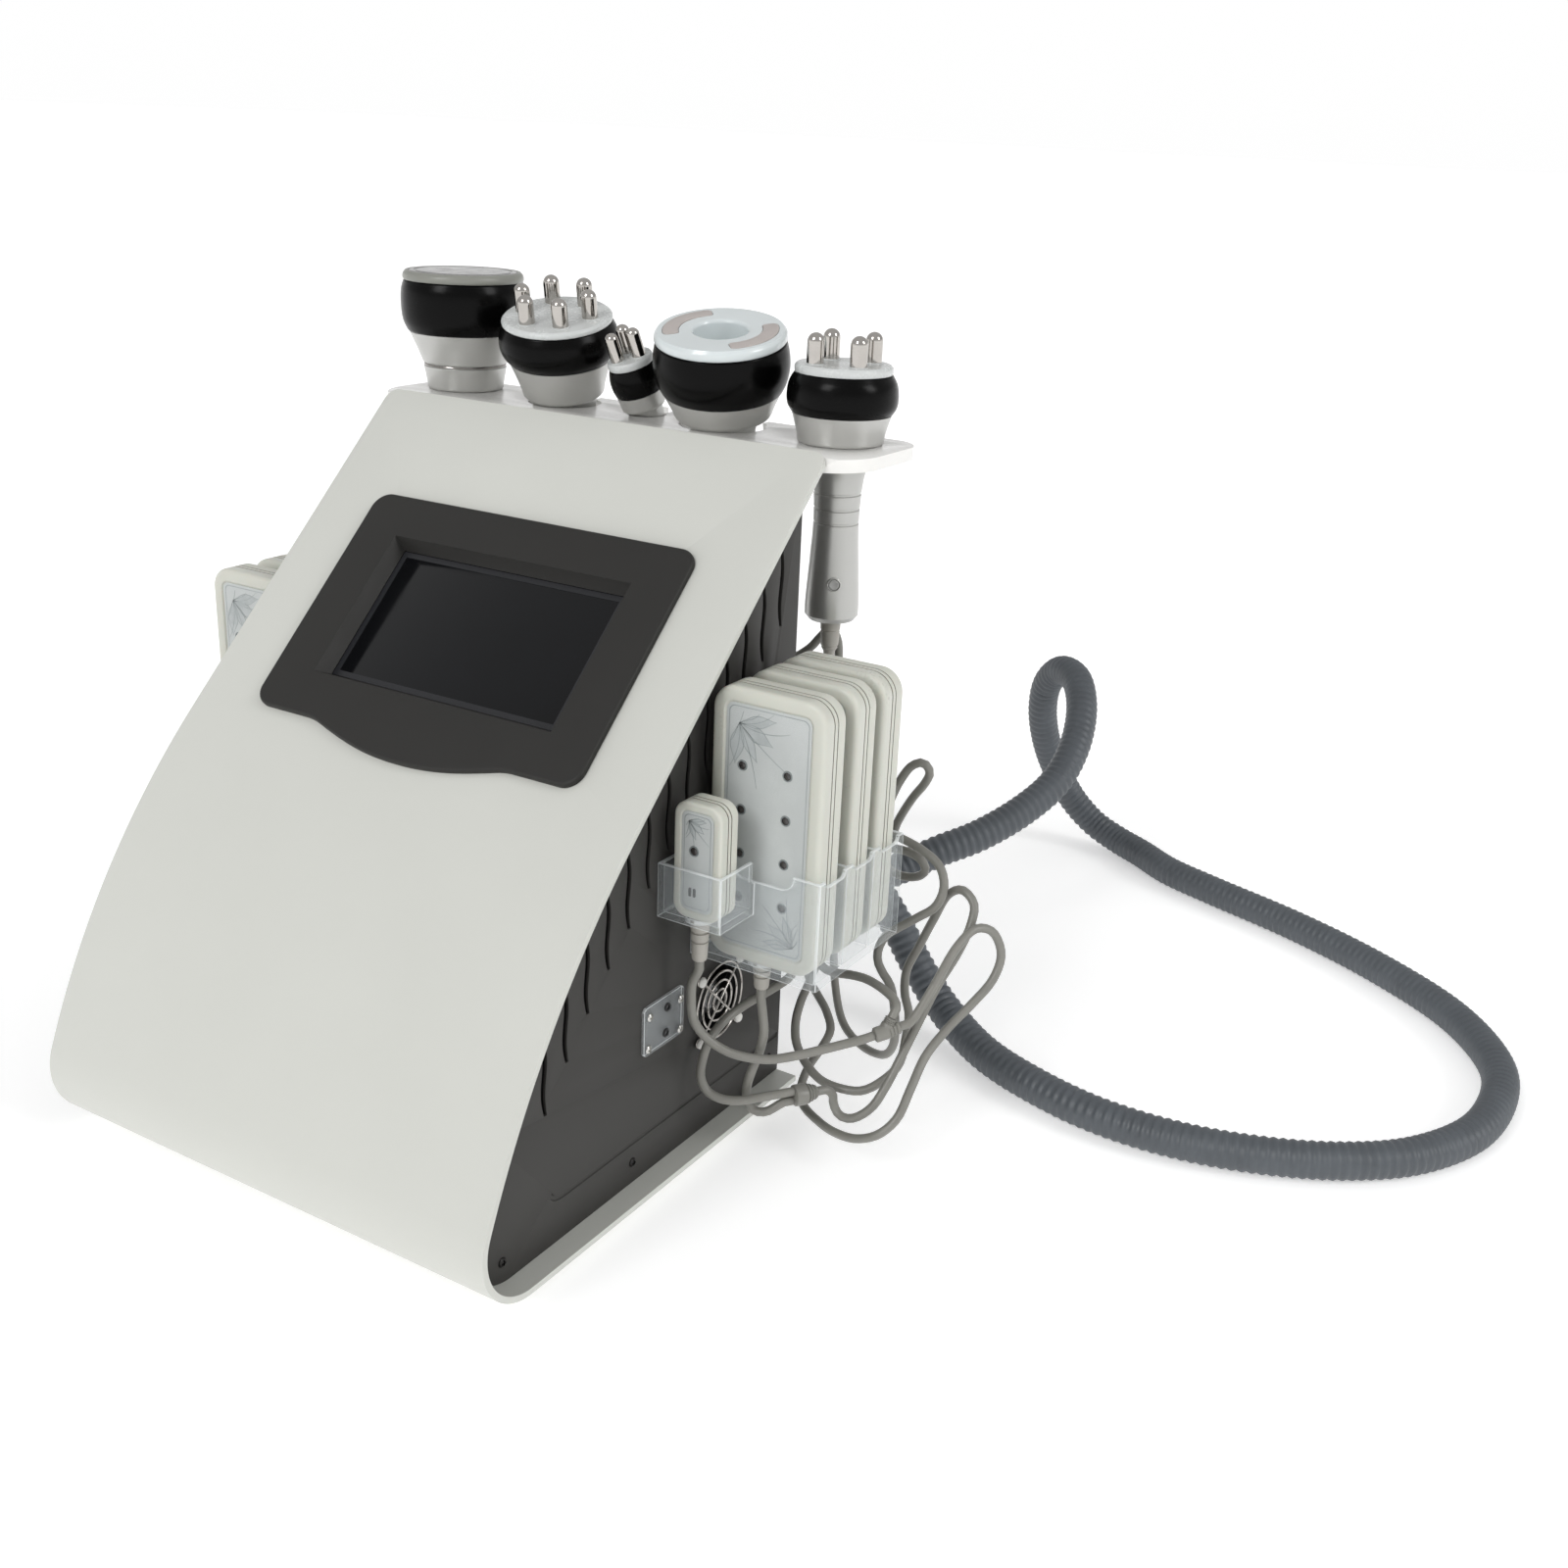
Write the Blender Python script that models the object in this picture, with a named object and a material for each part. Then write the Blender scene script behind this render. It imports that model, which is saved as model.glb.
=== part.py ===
"""Desktop cavitation slimming machine: a bent white wrap with dark side panels and a recessed touch screen,
five handpieces standing in a tray at the top, paddle pads in clear holders on both sides, and their leads.

Every length is in metres. The machine's own axes are X to the right as its user faces it, Y from the nose
to the rear and Z up from the table. One empty carries all of it, so that the world origin lies on the table
under the middle of the machine."""

import math

import bmesh
import bpy
import numpy as np
from mathutils import Matrix, Vector

# Fits and working values
GAP = 0.0003
OVERRUN = 0.002

# Wrap: one white sheet bent into base, nose and sloping front
SHELL_WIDTH = 0.345
SHELL_HEIGHT = 0.422
SHELL_SHEET = 0.004
SHELL_CORNER = 0.009
SLOPE_ANGLE = math.radians(43.5)
NOSE_ANGLE = math.radians(68)
NOSE_RADIUS = 0.0407
FRONT_RADIUS = 0.530
BODY_DEPTH = 0.318
NOSE_STEPS = 9
FRONT_STEPS = 6
CORNER_STEPS = 3

# Rubber strips under the base
FOOT_HEIGHT = 0.006
FOOT_INSET = 0.030
FOOT_DEPTH = 0.014
FRONT_FOOT_Y = 0.052

# Side and rear panels
PANEL_INSET = 0.015
PANEL_SHEET = 0.002
SLOT_COUNT = 13
SLOT_FIRST = 0.069
SLOT_PITCH = 0.0189
SLOT_LENGTH = 0.048
SLOT_WIDTH = 0.0024
SLOT_DROP = 0.027
SLOT_WAVE = 0.0014
SLOT_LEAN = 0.0022
SLOT_STEPS = 4
GROOVE_START = 0.081
GROOVE_HEIGHT = 0.038
GROOVE_CURL = 0.006
GROOVE_WIDTH = 0.005
GROOVE_DEEP = 0.0009
GROOVE_LEAN_SHARES = (0.7, 0.5, 0.2, 0.0)

# Handpiece tray
TRAY_TOP = 0.4183
TRAY_THICK = 0.008
TRAY_HALF = 0.1905
TRAY_REAR = 0.409
TRAY_FRONT_CORNER = 0.036
TRAY_REAR_CORNER = 0.020
TRAY_ROW = 0.376
FLANGE_DROP = 0.022
FLANGE_SHEET = 0.003
FLANGE_HALF = 0.120
LEAD_SLOT = 0.012
HOSE_SLOT = 0.028

# Screen bezel and glass, measured down the slope from its top edge
BEZEL_HALF = 0.1255
BEZEL_TOP = 0.0835
BEZEL_BOTTOM = 0.247
BEZEL_CORNER = 0.012
BEZEL_PROUD = 0.004
BEZEL_ROUND = 0.0018
LIP_HALF = 0.079
LIP_DROP = 0.0135
LIP_SHARES = ((1, 0), (0.92, 0.06), (0.8, 0.26), (0.6, 0.58), (0.4, 0.82), (0.2, 0.96), (0, 1))
SCREEN_HALF = 0.088
SCREEN_HEIGHT = 0.095
SCREEN_DOWN = 0.1655
RECESS_FLARE = 0.0045
COLLAR_WALL = 0.004
COLLAR_BELOW = 0.0015
GLASS_THICK = 0.007

# Cooling fan in the right side panel, with its wire guard
FAN_SIZE = 0.050
FAN_DEPTH = 0.015
FAN_Y = 0.2405
FAN_Z = 0.0965
FAN_BORE = 0.0235
HUB_RADIUS = 0.0105
HUB_LENGTH = 0.0095
SHAFT_RADIUS = 0.0015
SHAFT_LENGTH = 0.002
BEARING_GAP = 0.0001
MOUNT_DEPTH = 0.003
STRUT_WIDTH = 0.003
STRUT_COUNT = 3
STRUT_SHARES = (0.25, 0.75)
BLADE_REACH = 0.0222
BLADE_COUNT = 5
BLADE_THICK = 0.0012
BLADE_PITCH = math.radians(52)
GUARD_WIRE = 0.0009
GUARD_RINGS = 4
GUARD_INNER_SHARE = 0.29
GUARD_EAR = 0.0035
GUARD_EAR_OFFSET = 0.0212
GUARD_STEPS = 12

# Pads and their clear holders
PAD_WIDTH = 0.075
PAD_HEIGHT = 0.168
PAD_THICK = 0.0235
PAD_CORNER = 0.018
PAD_ROUND = 0.0045
PAD_MIDDLE_X = 0.2035
PAD_RELIEF_X = -0.0045
SMALL_WIDTH = 0.032
SMALL_HEIGHT = 0.071
SMALL_THICK = 0.018
SMALL_CORNER = 0.010
SMALL_ROUND = 0.0035
SMALL_MIDDLE_X = 0.1823
SMALL_RELIEF_X = -0.0023
HOLDER_SIDE = 0.0875
HOLDER_WALL = 0.0025
HOLDER_FLOOR = 0.003
HOLDER_FRONT = 0.208
HOLDER_LOW = 0.1415
HOLDER_HEIGHT = 0.0675
POCKET_DEEP = 0.030
POCKET_COUNT = 3
PAD_SETBACK_SHARES = (0.33, 0.75, 0.67)
SMALL_HOLDER_SIDE = 0.0435
SMALL_HOLDER_LOW = 0.1790
SMALL_HOLDER_HEIGHT = 0.0340
SMALL_POCKET_DEEP = 0.0325
SMALL_SETBACK_SHARE = 0.04
FRONT_SCOOP_HALF = 0.020
FRONT_SCOOP_DEEP = 0.009
SIDE_SCOOP_HALF = 0.011
SIDE_SCOOP_DEEP = 0.004
SCOOP_CORNER_SHARE = 0.8
RELIEF_TOP = 0.0062
RELIEF_TIP = 0.0043
RELIEF_LENGTH = 0.0205
SMALL_RELIEF_LENGTH = 0.0290
RELIEF_HOLE = 0.0085

# Leads, splitters and suction hose
LEAD_RADIUS = 0.00285
LEAD_STEP = 0.0158
LEAD_STRAIGHT = 0.006
SPLITTER_RADIUS = 0.0068
SPLITTER_TIP = 0.0042
SPLITTER_SPREAD = 0.0032
WYE_RADIUS = 0.0048
BRANCH_RADIUS = 0.0044
HOSE_RADIUS = 0.0125
HOSE_VALLEY = 0.0112
HOSE_BORE = 0.0060
HOSE_RIBS = 88
HOSE_BORE_SKIP = 3
HOSE_SIDES = 8
HOSE_STRAIGHT = 0.025
HOSE_END_RINGS = 4

# Routes of the leads and the hose between their ends
SPLITTER_A = ((0.2568, 0.264, 0.0925), (0.2672, 0.2765, 0.0963))
SPLITTER_A_BRANCH = ((0.261, 0.270, 0.0946), (0.2627, 0.274, 0.102))
SPLITTER_B = ((0.217, 0.238, 0.049), (0.226, 0.251, 0.049))
SMALL_PAD_ROUTE = (
    (0.175, 0.186, 0.137), (0.173, 0.188, 0.125), (0.173, 0.192, 0.107), (0.180, 0.196, 0.096),
    (0.191, 0.202, 0.088), (0.200, 0.209, 0.084), (0.211, 0.218, 0.082), (0.222, 0.229, 0.083),
    (0.233, 0.240, 0.0855), (0.242, 0.2485, 0.088),
)
PAD_ROUTE_1 = (
    (0.2015, 0.2235, 0.106), (0.203, 0.223, 0.096), (0.201, 0.222, 0.082), (0.197, 0.221, 0.069),
    (0.193, 0.222, 0.055), (0.193, 0.223, 0.045), (0.1975, 0.2245, 0.0385), (0.2045, 0.2265, 0.039),
)
PAD_ROUTE_2 = (
    (0.187, 0.254, 0.106), (0.176, 0.243, 0.097), (0.171, 0.228, 0.091), (0.170, 0.214, 0.084),
    (0.169, 0.208, 0.072), (0.170, 0.205, 0.062), (0.175, 0.205, 0.054), (0.184, 0.208, 0.050),
    (0.195, 0.214, 0.050), (0.204, 0.222, 0.0515),
)
PAD_ROUTE_3 = (
    (0.203, 0.2918, 0.1115), (0.2125, 0.2916, 0.1105), (0.223, 0.291, 0.1125), (0.235, 0.2895, 0.114),
    (0.246, 0.287, 0.1132),
    (0.2552, 0.284, 0.1115), (0.2611, 0.281, 0.1097),
)
TRUNK_ROUTE_A = (
    (0.2745, 0.289, 0.106), (0.278, 0.303, 0.121), (0.281, 0.321, 0.137), (0.286, 0.336, 0.145),
    (0.293, 0.346, 0.141), (0.299, 0.349, 0.126), (0.298, 0.342, 0.111), (0.291, 0.328, 0.097),
    (0.283, 0.312, 0.084), (0.278, 0.294, 0.071), (0.278, 0.276, 0.056), (0.277, 0.262, 0.042),
    (0.269, 0.254, 0.032), (0.255, 0.252, 0.025), (0.238, 0.255, 0.022), (0.222, 0.262, 0.021),
    (0.205, 0.272, 0.022), (0.196, 0.284, 0.025), (0.194, 0.296, 0.034), (0.198, 0.306, 0.046),
    (0.198, 0.316, 0.054), (0.189, 0.326, 0.060), (0.175, 0.338, 0.063), (0.162, 0.350, 0.064),
    (0.150, 0.362, 0.070), (0.134, 0.372, 0.084), (0.120, 0.376, 0.104), (0.112, 0.374, 0.126),
    (0.110, 0.366, 0.142), (0.110, 0.352, 0.150),
)
TRUNK_ROUTE_B = (
    (0.2325, 0.260, 0.045), (0.2335, 0.2605, 0.0375), (0.239, 0.259, 0.0325), (0.248, 0.259, 0.0335),
    (0.258, 0.264, 0.042), (0.263, 0.272, 0.055), (0.266, 0.283, 0.070), (0.269, 0.298, 0.089),
    (0.273, 0.315, 0.111), (0.2775, 0.3305, 0.128), (0.280, 0.341, 0.144), (0.2785, 0.3465, 0.156),
    (0.269, 0.349, 0.162), (0.258, 0.352, 0.155), (0.249, 0.352, 0.135), (0.242, 0.348, 0.115),
    (0.238, 0.341, 0.100), (0.243, 0.330, 0.090), (0.253, 0.318, 0.082), (0.258, 0.306, 0.073),
    (0.260, 0.294, 0.059), (0.254, 0.284, 0.050), (0.245, 0.276, 0.044), (0.233, 0.272, 0.043),
    (0.217, 0.272, 0.044), (0.203, 0.276, 0.050), (0.191, 0.284, 0.057), (0.184, 0.294, 0.065),
    (0.180, 0.306, 0.073), (0.177, 0.320, 0.079), (0.173, 0.338, 0.088), (0.165, 0.354, 0.100),
    (0.154, 0.366, 0.116), (0.144, 0.370, 0.134), (0.139, 0.364, 0.146), (0.138, 0.352, 0.150),
)
HANDPIECE_ROUTE = (
    (0.148, 0.376, 0.262), (0.150, 0.374, 0.230), (0.156, 0.372, 0.203), (0.166, 0.372, 0.182),
    (0.180, 0.372, 0.167), (0.195, 0.372, 0.163), (0.204, 0.3715, 0.171), (0.209, 0.370, 0.186),
    (0.220, 0.368, 0.207), (0.229, 0.366, 0.220), (0.2325, 0.364, 0.229), (0.2285, 0.362, 0.2345),
    (0.2215, 0.361, 0.2315), (0.2145, 0.3605, 0.221), (0.2085, 0.360, 0.206), (0.204, 0.3605, 0.190),
    (0.202, 0.361, 0.176), (0.2045, 0.3605, 0.164), (0.212, 0.359, 0.157), (0.223, 0.357, 0.1565),
    (0.234, 0.355, 0.160), (0.240, 0.353, 0.1665), (0.2375, 0.3515, 0.1735), (0.227, 0.351, 0.177),
    (0.208, 0.351, 0.1755), (0.193, 0.351, 0.174), (0.1845, 0.3505, 0.180), (0.191, 0.3495, 0.187),
    (0.208, 0.349, 0.188), (0.224, 0.3485, 0.186), (0.241, 0.347, 0.182), (0.254, 0.345, 0.175),
    (0.2595, 0.341, 0.164),
    (0.257, 0.336, 0.152), (0.248, 0.332, 0.144), (0.238, 0.328, 0.136), (0.230, 0.324, 0.129),
    (0.227, 0.321, 0.121), (0.2275, 0.319, 0.113), (0.232, 0.318, 0.106), (0.238, 0.318, 0.099),
    (0.242, 0.3165, 0.090), (0.2445, 0.3165, 0.073), (0.242, 0.321, 0.055), (0.231, 0.330, 0.040),
    (0.210, 0.341, 0.034), (0.185, 0.358, 0.036), (0.163, 0.383, 0.050), (0.150, 0.400, 0.080),
    (0.143, 0.405, 0.125), (0.139, 0.406, 0.200), (0.140, 0.404, 0.265), (0.1395, 0.402, 0.290),
    (0.135, 0.400, 0.297), (0.129, 0.398, 0.291), (0.123, 0.396, 0.283), (0.116, 0.394, 0.277),
    (0.109, 0.392, 0.272), (0.099, 0.385, 0.260), (0.091, 0.375, 0.233), (0.086, 0.366, 0.200),
    (0.082, 0.358, 0.172), (0.082, 0.348, 0.154),
)
HOSE_ROUTE = (
    (0.076, 0.365, 0.0602), (0.081, 0.400, 0.062), (0.092, 0.440, 0.066), (0.115, 0.478, 0.074),
    (0.142, 0.512, 0.086), (0.163, 0.535, 0.098), (0.183, 0.561, 0.107), (0.202, 0.598, 0.121),
    (0.213, 0.632, 0.137), (0.213, 0.665, 0.157), (0.203, 0.698, 0.178), (0.185, 0.727, 0.191),
    (0.162, 0.750, 0.189), (0.144, 0.767, 0.170), (0.136, 0.782, 0.140), (0.136, 0.802, 0.102),
    (0.143, 0.824, 0.066), (0.155, 0.838, 0.040), (0.173, 0.844, 0.0225), (0.197, 0.840, 0.0145),
    (0.225, 0.826, 0.013),
    (0.259, 0.803, 0.013), (0.305, 0.785, 0.013), (0.384, 0.757, 0.013), (0.461, 0.719, 0.013),
    (0.528, 0.670, 0.013), (0.567, 0.615, 0.013), (0.578, 0.573, 0.013), (0.574, 0.511, 0.013),
    (0.548, 0.459, 0.013), (0.515, 0.428, 0.013), (0.472, 0.404, 0.013), (0.420, 0.388, 0.013),
    (0.365, 0.385, 0.013), (0.313, 0.396, 0.013), (0.263, 0.416, 0.0145), (0.219, 0.440, 0.026),
    (0.194, 0.446, 0.049), (0.173, 0.448, 0.077), (0.146, 0.450, 0.106), (0.115, 0.448, 0.140),
    (0.087, 0.443, 0.180), (0.063, 0.434, 0.225), (0.051, 0.424, 0.262),
)

# Handpieces: place along the tray, radius and height of the head above it
CAVITATION_X = -0.1555
CAVITATION_RADIUS = 0.0412
CAVITATION_HEIGHT = 0.0790
SIX_POLE_X = -0.0677
SIX_POLE_RADIUS = 0.0366
SIX_POLE_HEIGHT = 0.0608
SIX_POLE_LEAN = (math.radians(4.5), math.radians(13.5))
THREE_POLE_X = 0.0009
THREE_POLE_RADIUS = 0.0160
THREE_POLE_HEIGHT = 0.0405
THREE_POLE_LEAN = (math.radians(-7.8), math.radians(20))
VACUUM_X = 0.0612
VACUUM_RADIUS = 0.0420
VACUUM_HEIGHT = 0.0632
VACUUM_LEAN = (math.radians(4.5), math.radians(12.4))
FOUR_POLE_X = 0.1481
FOUR_POLE_RADIUS = 0.0303
FOUR_POLE_HEIGHT = 0.0478
UPRIGHT = (0.0, 0.0)

# Grips: outline below the tray as shares of the grip's radius and length
SEAT_LEDGE = 0.0022
SHANK_LENGTH = 0.1127
VACUUM_SHANK = 0.103
THREE_POLE_SHANK = 0.095
GRIP_RADIUS = 0.0172
PEN_RADIUS = 0.0092
RING_DEEP = 0.0007
RING_WIDE = 0.0014
RING_SHARES = (0.275, 0.36, 0.44)
GRIP_SHARES = (
    (0.86, -1), (1, -0.97), (1, -0.90), (0.90, -0.64), (0.84, -0.43),
    (0.94, -0.19), (1.16, -0.07), (1.24, 0),
)

# Heads: each outline is a share of that head's own radius and height
CAVITATION_FLARE_SHARES = (
    (0.633, 0), (0.69, 0.195), (0.672, 0.205), (0.672, 0.22), (0.70, 0.23), (0.91, 0.485),
)
CAVITATION_BAND_SHARES = ((0.93, 0.485), (1.01, 0.58), (1.04, 0.72), (1.03, 0.84), (0.985, 0.92))
CAVITATION_RING_SHARES = ((0.985, 0.92), (1.0, 0.94), (0.99, 0.975), (0.95, 1.0))
SIX_POLE_FLARE_SHARES = ((0.732, 0), (0.75, 0.15), (0.94, 0.52))
SIX_POLE_BAND_SHARES = ((0.95, 0.52), (1.04, 0.60), (1.09, 0.70), (1.07, 0.82), (0.99, 0.925))
SIX_POLE_DISC_SHARES = ((0.985, 0.925), (1.0, 0.94), (1.0, 0.975), (0.955, 1.0))
THREE_POLE_FLARE_SHARES = ((0.90, 0), (0.92, 0.16), (0.97, 0.41))
THREE_POLE_BAND_SHARES = ((0.98, 0.41), (1.05, 0.55), (1.04, 0.72), (0.94, 0.87))
THREE_POLE_DISC_SHARES = ((0.93, 0.87), (0.95, 0.965), (0.90, 1.0))
VACUUM_FLARE_SHARES = ((0.738, 0), (0.76, 0.155), (0.905, 0.375))
VACUUM_BAND_SHARES = ((0.92, 0.375), (0.99, 0.48), (1.035, 0.62), (1.03, 0.75), (0.99, 0.89))
VACUUM_CUP_SHARES = ((0.985, 0.89), (1.0, 0.91), (0.995, 0.965), (0.955, 1.0))
FOUR_POLE_FLARE_SHARES = ((0.888, 0), (0.91, 0.12), (1.02, 0.375))
FOUR_POLE_BAND_SHARES = ((1.03, 0.375), (1.12, 0.48), (1.14, 0.62), (1.10, 0.77), (1.0, 0.885))
FOUR_POLE_DISC_SHARES = ((0.99, 0.885), (1.0, 0.91), (1.0, 0.965), (0.955, 1.0))
FACE_SHARE = 0.90
FACE_DEEP = 0.0014
ELECTRODE_RADIUS = 0.0053
ELECTRODE_TALL = 0.0187
SLIM_ELECTRODE_RADIUS = 0.0045
SLIM_ELECTRODE_TALL = 0.0190
ELECTRODE_RING_SHARE = 0.65
SLIM_RING_SHARE = 0.51
ELECTRODE_SIDES = 8
CARRIER_SHARE = 0.84
CARRIER_THICK = 0.0015
SIX_POLE_PHASE = math.radians(13.4)
THREE_POLE_PHASE = math.radians(5)
FOUR_POLE_PHASE = math.radians(55)
CUP_HOLE = 0.0172
CUP_WALL = 0.0025
CUP_DEPTH = 0.026
CUP_EDGE = 0.0012
ARC_INNER = 0.0265
ARC_OUTER = 0.0365
ARC_SPAN = math.radians(94)
ARC_THICK = 0.0014
ARC_PROUD = 0.0004
ARC_STEPS = 6
BUTTON_RADIUS = 0.0033
BUTTON_TALL = 0.0042
BUTTON_PROUD = 0.0010
BUTTON_DROP = 0.0867
BUTTON_TURN = math.radians(32)
BUTTON_TRAVEL = 0.0006
BOOT_TOP = 0.0066
BOOT_LENGTH = 0.028
BOOT_SHARES = (
    (0.5, -1), (0.58, -0.76), (0.80, -0.68), (0.76, -0.64), (0.86, -0.62),
    (0.94, -0.29), (0.86, -0.26), (0.96, -0.24), (1, 0),
)

# Rear panel fittings
INLET_X = -0.105
INLET_Z = 0.070
INLET_WIDTH = 0.048
INLET_HEIGHT = 0.058
INLET_DEPTH = 0.028
INLET_FLANGE = 0.0025
INLET_LIP = 0.004
ROCKER_WIDTH = 0.018
ROCKER_HEIGHT = 0.012
ROCKER_DEPTH = 0.007
ROCKER_LIFT = 0.016
ROCKER_ANGLE = math.radians(8)
ROCKER_ROOM = 0.0008
COUPLER_WIDTH = 0.025
COUPLER_HEIGHT = 0.016
COUPLER_DEPTH = 0.014
COUPLER_DROP = 0.010
PLATE_SHEET = 0.002
PLATE_LEFT = 0.036
PLATE_RIGHT = 0.152
PLATE_LOW = 0.038
PLATE_HIGH = 0.168
PORT_X = 0.075
PORT_Z = 0.060
PORT_LENGTH = 0.014
SOCKET_Z = 0.150
SOCKET_FIRST_X = 0.138
SOCKET_PITCH = 0.028
SOCKET_COUNT = 4
SOCKET_RADIUS = 0.0085
SOCKET_LENGTH = 0.012
SOCKET_RIM = 0.0015

# Inside: vacuum pump and power supply, both on the base
PUMP_X = -0.080
PUMP_Y = 0.215
PUMP_RADIUS = 0.024
PUMP_LENGTH = 0.070
PUMP_HEAD = 0.026
PUMP_HEAD_HALF = 0.028
PUMP_FOOT = 0.008
SUPPLY_X = 0.050
SUPPLY_Y = 0.170
SUPPLY_WIDTH = 0.095
SUPPLY_DEPTH = 0.150
SUPPLY_HEIGHT = 0.045
FIN_COUNT = 7
FIN_HEIGHT = 0.012
FIN_SHARE = 0.35

# Sides of round pieces
HEAD_STEPS = 18
GRIP_STEPS = 16
SMALL_STEPS = 10
ROUND = math.radians(35)

COLOURS = {
    "white_shell": ((0.68, 0.69, 0.65), 0.42, 0.0),
    "dark_panel": ((0.068, 0.066, 0.060), 0.50, 0.0),
    "white_tray": ((0.80, 0.80, 0.78), 0.25, 0.0),
    "bezel": ((0.058, 0.055, 0.050), 0.45, 0.0),
    "screen_glass": ((0.008, 0.009, 0.013), 0.12, 0.0),
    "pad_white": ((0.80, 0.78, 0.72), 0.35, 0.0),
    "clear_acrylic": ((0.80, 0.84, 0.86), 0.06, 0.0),
    "silver_handle": ((0.46, 0.46, 0.45), 0.33, 0.6),
    "black_band": ((0.006, 0.006, 0.007), 0.25, 0.0),
    "head_white": ((0.76, 0.80, 0.80), 0.22, 0.0),
    "chrome": ((0.62, 0.61, 0.60), 0.10, 1.0),
    "steel": ((0.50, 0.50, 0.50), 0.30, 1.0),
    "black_plastic": ((0.015, 0.015, 0.016), 0.40, 0.0),
    "grey_lead": ((0.24, 0.235, 0.215), 0.45, 0.0),
    "hose_grey": ((0.062, 0.068, 0.075), 0.50, 0.0),
    "foot_rubber": ((0.02, 0.02, 0.02), 0.80, 0.0),
    "button_grey": ((0.40, 0.40, 0.39), 0.40, 0.0),
    "aluminium": ((0.60, 0.61, 0.62), 0.35, 1.0),
}

SHELL_TOP = FOOT_HEIGHT + SHELL_HEIGHT
BASE_TOP = FOOT_HEIGHT + SHELL_SHEET
TRAY_LEVEL = FOOT_HEIGHT + TRAY_TOP
TRAY_UNDER = TRAY_LEVEL - TRAY_THICK
PANEL_TOP = TRAY_UNDER - GAP
PANEL_X = SHELL_WIDTH / 2 - PANEL_INSET
HOLDER_X = PANEL_X + GAP


def lean_axis(lean):
    """Unit axis of a handpiece that leans to the right and to the front by these two angles."""
    return Vector((math.tan(lean[0]), -math.tan(lean[1]), 1.0)).normalized()


def tail_reach(lean, length, grip):
    """How far back the rear edge of a grip's tail comes."""
    axis = lean_axis(lean)
    return TRAY_ROW - axis.y * length + grip * GRIP_SHARES[1][0] * math.sqrt(1 - axis.y**2)


REAR_REACH = max(
    tail_reach(SIX_POLE_LEAN, SHANK_LENGTH, GRIP_RADIUS),
    tail_reach(THREE_POLE_LEAN, THREE_POLE_SHANK, PEN_RADIUS),
    tail_reach(VACUUM_LEAN, VACUUM_SHANK, GRIP_RADIUS),
    TRAY_REAR,
)

for old in list(bpy.data.objects):
    bpy.data.objects.remove(old, do_unlink=True)


def pivot(name, place, carrier=None, axes=None):
    """An empty that carries pieces at its own place and axes."""
    made = bpy.data.objects.new(name, None)
    bpy.context.collection.objects.link(made)
    made.parent = carrier
    turn = Matrix(axes).transposed().to_4x4() if axes else Matrix.Identity(4)
    made.matrix_local = Matrix.Translation(place) @ turn
    return made


machine = pivot("machine", (0, -REAR_REACH / 2, 0))


def material(slot):
    """The named finish, made the first time that it is asked for."""
    found = bpy.data.materials.get(slot)
    if found:
        return found
    colour, roughness, metallic = COLOURS[slot]
    made = bpy.data.materials.new(slot)
    made.use_nodes = True
    shader = made.node_tree.nodes["Principled BSDF"]
    shader.inputs["Base Color"].default_value = (*colour, 1.0)
    shader.inputs["Roughness"].default_value = roughness
    shader.inputs["Metallic"].default_value = metallic
    return made


def solid(name, points, faces, slot, carrier=None, smooth=None):
    """One object from points and faces, its faces turned outward."""
    mesh = bpy.data.meshes.new(name)
    mesh.from_pydata([tuple(p) for p in points], [], faces)
    sheet = bmesh.new()
    sheet.from_mesh(mesh)
    bmesh.ops.recalc_face_normals(sheet, faces=sheet.faces)
    sheet.to_mesh(mesh)
    sheet.free()
    if smooth:
        mesh.shade_smooth()
        mesh.set_sharp_from_angle(angle=smooth)
    made = bpy.data.objects.new(name, mesh)
    bpy.context.collection.objects.link(made)
    made.parent = carrier or machine
    if slot:
        mesh.materials.append(material(slot))
    return made


def cut(made, tool, operation="DIFFERENCE"):
    """Takes a shape that is never drawn itself away from a piece, or adds it to the piece."""
    tool.hide_render = True
    tool.display_type = "WIRE"
    step = made.modifiers.new(tool.name, "BOOLEAN")
    step.operation = operation
    step.solver = "EXACT"
    step.object = tool


def join(made, tool):
    cut(made, tool, "UNION")


def lofted(pieces):
    """Points and faces of closed bodies, each through equal loops of points with a cap at each end."""
    points, faces = [], []
    for loops in pieces:
        count, base = len(loops[0]), len(points)
        points += [p for loop in loops for p in loop]
        for k in range(len(loops) - 1):
            near, far = base + k * count, base + (k + 1) * count
            for i in range(count):
                j = (i + 1) % count
                faces.append((near + i, near + j, far + j, far + i))
        faces.append(tuple(range(base, base + count)))
        faces.append(tuple(range(len(points) - count, len(points))))
    return points, faces


def loft(name, loops, slot, carrier=None, smooth=None):
    return solid(name, *lofted([loops]), slot, carrier, smooth)


def box_loops(low, high):
    x, y, z = zip(low, high)
    return [[(x[0], y[0], h), (x[1], y[0], h), (x[1], y[1], h), (x[0], y[1], h)] for h in z]


def block(name, low, high, slot, carrier=None):
    return loft(name, box_loops(low, high), slot, carrier)


def circle(radius, steps):
    turn = [math.tau * i / steps for i in range(steps)]
    return [(radius * math.cos(a), radius * math.sin(a)) for a in turn]


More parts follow.
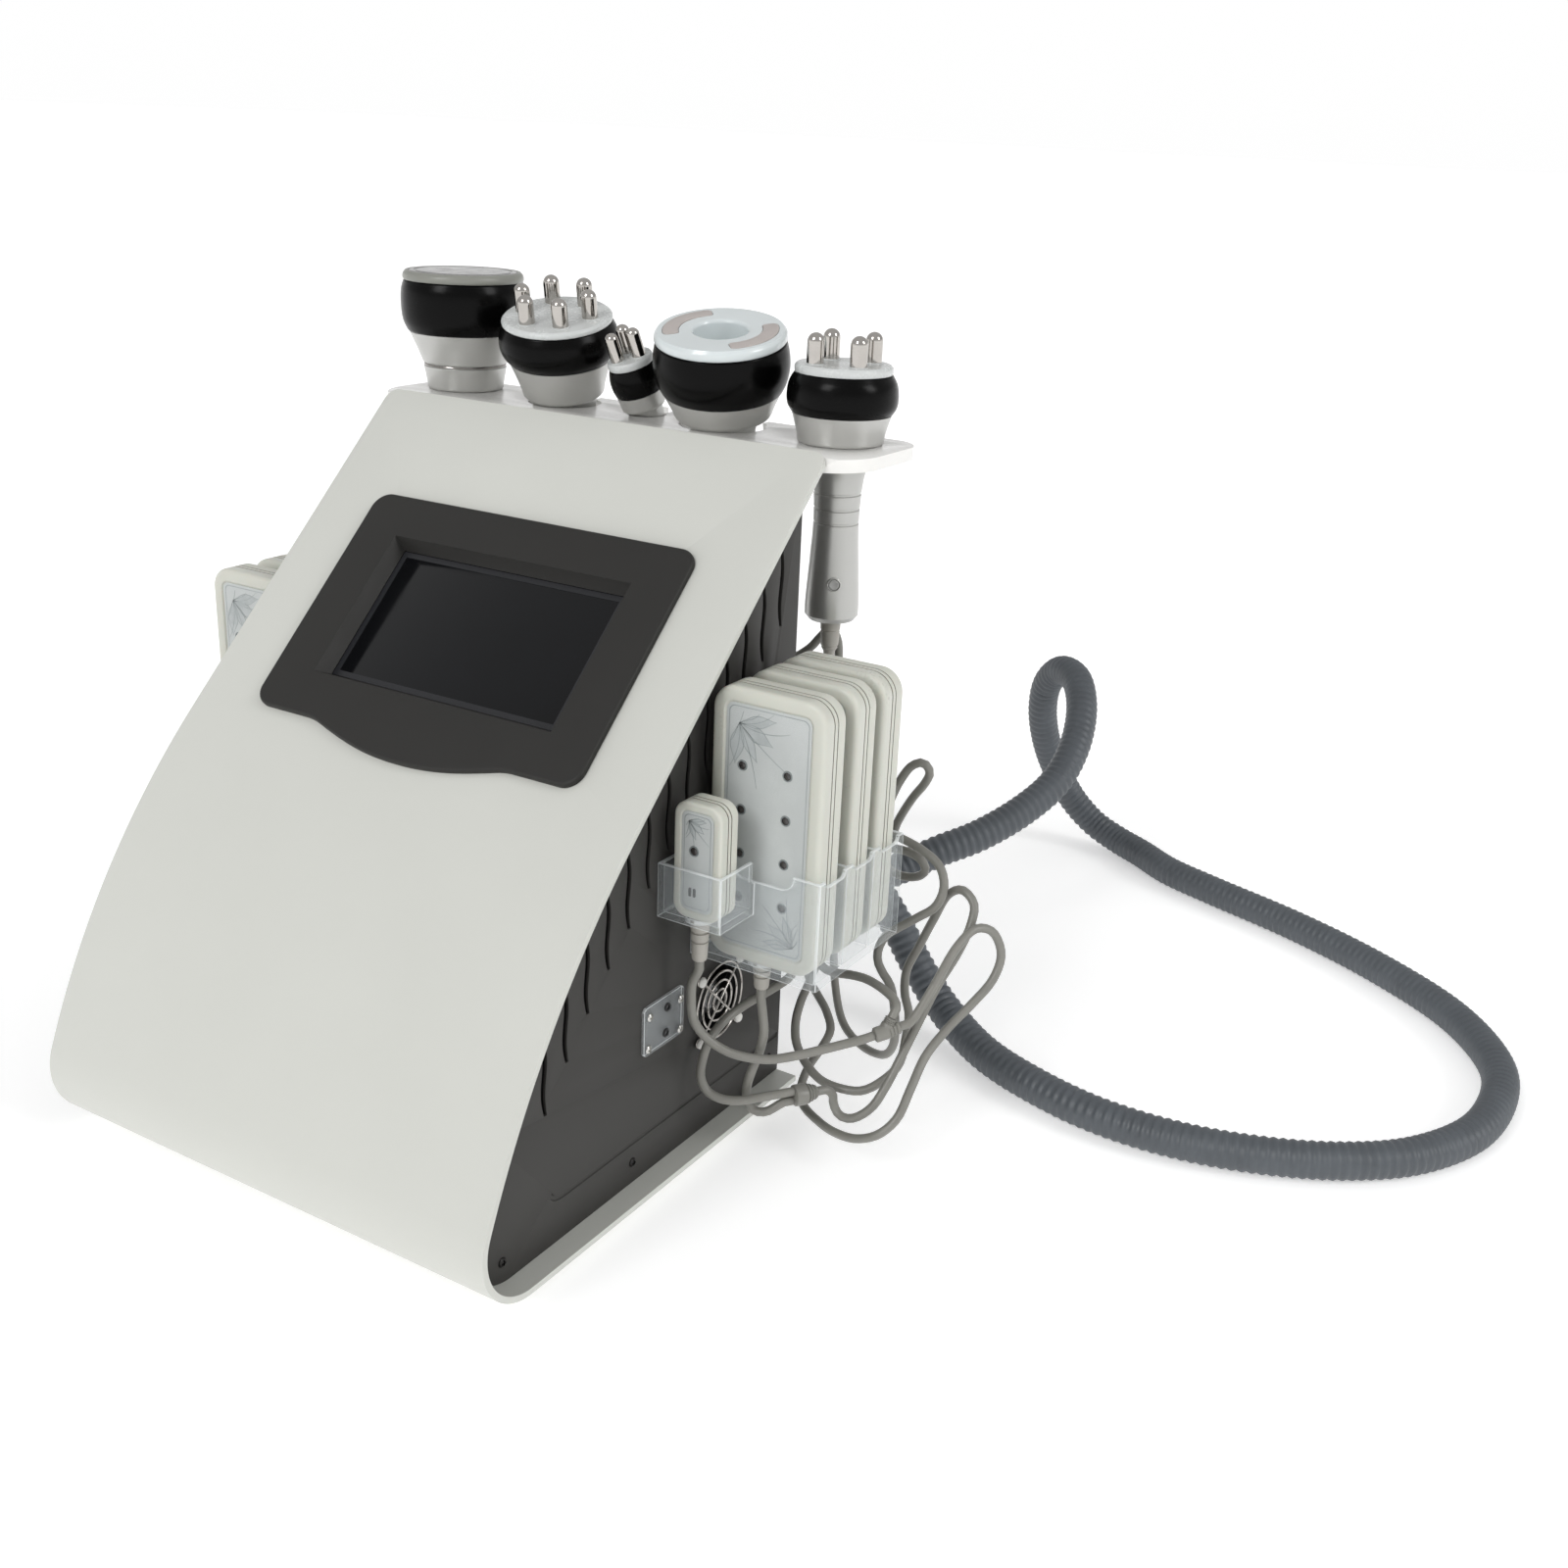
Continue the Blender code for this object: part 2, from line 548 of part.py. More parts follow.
def lathe(name, profile, slot, carrier=None, steps=SMALL_STEPS, smooth=ROUND):
    """A turned body about Z from (radius, height) points, from axis to axis or closed on itself."""
    points, rows = [], []
    for radius, height in profile:
        if radius == 0:
            rows.append([len(points)] * steps)
            points.append((0, 0, height))
            continue
        rows.append(list(range(len(points), len(points) + steps)))
        points += [(x, y, height) for x, y in circle(radius, steps)]
    pairs = list(zip(rows, rows[1:]))
    if profile[0][0]:
        pairs.append((rows[-1], rows[0]))
    faces = []
    for low, high in pairs:
        for i in range(steps):
            j = (i + 1) % steps
            faces.append(tuple(dict.fromkeys((low[i], low[j], high[j], high[i]))))
    return solid(name, points, faces, slot, carrier, smooth)


def closed_profile(profile):
    """The outline of a solid turned body, with its two points on the axis."""
    return [(0, profile[0][1])] + profile + [(0, profile[-1][1])]


def bar(name, start, end, radius, slot, carrier=None, tip=None, steps=SMALL_STEPS):
    """A round bar or cone between two points."""
    start, end = Vector(start), Vector(end)
    turn = (end - start).to_track_quat("Z", "Y")
    loops = []
    for place, size in ((start, radius), (end, tip or radius)):
        loops.append([place + turn @ Vector((x, y, 0)) for x, y in circle(size, steps)])
    return loft(name, loops, slot, carrier, ROUND)


def rounded_outline(half_wide, low, high, radius, steps=2):
    """Points round a rectangle with rounded corners, as (across, up)."""
    points = []
    for side, level, start in ((1, low, -90), (1, high, 0), (-1, high, 90), (-1, low, 180)):
        across = side * (half_wide - radius)
        up = level + radius if level == low else level - radius
        for i in range(steps + 1):
            a = math.radians(start + 90 * i / steps)
            points.append((across + radius * math.cos(a), up + radius * math.sin(a)))
    return points


def outward(turn):
    """Unit normal of the wrap in the side view, where the sheet runs at this angle to the table."""
    return np.array([-math.sin(turn), math.cos(turn)])


NOSE_CENTRE = np.array([NOSE_RADIUS, FOOT_HEIGHT + NOSE_RADIUS])
BEND_CENTRE = NOSE_CENTRE + (NOSE_RADIUS - FRONT_RADIUS) * outward(NOSE_ANGLE)
UPHILL = np.array([math.cos(SLOPE_ANGLE), math.sin(SLOPE_ANGLE)])
SLOPE_FOOT = BEND_CENTRE + FRONT_RADIUS * outward(SLOPE_ANGLE)
SLOPE_HEAD = SLOPE_FOOT + UPHILL * (SHELL_TOP - SLOPE_FOOT[1]) / UPHILL[1]


def wrap_line(inward, head=None, shorten=0.0):
    """The wrap in the side view as (y, z), this far inside its outer face, from the base's rear to the top."""
    points = [np.array([BODY_DEPTH, FOOT_HEIGHT + inward])]
    for turn in np.linspace(math.pi, NOSE_ANGLE, NOSE_STEPS + 1):
        points.append(NOSE_CENTRE + (NOSE_RADIUS - inward) * outward(turn))
    for turn in np.linspace(NOSE_ANGLE, SLOPE_ANGLE, FRONT_STEPS + 1)[1:]:
        points.append(BEND_CENTRE + (FRONT_RADIUS - inward) * outward(turn))
    if head is None:
        points.append(SLOPE_HEAD - inward * outward(SLOPE_ANGLE) - UPHILL * shorten)
    else:
        points.append(points[-1] + UPHILL * (head - points[-1][1]) / UPHILL[1])
    return points


def on_slope(x, down, out=0.0):
    """A place on the sloping front: down from its top edge, and out from its outer face."""
    y, z = SLOPE_HEAD - UPHILL * down + outward(SLOPE_ANGLE) * out
    return Vector((x, y, z))


def slope_loft(name, outlines, slot, smooth=None):
    """A body on the sloping front from outlines of (x, down), each at a height above the sheet."""
    loops = [[on_slope(x, down, out) for x, down in outline] for outline, out in outlines]
    return loft(name, loops, slot, smooth=smooth)


def window(margin):
    """Outline of the screen opening, this much larger on each side."""
    half, rise = SCREEN_HALF + margin, SCREEN_HEIGHT / 2 + margin
    return [(x * half, SCREEN_DOWN + s * rise) for x, s in ((-1, -1), (1, -1), (1, 1), (-1, 1))]


COLLAR_MARGIN = RECESS_FLARE + COLLAR_WALL
COLLAR_END = -SHELL_SHEET - COLLAR_BELOW


def front_shell():
    """The wrap. Its two upper corners are rounded by shortening the last sections."""
    half = SHELL_WIDTH / 2
    right = []
    for k in range(CORNER_STEPS + 1):
        a = math.radians(90 * k / CORNER_STEPS)
        right.append((half - SHELL_CORNER + SHELL_CORNER * math.sin(a), SHELL_CORNER * (1 - math.cos(a))))
    loops = []
    for x, shorten in [(-x, s) for x, s in right[::-1]] + right:
        line = wrap_line(0.0, shorten=shorten) + wrap_line(SHELL_SHEET, shorten=shorten)[::-1]
        loops.append([(x, y, z) for y, z in line])
    shell = loft("front_shell", loops, "white_shell", smooth=math.radians(20))
    opening = window(COLLAR_MARGIN + GAP)
    depths = (-SHELL_SHEET - OVERRUN, OVERRUN)
    cut(shell, slope_loft("shell_window_cutter", [(opening, out) for out in depths], None))


def foot_strips():
    half = SHELL_WIDTH / 2 - FOOT_INSET
    rear = BODY_DEPTH - FOOT_INSET
    for name, y in (("foot_strip_front", FRONT_FOOT_Y), ("foot_strip_rear", rear)):
        low = (-half, y - FOOT_DEPTH / 2, 0)
        block(name, low, (half, y + FOOT_DEPTH / 2, FOOT_HEIGHT - GAP), "foot_rubber")


def vent_loops(y, top, faces):
    """One wavy vent slot through the panel, with pinched ends."""
    left, right = [], []
    for i in range(SLOT_STEPS + 1):
        share = i / SLOT_STEPS
        middle = y + SLOT_WAVE * math.sin(math.tau * share) + SLOT_LEAN * share
        half = SLOT_WIDTH / 2 if 0 < i < SLOT_STEPS else SLOT_WIDTH / 4
        z = top - SLOT_LENGTH * share
        left.append((middle - half, z))
        right.append((middle + half, z))
    return [[(x, a, b) for a, b in left + right[::-1]] for x in faces]


def panel_groove_loops(side):
    """The pressed groove along the foot of a panel, with its front end curled up."""
    depth = side * (PANEL_X - GROOVE_DEEP)
    face = side * (PANEL_X + OVERRUN)
    line = [
        (GROOVE_START - GROOVE_CURL, GROOVE_HEIGHT + GROOVE_CURL),
        (GROOVE_START - GROOVE_CURL / 3, GROOVE_HEIGHT + GROOVE_CURL / 3),
        (GROOVE_START + GROOVE_CURL, GROOVE_HEIGHT),
        (BODY_DEPTH - OVERRUN, GROOVE_HEIGHT),
    ]
    loops = []
    for (y, z), back in zip(line, GROOVE_LEAN_SHARES):
        up = Vector((0, -back, 1)).normalized() * GROOVE_WIDTH / 2
        corners = ((face, -1), (face, 1), (depth, 0.5), (depth, -0.5))
        loops.append([(x, y + up.y * s, z + up.z * s) for x, s in corners])
    return loops


def side_panel(name, side):
    line = wrap_line(SHELL_SHEET + GAP, head=PANEL_TOP)
    outline = line + [np.array([BODY_DEPTH, PANEL_TOP])]
    loops = [[(side * x, y, z) for y, z in outline] for x in (PANEL_X, PANEL_X - PANEL_SHEET)]
    panel = loft(name, loops, "dark_panel")
    faces = (side * (PANEL_X + OVERRUN), side * (PANEL_X - PANEL_SHEET - OVERRUN))
    ys, zs = zip(*line[NOSE_STEPS:])
    places = [SLOT_FIRST + SLOT_PITCH * k for k in range(SLOT_COUNT)]
    vents = [vent_loops(y, float(np.interp(y, ys, zs)) - SLOT_DROP, faces) for y in places]
    cut(panel, solid(name + "_vent_cutter", *lofted(vents), None))
    cut(panel, loft(name + "_groove_cutter", panel_groove_loops(side), None))
    return panel


def rear_panel():
    half = PANEL_X - PANEL_SHEET - GAP
    front = BODY_DEPTH - PANEL_SHEET
    panel = block("rear_panel", (-half, front, BASE_TOP + GAP), (half, BODY_DEPTH, PANEL_TOP), "dark_panel")
    room = (INLET_WIDTH / 2 + GAP, INLET_HEIGHT / 2 + GAP)
    low = (INLET_X - room[0], front - OVERRUN, INLET_Z - room[1])
    high = (INLET_X + room[0], BODY_DEPTH + OVERRUN, INLET_Z + room[1])
    cut(panel, block("inlet_hole_cutter", low, high, None))


front_shell()
foot_strips()
right_panel = side_panel("right_side_panel", 1)
side_panel("left_side_panel", -1)
rear_panel()


def tray():
    """White shelf: rounded ends, and a front edge bevelled to lie under the wrap."""
    rest = SHELL_SHEET + GAP
    under = SLOPE_HEAD - rest * outward(SLOPE_ANGLE)
    front = under[0] + (TRAY_UNDER - under[1]) * UPHILL[0] / UPHILL[1]
    outline = []
    corners = (
        (1, front, TRAY_FRONT_CORNER, -90),
        (1, TRAY_REAR, TRAY_REAR_CORNER, 0),
        (-1, TRAY_REAR, TRAY_REAR_CORNER, 90),
        (-1, front, TRAY_FRONT_CORNER, 180),
    )
    for side, y, radius, start in corners:
        middle = (side * (TRAY_HALF - radius), y + (radius if y == front else -radius))
        for i in range(CORNER_STEPS + 1):
            a = math.radians(start + 90 * i / CORNER_STEPS)
            outline.append((middle[0] + radius * math.cos(a), middle[1] + radius * math.sin(a)))
    loops = [[(x, y, z) for x, y in outline] for z in (TRAY_UNDER, TRAY_LEVEL)]
    made = loft("handpiece_tray", loops, "white_tray", smooth=math.radians(30))
    reach = UPHILL * TRAY_THICK * 2
    lift = outward(SLOPE_ANGLE) * TRAY_THICK * 2
    middle = np.array([front, TRAY_UNDER])
    wedge = [middle - reach, middle + reach, middle + reach + lift, middle - reach + lift]
    sides = (-TRAY_HALF - OVERRUN, TRAY_HALF + OVERRUN)
    cut(made, loft("tray_front_cutter", [[(x, y, z) for y, z in wedge] for x in sides], None))
    low = (-FLANGE_HALF, BODY_DEPTH + GAP, TRAY_UNDER - FLANGE_DROP)
    high = (FLANGE_HALF, BODY_DEPTH + GAP + FLANGE_SHEET, TRAY_UNDER + TRAY_THICK / 2)
    join(made, block("tray_flange", low, high, None))
    return made


shelf = tray()


def bezel_outline(inset):
    """The frame's outer edge as (x, down), with its drooping lower lip."""
    half, top, bottom = BEZEL_HALF - inset, BEZEL_TOP + inset, BEZEL_BOTTOM - inset
    corners = rounded_outline(half, top, bottom, BEZEL_CORNER - inset, steps=3)
    middle = len(corners) // 2
    lip = [(LIP_HALF * x, bottom + LIP_DROP * d) for x, d in LIP_SHARES]
    lip += [(-x, d) for x, d in lip[-2::-1]]
    return corners[:middle] + lip + corners[middle:]


def screen_bezel():
    """Raised frame: its collar goes through the wrap, and a funnel leads down to the screen."""
    layers = [(bezel_outline(0), GAP)]
    for turn in (0, 45, 90):
        a = math.radians(turn)
        inset = BEZEL_ROUND * (1 - math.cos(a))
        layers.append((bezel_outline(inset), BEZEL_PROUD - BEZEL_ROUND * (1 - math.sin(a))))
    frame = slope_loft("screen_bezel", layers, "bezel", smooth=math.radians(50))
    collar = window(COLLAR_MARGIN)
    join(frame, slope_loft("collar_body", [(collar, COLLAR_END), (collar, BEZEL_PROUD / 2)], None))
    slant = (BEZEL_PROUD + OVERRUN - COLLAR_END) / (BEZEL_PROUD - COLLAR_END)
    funnel = [(window(0), COLLAR_END - OVERRUN), (window(0), COLLAR_END)]
    funnel.append((window(RECESS_FLARE * slant), BEZEL_PROUD + OVERRUN))
    cut(frame, slope_loft("screen_funnel_cutter", funnel, None))
    back = COLLAR_END - GAP
    slope_loft("touch_screen", [(collar, back - GLASS_THICK), (collar, back)], "screen_glass")


screen_bezel()

fan_axis = pivot("fan_axis", (PANEL_X, FAN_Y, FAN_Z), machine, ((0, 1, 0), (0, 0, 1), (1, 0, 0)))


def fan_housing():
    """Square frame inside the panel, with a motor mount on struts at its inner end."""
    half = FAN_SIZE / 2
    face = -PANEL_SHEET - GAP
    back = face - FAN_DEPTH
    frame = block("fan_housing", (-half, -half, back), (half, half, face), "black_plastic", fan_axis)
    bore = closed_profile([(FAN_BORE, back - OVERRUN), (FAN_BORE, face + OVERRUN)])
    cut(frame, lathe("fan_bore_cutter", bore, None, fan_axis, GRIP_STEPS))
    mount = closed_profile([(HUB_RADIUS, back), (HUB_RADIUS, back + MOUNT_DEPTH)])
    join(frame, lathe("fan_mount", mount, None, fan_axis))
    low, high = [back + MOUNT_DEPTH * share for share in STRUT_SHARES]
    for k in range(STRUT_COUNT):
        a = math.tau * k / STRUT_COUNT
        along = Vector((math.cos(a), math.sin(a), 0))
        across = Vector((-math.sin(a), math.cos(a), 0)) * STRUT_WIDTH / 2
        loops = []
        for reach in (HUB_RADIUS / 2, FAN_BORE + OVERRUN / 2):
            middle = along * reach
            corners = ((-1, low), (1, low), (1, high), (-1, high))
            loops.append([middle + across * s + Vector((0, 0, z)) for s, z in corners])
        join(frame, loft(f"fan_strut_{k}", loops, None, fan_axis))
    seat = back + MOUNT_DEPTH
    radius = SHAFT_RADIUS + BEARING_GAP
    bearing = closed_profile([(radius, seat - SHAFT_LENGTH - GAP), (radius, seat + OVERRUN)])
    cut(frame, lathe("fan_bearing_cutter", bearing, None, fan_axis, GRIP_STEPS))
    return seat


def fan_rotor(seat):
    """Hub, shaft and pitched blades, running just clear of the motor mount."""
    low = seat + GAP
    high = low + HUB_LENGTH
    profile = [(SHAFT_RADIUS, seat - SHAFT_LENGTH), (SHAFT_RADIUS, low), (HUB_RADIUS, low), (HUB_RADIUS, high)]
    rotor = lathe("fan_rotor", closed_profile(profile), "black_plastic", fan_axis, GRIP_STEPS)
    middle = Vector((0, 0, (low + high) / 2))
    chord = HUB_LENGTH / 2 / math.sin(BLADE_PITCH) - BLADE_THICK
    blades = []
    for k in range(BLADE_COUNT):
        a = math.tau * k / BLADE_COUNT
        out = Vector((math.cos(a), math.sin(a), 0))
        around = Vector((-math.sin(a), math.cos(a), 0))
        along = around * math.cos(BLADE_PITCH) + Vector((0, 0, math.sin(BLADE_PITCH)))
        across = around * -math.sin(BLADE_PITCH) + Vector((0, 0, math.cos(BLADE_PITCH)))
        loops = []
        for radius in (HUB_RADIUS - OVERRUN, BLADE_REACH):
            place = out * radius + middle
            corners = ((-1, -1), (1, -1), (1, 1), (-1, 1))
            loops.append([place + along * chord * u + across * BLADE_THICK / 2 * w for u, w in corners])
        blades.append(loops)
    join(rotor, solid("fan_blades", *lofted(blades), None, fan_axis))


def fan_guard():
    """Wire rings on two crossed arms, with an ear at each screw."""
    level = GAP + GUARD_WIRE
    arms = []
    for sign in (1, -1):
        along = Vector((GUARD_EAR_OFFSET, sign * GUARD_EAR_OFFSET, 0))
        across = Vector((-sign, 1, 0)).normalized() * GUARD_WIRE
        corners = ((-1, -1), (1, -1), (1, 1), (-1, 1))
        loops = []
        for end in (-along, along):
            loops.append([end + across * s + Vector((0, 0, level + GUARD_WIRE * h)) for s, h in corners])
        arms.append(loops)
    guard = loft("fan_guard", arms[0], "chrome", fan_axis)
    join(guard, loft("guard_arm", arms[1], None, fan_axis))
    for k in range(GUARD_RINGS):
        radius = FAN_SIZE / 2 * (1 - (1 - GUARD_INNER_SHARE) * k / (GUARD_RINGS - 1))
        middle = level + GUARD_WIRE
        ring = [(radius - GUARD_WIRE, level), (radius + GUARD_WIRE, level), (radius, middle + GUARD_WIRE / 2)]
        join(guard, lathe(f"guard_ring_{k}", ring, None, fan_axis, GUARD_STEPS))
    for x, y in ((1, 1), (-1, 1), (-1, -1), (1, -1)):
        spot = Vector((x, y, 0)) * GUARD_EAR_OFFSET
        ends = (spot + Vector((0, 0, GAP)), spot + Vector((0, 0, level + GUARD_WIRE)))
        join(guard, bar(f"guard_ear_{x}_{y}", *ends, GUARD_EAR, None, fan_axis))


fan_rotor(fan_housing())
fan_guard()
fan_hole = closed_profile([(FAN_BORE, -PANEL_SHEET - OVERRUN), (FAN_BORE, OVERRUN)])
cut(right_panel, lathe("fan_hole_cutter", fan_hole, None, fan_axis, GRIP_STEPS))


def pad_body(name, place, sizes, relief_x, relief):
    """A paddle with rounded edges, standing on its holder's floor, with a strain relief where it has a lead."""
    width, height, thick, corner, edge = sizes
    carrier = pivot(name + "_seat", place, machine)
    layers = []
    for turn in (90, 45, 0):
        a = math.radians(turn)
        layers.append((edge * (1 - math.sin(a)), edge * (1 - math.cos(a))))
    layers += [(thick - depth, inset) for depth, inset in layers[::-1]]
    loops = []
    for depth, inset in layers:
        outline = rounded_outline(width / 2 - inset, inset, height - inset, corner - inset)
        loops.append([(x, depth, z) for x, z in outline])
    pad = loft(name, loops, "pad_white", carrier, smooth=ROUND)
    middle = Vector((relief_x, thick / 2, 0))
    if relief:
        ends = (middle + Vector((0, 0, edge)), middle - Vector((0, 0, relief)))
        join(pad, bar(name + "_relief", *ends, RELIEF_TOP, None, carrier, RELIEF_TIP))
    return Vector(place) + middle - Vector((0, 0, relief))


PAD_SIZES = (PAD_WIDTH, PAD_HEIGHT, PAD_THICK, PAD_CORNER, PAD_ROUND)
SMALL_SIZES = (SMALL_WIDTH, SMALL_HEIGHT, SMALL_THICK, SMALL_CORNER, SMALL_ROUND)
POCKET_PITCH = POCKET_DEEP + HOLDER_WALL
HOLDER_REAR = HOLDER_FRONT + POCKET_COUNT * POCKET_PITCH + HOLDER_WALL
PAD_BASE_Z = HOLDER_LOW + HOLDER_FLOOR + GAP
SMALL_BASE_Z = SMALL_HOLDER_LOW + HOLDER_FLOOR + GAP
SMALL_POCKET_FRONT = HOLDER_FRONT - SMALL_POCKET_DEEP
POCKET_FRONTS = [HOLDER_FRONT + HOLDER_WALL + POCKET_PITCH * k for k in range(POCKET_COUNT)]
PAD_FRONTS = [y + (POCKET_DEEP - PAD_THICK) * share for y, share in zip(POCKET_FRONTS, PAD_SETBACK_SHARES)]
SMALL_FRONT = SMALL_POCKET_FRONT + (SMALL_POCKET_DEEP - SMALL_THICK) * SMALL_SETBACK_SHARE


def scoop(half, deep, top):
    """Outline of a rounded notch in a holder's upper edge, as (across, up)."""
    return rounded_outline(half, top - deep, top + 2 * deep, deep * SCOOP_CORNER_SHARE)


def holder(name, side):
    """Clear rack on the side panel: pockets for the large pads and a smaller one in front of them."""
    across = sorted((side * HOLDER_X, side * (HOLDER_X + HOLDER_SIDE)))
    top = HOLDER_LOW + HOLDER_HEIGHT
    low, high = (across[0], HOLDER_FRONT, HOLDER_LOW), (across[1], HOLDER_REAR, top)
    rack = block(name, low, high, "clear_acrylic")
    small_across = sorted((side * HOLDER_X, side * (HOLDER_X + SMALL_HOLDER_SIDE)))
    small_top = SMALL_HOLDER_LOW + SMALL_HOLDER_HEIGHT
    low = (small_across[0], SMALL_POCKET_FRONT - HOLDER_WALL, SMALL_HOLDER_LOW)
    high = (small_across[1], HOLDER_FRONT + HOLDER_WALL, small_top)
    join(rack, block(name + "_small_body", low, high, None))
    rooms = []
    for front in POCKET_FRONTS:
        low = (across[0] + HOLDER_WALL, front, HOLDER_LOW + HOLDER_FLOOR)
        rooms.append(box_loops(low, (across[1] - HOLDER_WALL, front + POCKET_DEEP, small_top + OVERRUN)))
    low = (small_across[0] + HOLDER_WALL, SMALL_POCKET_FRONT, SMALL_HOLDER_LOW + HOLDER_FLOOR)
    rooms.append(box_loops(low, (small_across[1] - HOLDER_WALL, HOLDER_FRONT, small_top + OVERRUN)))
    cut(rack, solid(name + "_pocket_cutter", *lofted(rooms), None))
    notches = []
    outer = side * (HOLDER_X + HOLDER_SIDE)
    for front in POCKET_FRONTS:
        outline = scoop(SIDE_SCOOP_HALF, SIDE_SCOOP_DEEP, top)
        middle = front + POCKET_DEEP / 2
        walls = (outer - side * (HOLDER_WALL + OVERRUN), outer + side * OVERRUN)
        notches.append([[(x, middle + y, z) for y, z in outline] for x in walls])
    outline = scoop(FRONT_SCOOP_HALF, FRONT_SCOOP_DEEP, top)
    middle = outer - side * (HOLDER_SIDE - SMALL_HOLDER_SIDE)
    walls = (HOLDER_FRONT - OVERRUN, HOLDER_FRONT + HOLDER_WALL + OVERRUN)
    notches.append([[(middle + side * FRONT_SCOOP_HALF / 4 + x, y, z) for x, z in outline] for y in walls])
    cut(rack, solid(name + "_scoop_cutter", *lofted(notches), None))
    cut(rack, solid(name + "_relief_cutter", *lofted(relief_holes(side)), None))


def relief_holes(side):
    """Holes through the floors, under each pad's lead."""
    spots = [(PAD_MIDDLE_X + PAD_RELIEF_X, y + PAD_THICK / 2, HOLDER_LOW) for y in PAD_FRONTS]
    spots.append((SMALL_MIDDLE_X + SMALL_RELIEF_X, SMALL_FRONT + SMALL_THICK / 2, SMALL_HOLDER_LOW))
    holes = []
    for x, y, z in spots:
        outline = [(side * x + a, y + b) for a, b in circle(RELIEF_HOLE, SMALL_STEPS)]
        holes.append([[(a, b, h) for a, b in outline] for h in (z - OVERRUN, z + HOLDER_FLOOR + OVERRUN)])
    return holes


def pads(word, side):
    """One side's pads. Returns where the leads leave them: only the right ones show theirs."""
    relief, small_relief = (RELIEF_LENGTH, SMALL_RELIEF_LENGTH) if side > 0 else (0, 0)
    outlets = []
    for k, y in enumerate(PAD_FRONTS):
        place = (side * PAD_MIDDLE_X, y, PAD_BASE_Z)
        outlets.append(pad_body(f"{word}_pad_{k + 1}", place, PAD_SIZES, PAD_RELIEF_X, relief))
    place = (side * SMALL_MIDDLE_X, SMALL_FRONT, SMALL_BASE_Z)
    outlets.append(pad_body(f"{word}_small_pad", place, SMALL_SIZES, SMALL_RELIEF_X, small_relief))
    return outlets


holder("right_pad_holder", 1)
holder("left_pad_holder", -1)
pad_outlets = pads("right", 1)
pads("left", -1)


def grip_profile(radius, length, rings):
    """The handle below the tray, from its tail up, with turned rings round its waist."""
    profile = [(r * radius, h * length) for r, h in GRIP_SHARES]
    widths, heights = zip(*profile)
    for share in RING_SHARES[:rings]:
        for offset, deep in ((-RING_WIDE / 2, 0), (0, RING_DEEP), (RING_WIDE / 2, 0)):
            height = -share * length + offset
            profile.append((float(np.interp(height, heights, widths)) - deep, height))
    return sorted(profile, key=lambda point: point[1])


def shaped(radius, height, shares):
    return [(r * radius, h * height) for r, h in shares]


def seat_height(radius, lean):
    """How high a leaning seat stands along its axis, with its lowest edge just clear of the tray."""
    tilt = lean_axis(lean).angle(Vector((0, 0, 1)))
    return radius * math.tan(tilt) + GAP / math.cos(tilt)


def handpiece(name, x, lean, size, flare_shares, grip, slot_width):
    """One silver handle in its bore through the tray. Returns the empty on its axis, which carries the head."""
    up = lean_axis(lean)
    right = (Vector((1, 0, 0)) - up * up.x).normalized()
    carrier = pivot(name + "_axis", (x, TRAY_ROW, TRAY_LEVEL), machine, (right, up.cross(right), up))
    seat = flare_shares[0][0] * size[0]
    stand = seat_height(seat, lean)
    profile = grip_profile(*grip)
    profile += [(profile[-1][0], stand), (seat, stand)]
    profile += [(r, h) for r, h in shaped(*size, flare_shares) if h > stand]
    lathe(name + "_handle", closed_profile(profile), "silver_handle", carrier, GRIP_STEPS)
    bore = seat - SEAT_LEDGE
    hole = closed_profile([(bore, -2 * TRAY_THICK), (bore, TRAY_THICK)])
    cut(shelf, lathe(name + "_hole_cutter", hole, None, carrier, GRIP_STEPS))
    low = (x - slot_width / 2, TRAY_ROW, TRAY_UNDER - OVERRUN)
    high = (x + slot_width / 2, TRAY_REAR + OVERRUN, TRAY_LEVEL + OVERRUN)
    cut(shelf, block(name + "_slot_cutter", low, high, None))
    return carrier


def band(name, size, shares, carrier, bore=0.0):
    """The black belly of a head, solid or with a bore."""
    profile = shaped(*size, shares)
    profile[0] = (profile[0][0], profile[0][1] + GAP)
    if bore:
        profile += [(bore, profile[-1][1]), (bore, profile[0][1])]
    else:
        profile = closed_profile(profile)
    lathe(name, profile, "black_band", carrier, HEAD_STEPS)


def electrode_profile(radius, base, top):
    """A pin with a domed end."""
    line = [(radius, base)]
    for turn in (0, 35, 68):
        a = math.radians(turn)
        line.append((radius * math.cos(a), top - radius * (1 - math.sin(a))))
    return [(0, base)] + line + [(0, top)]


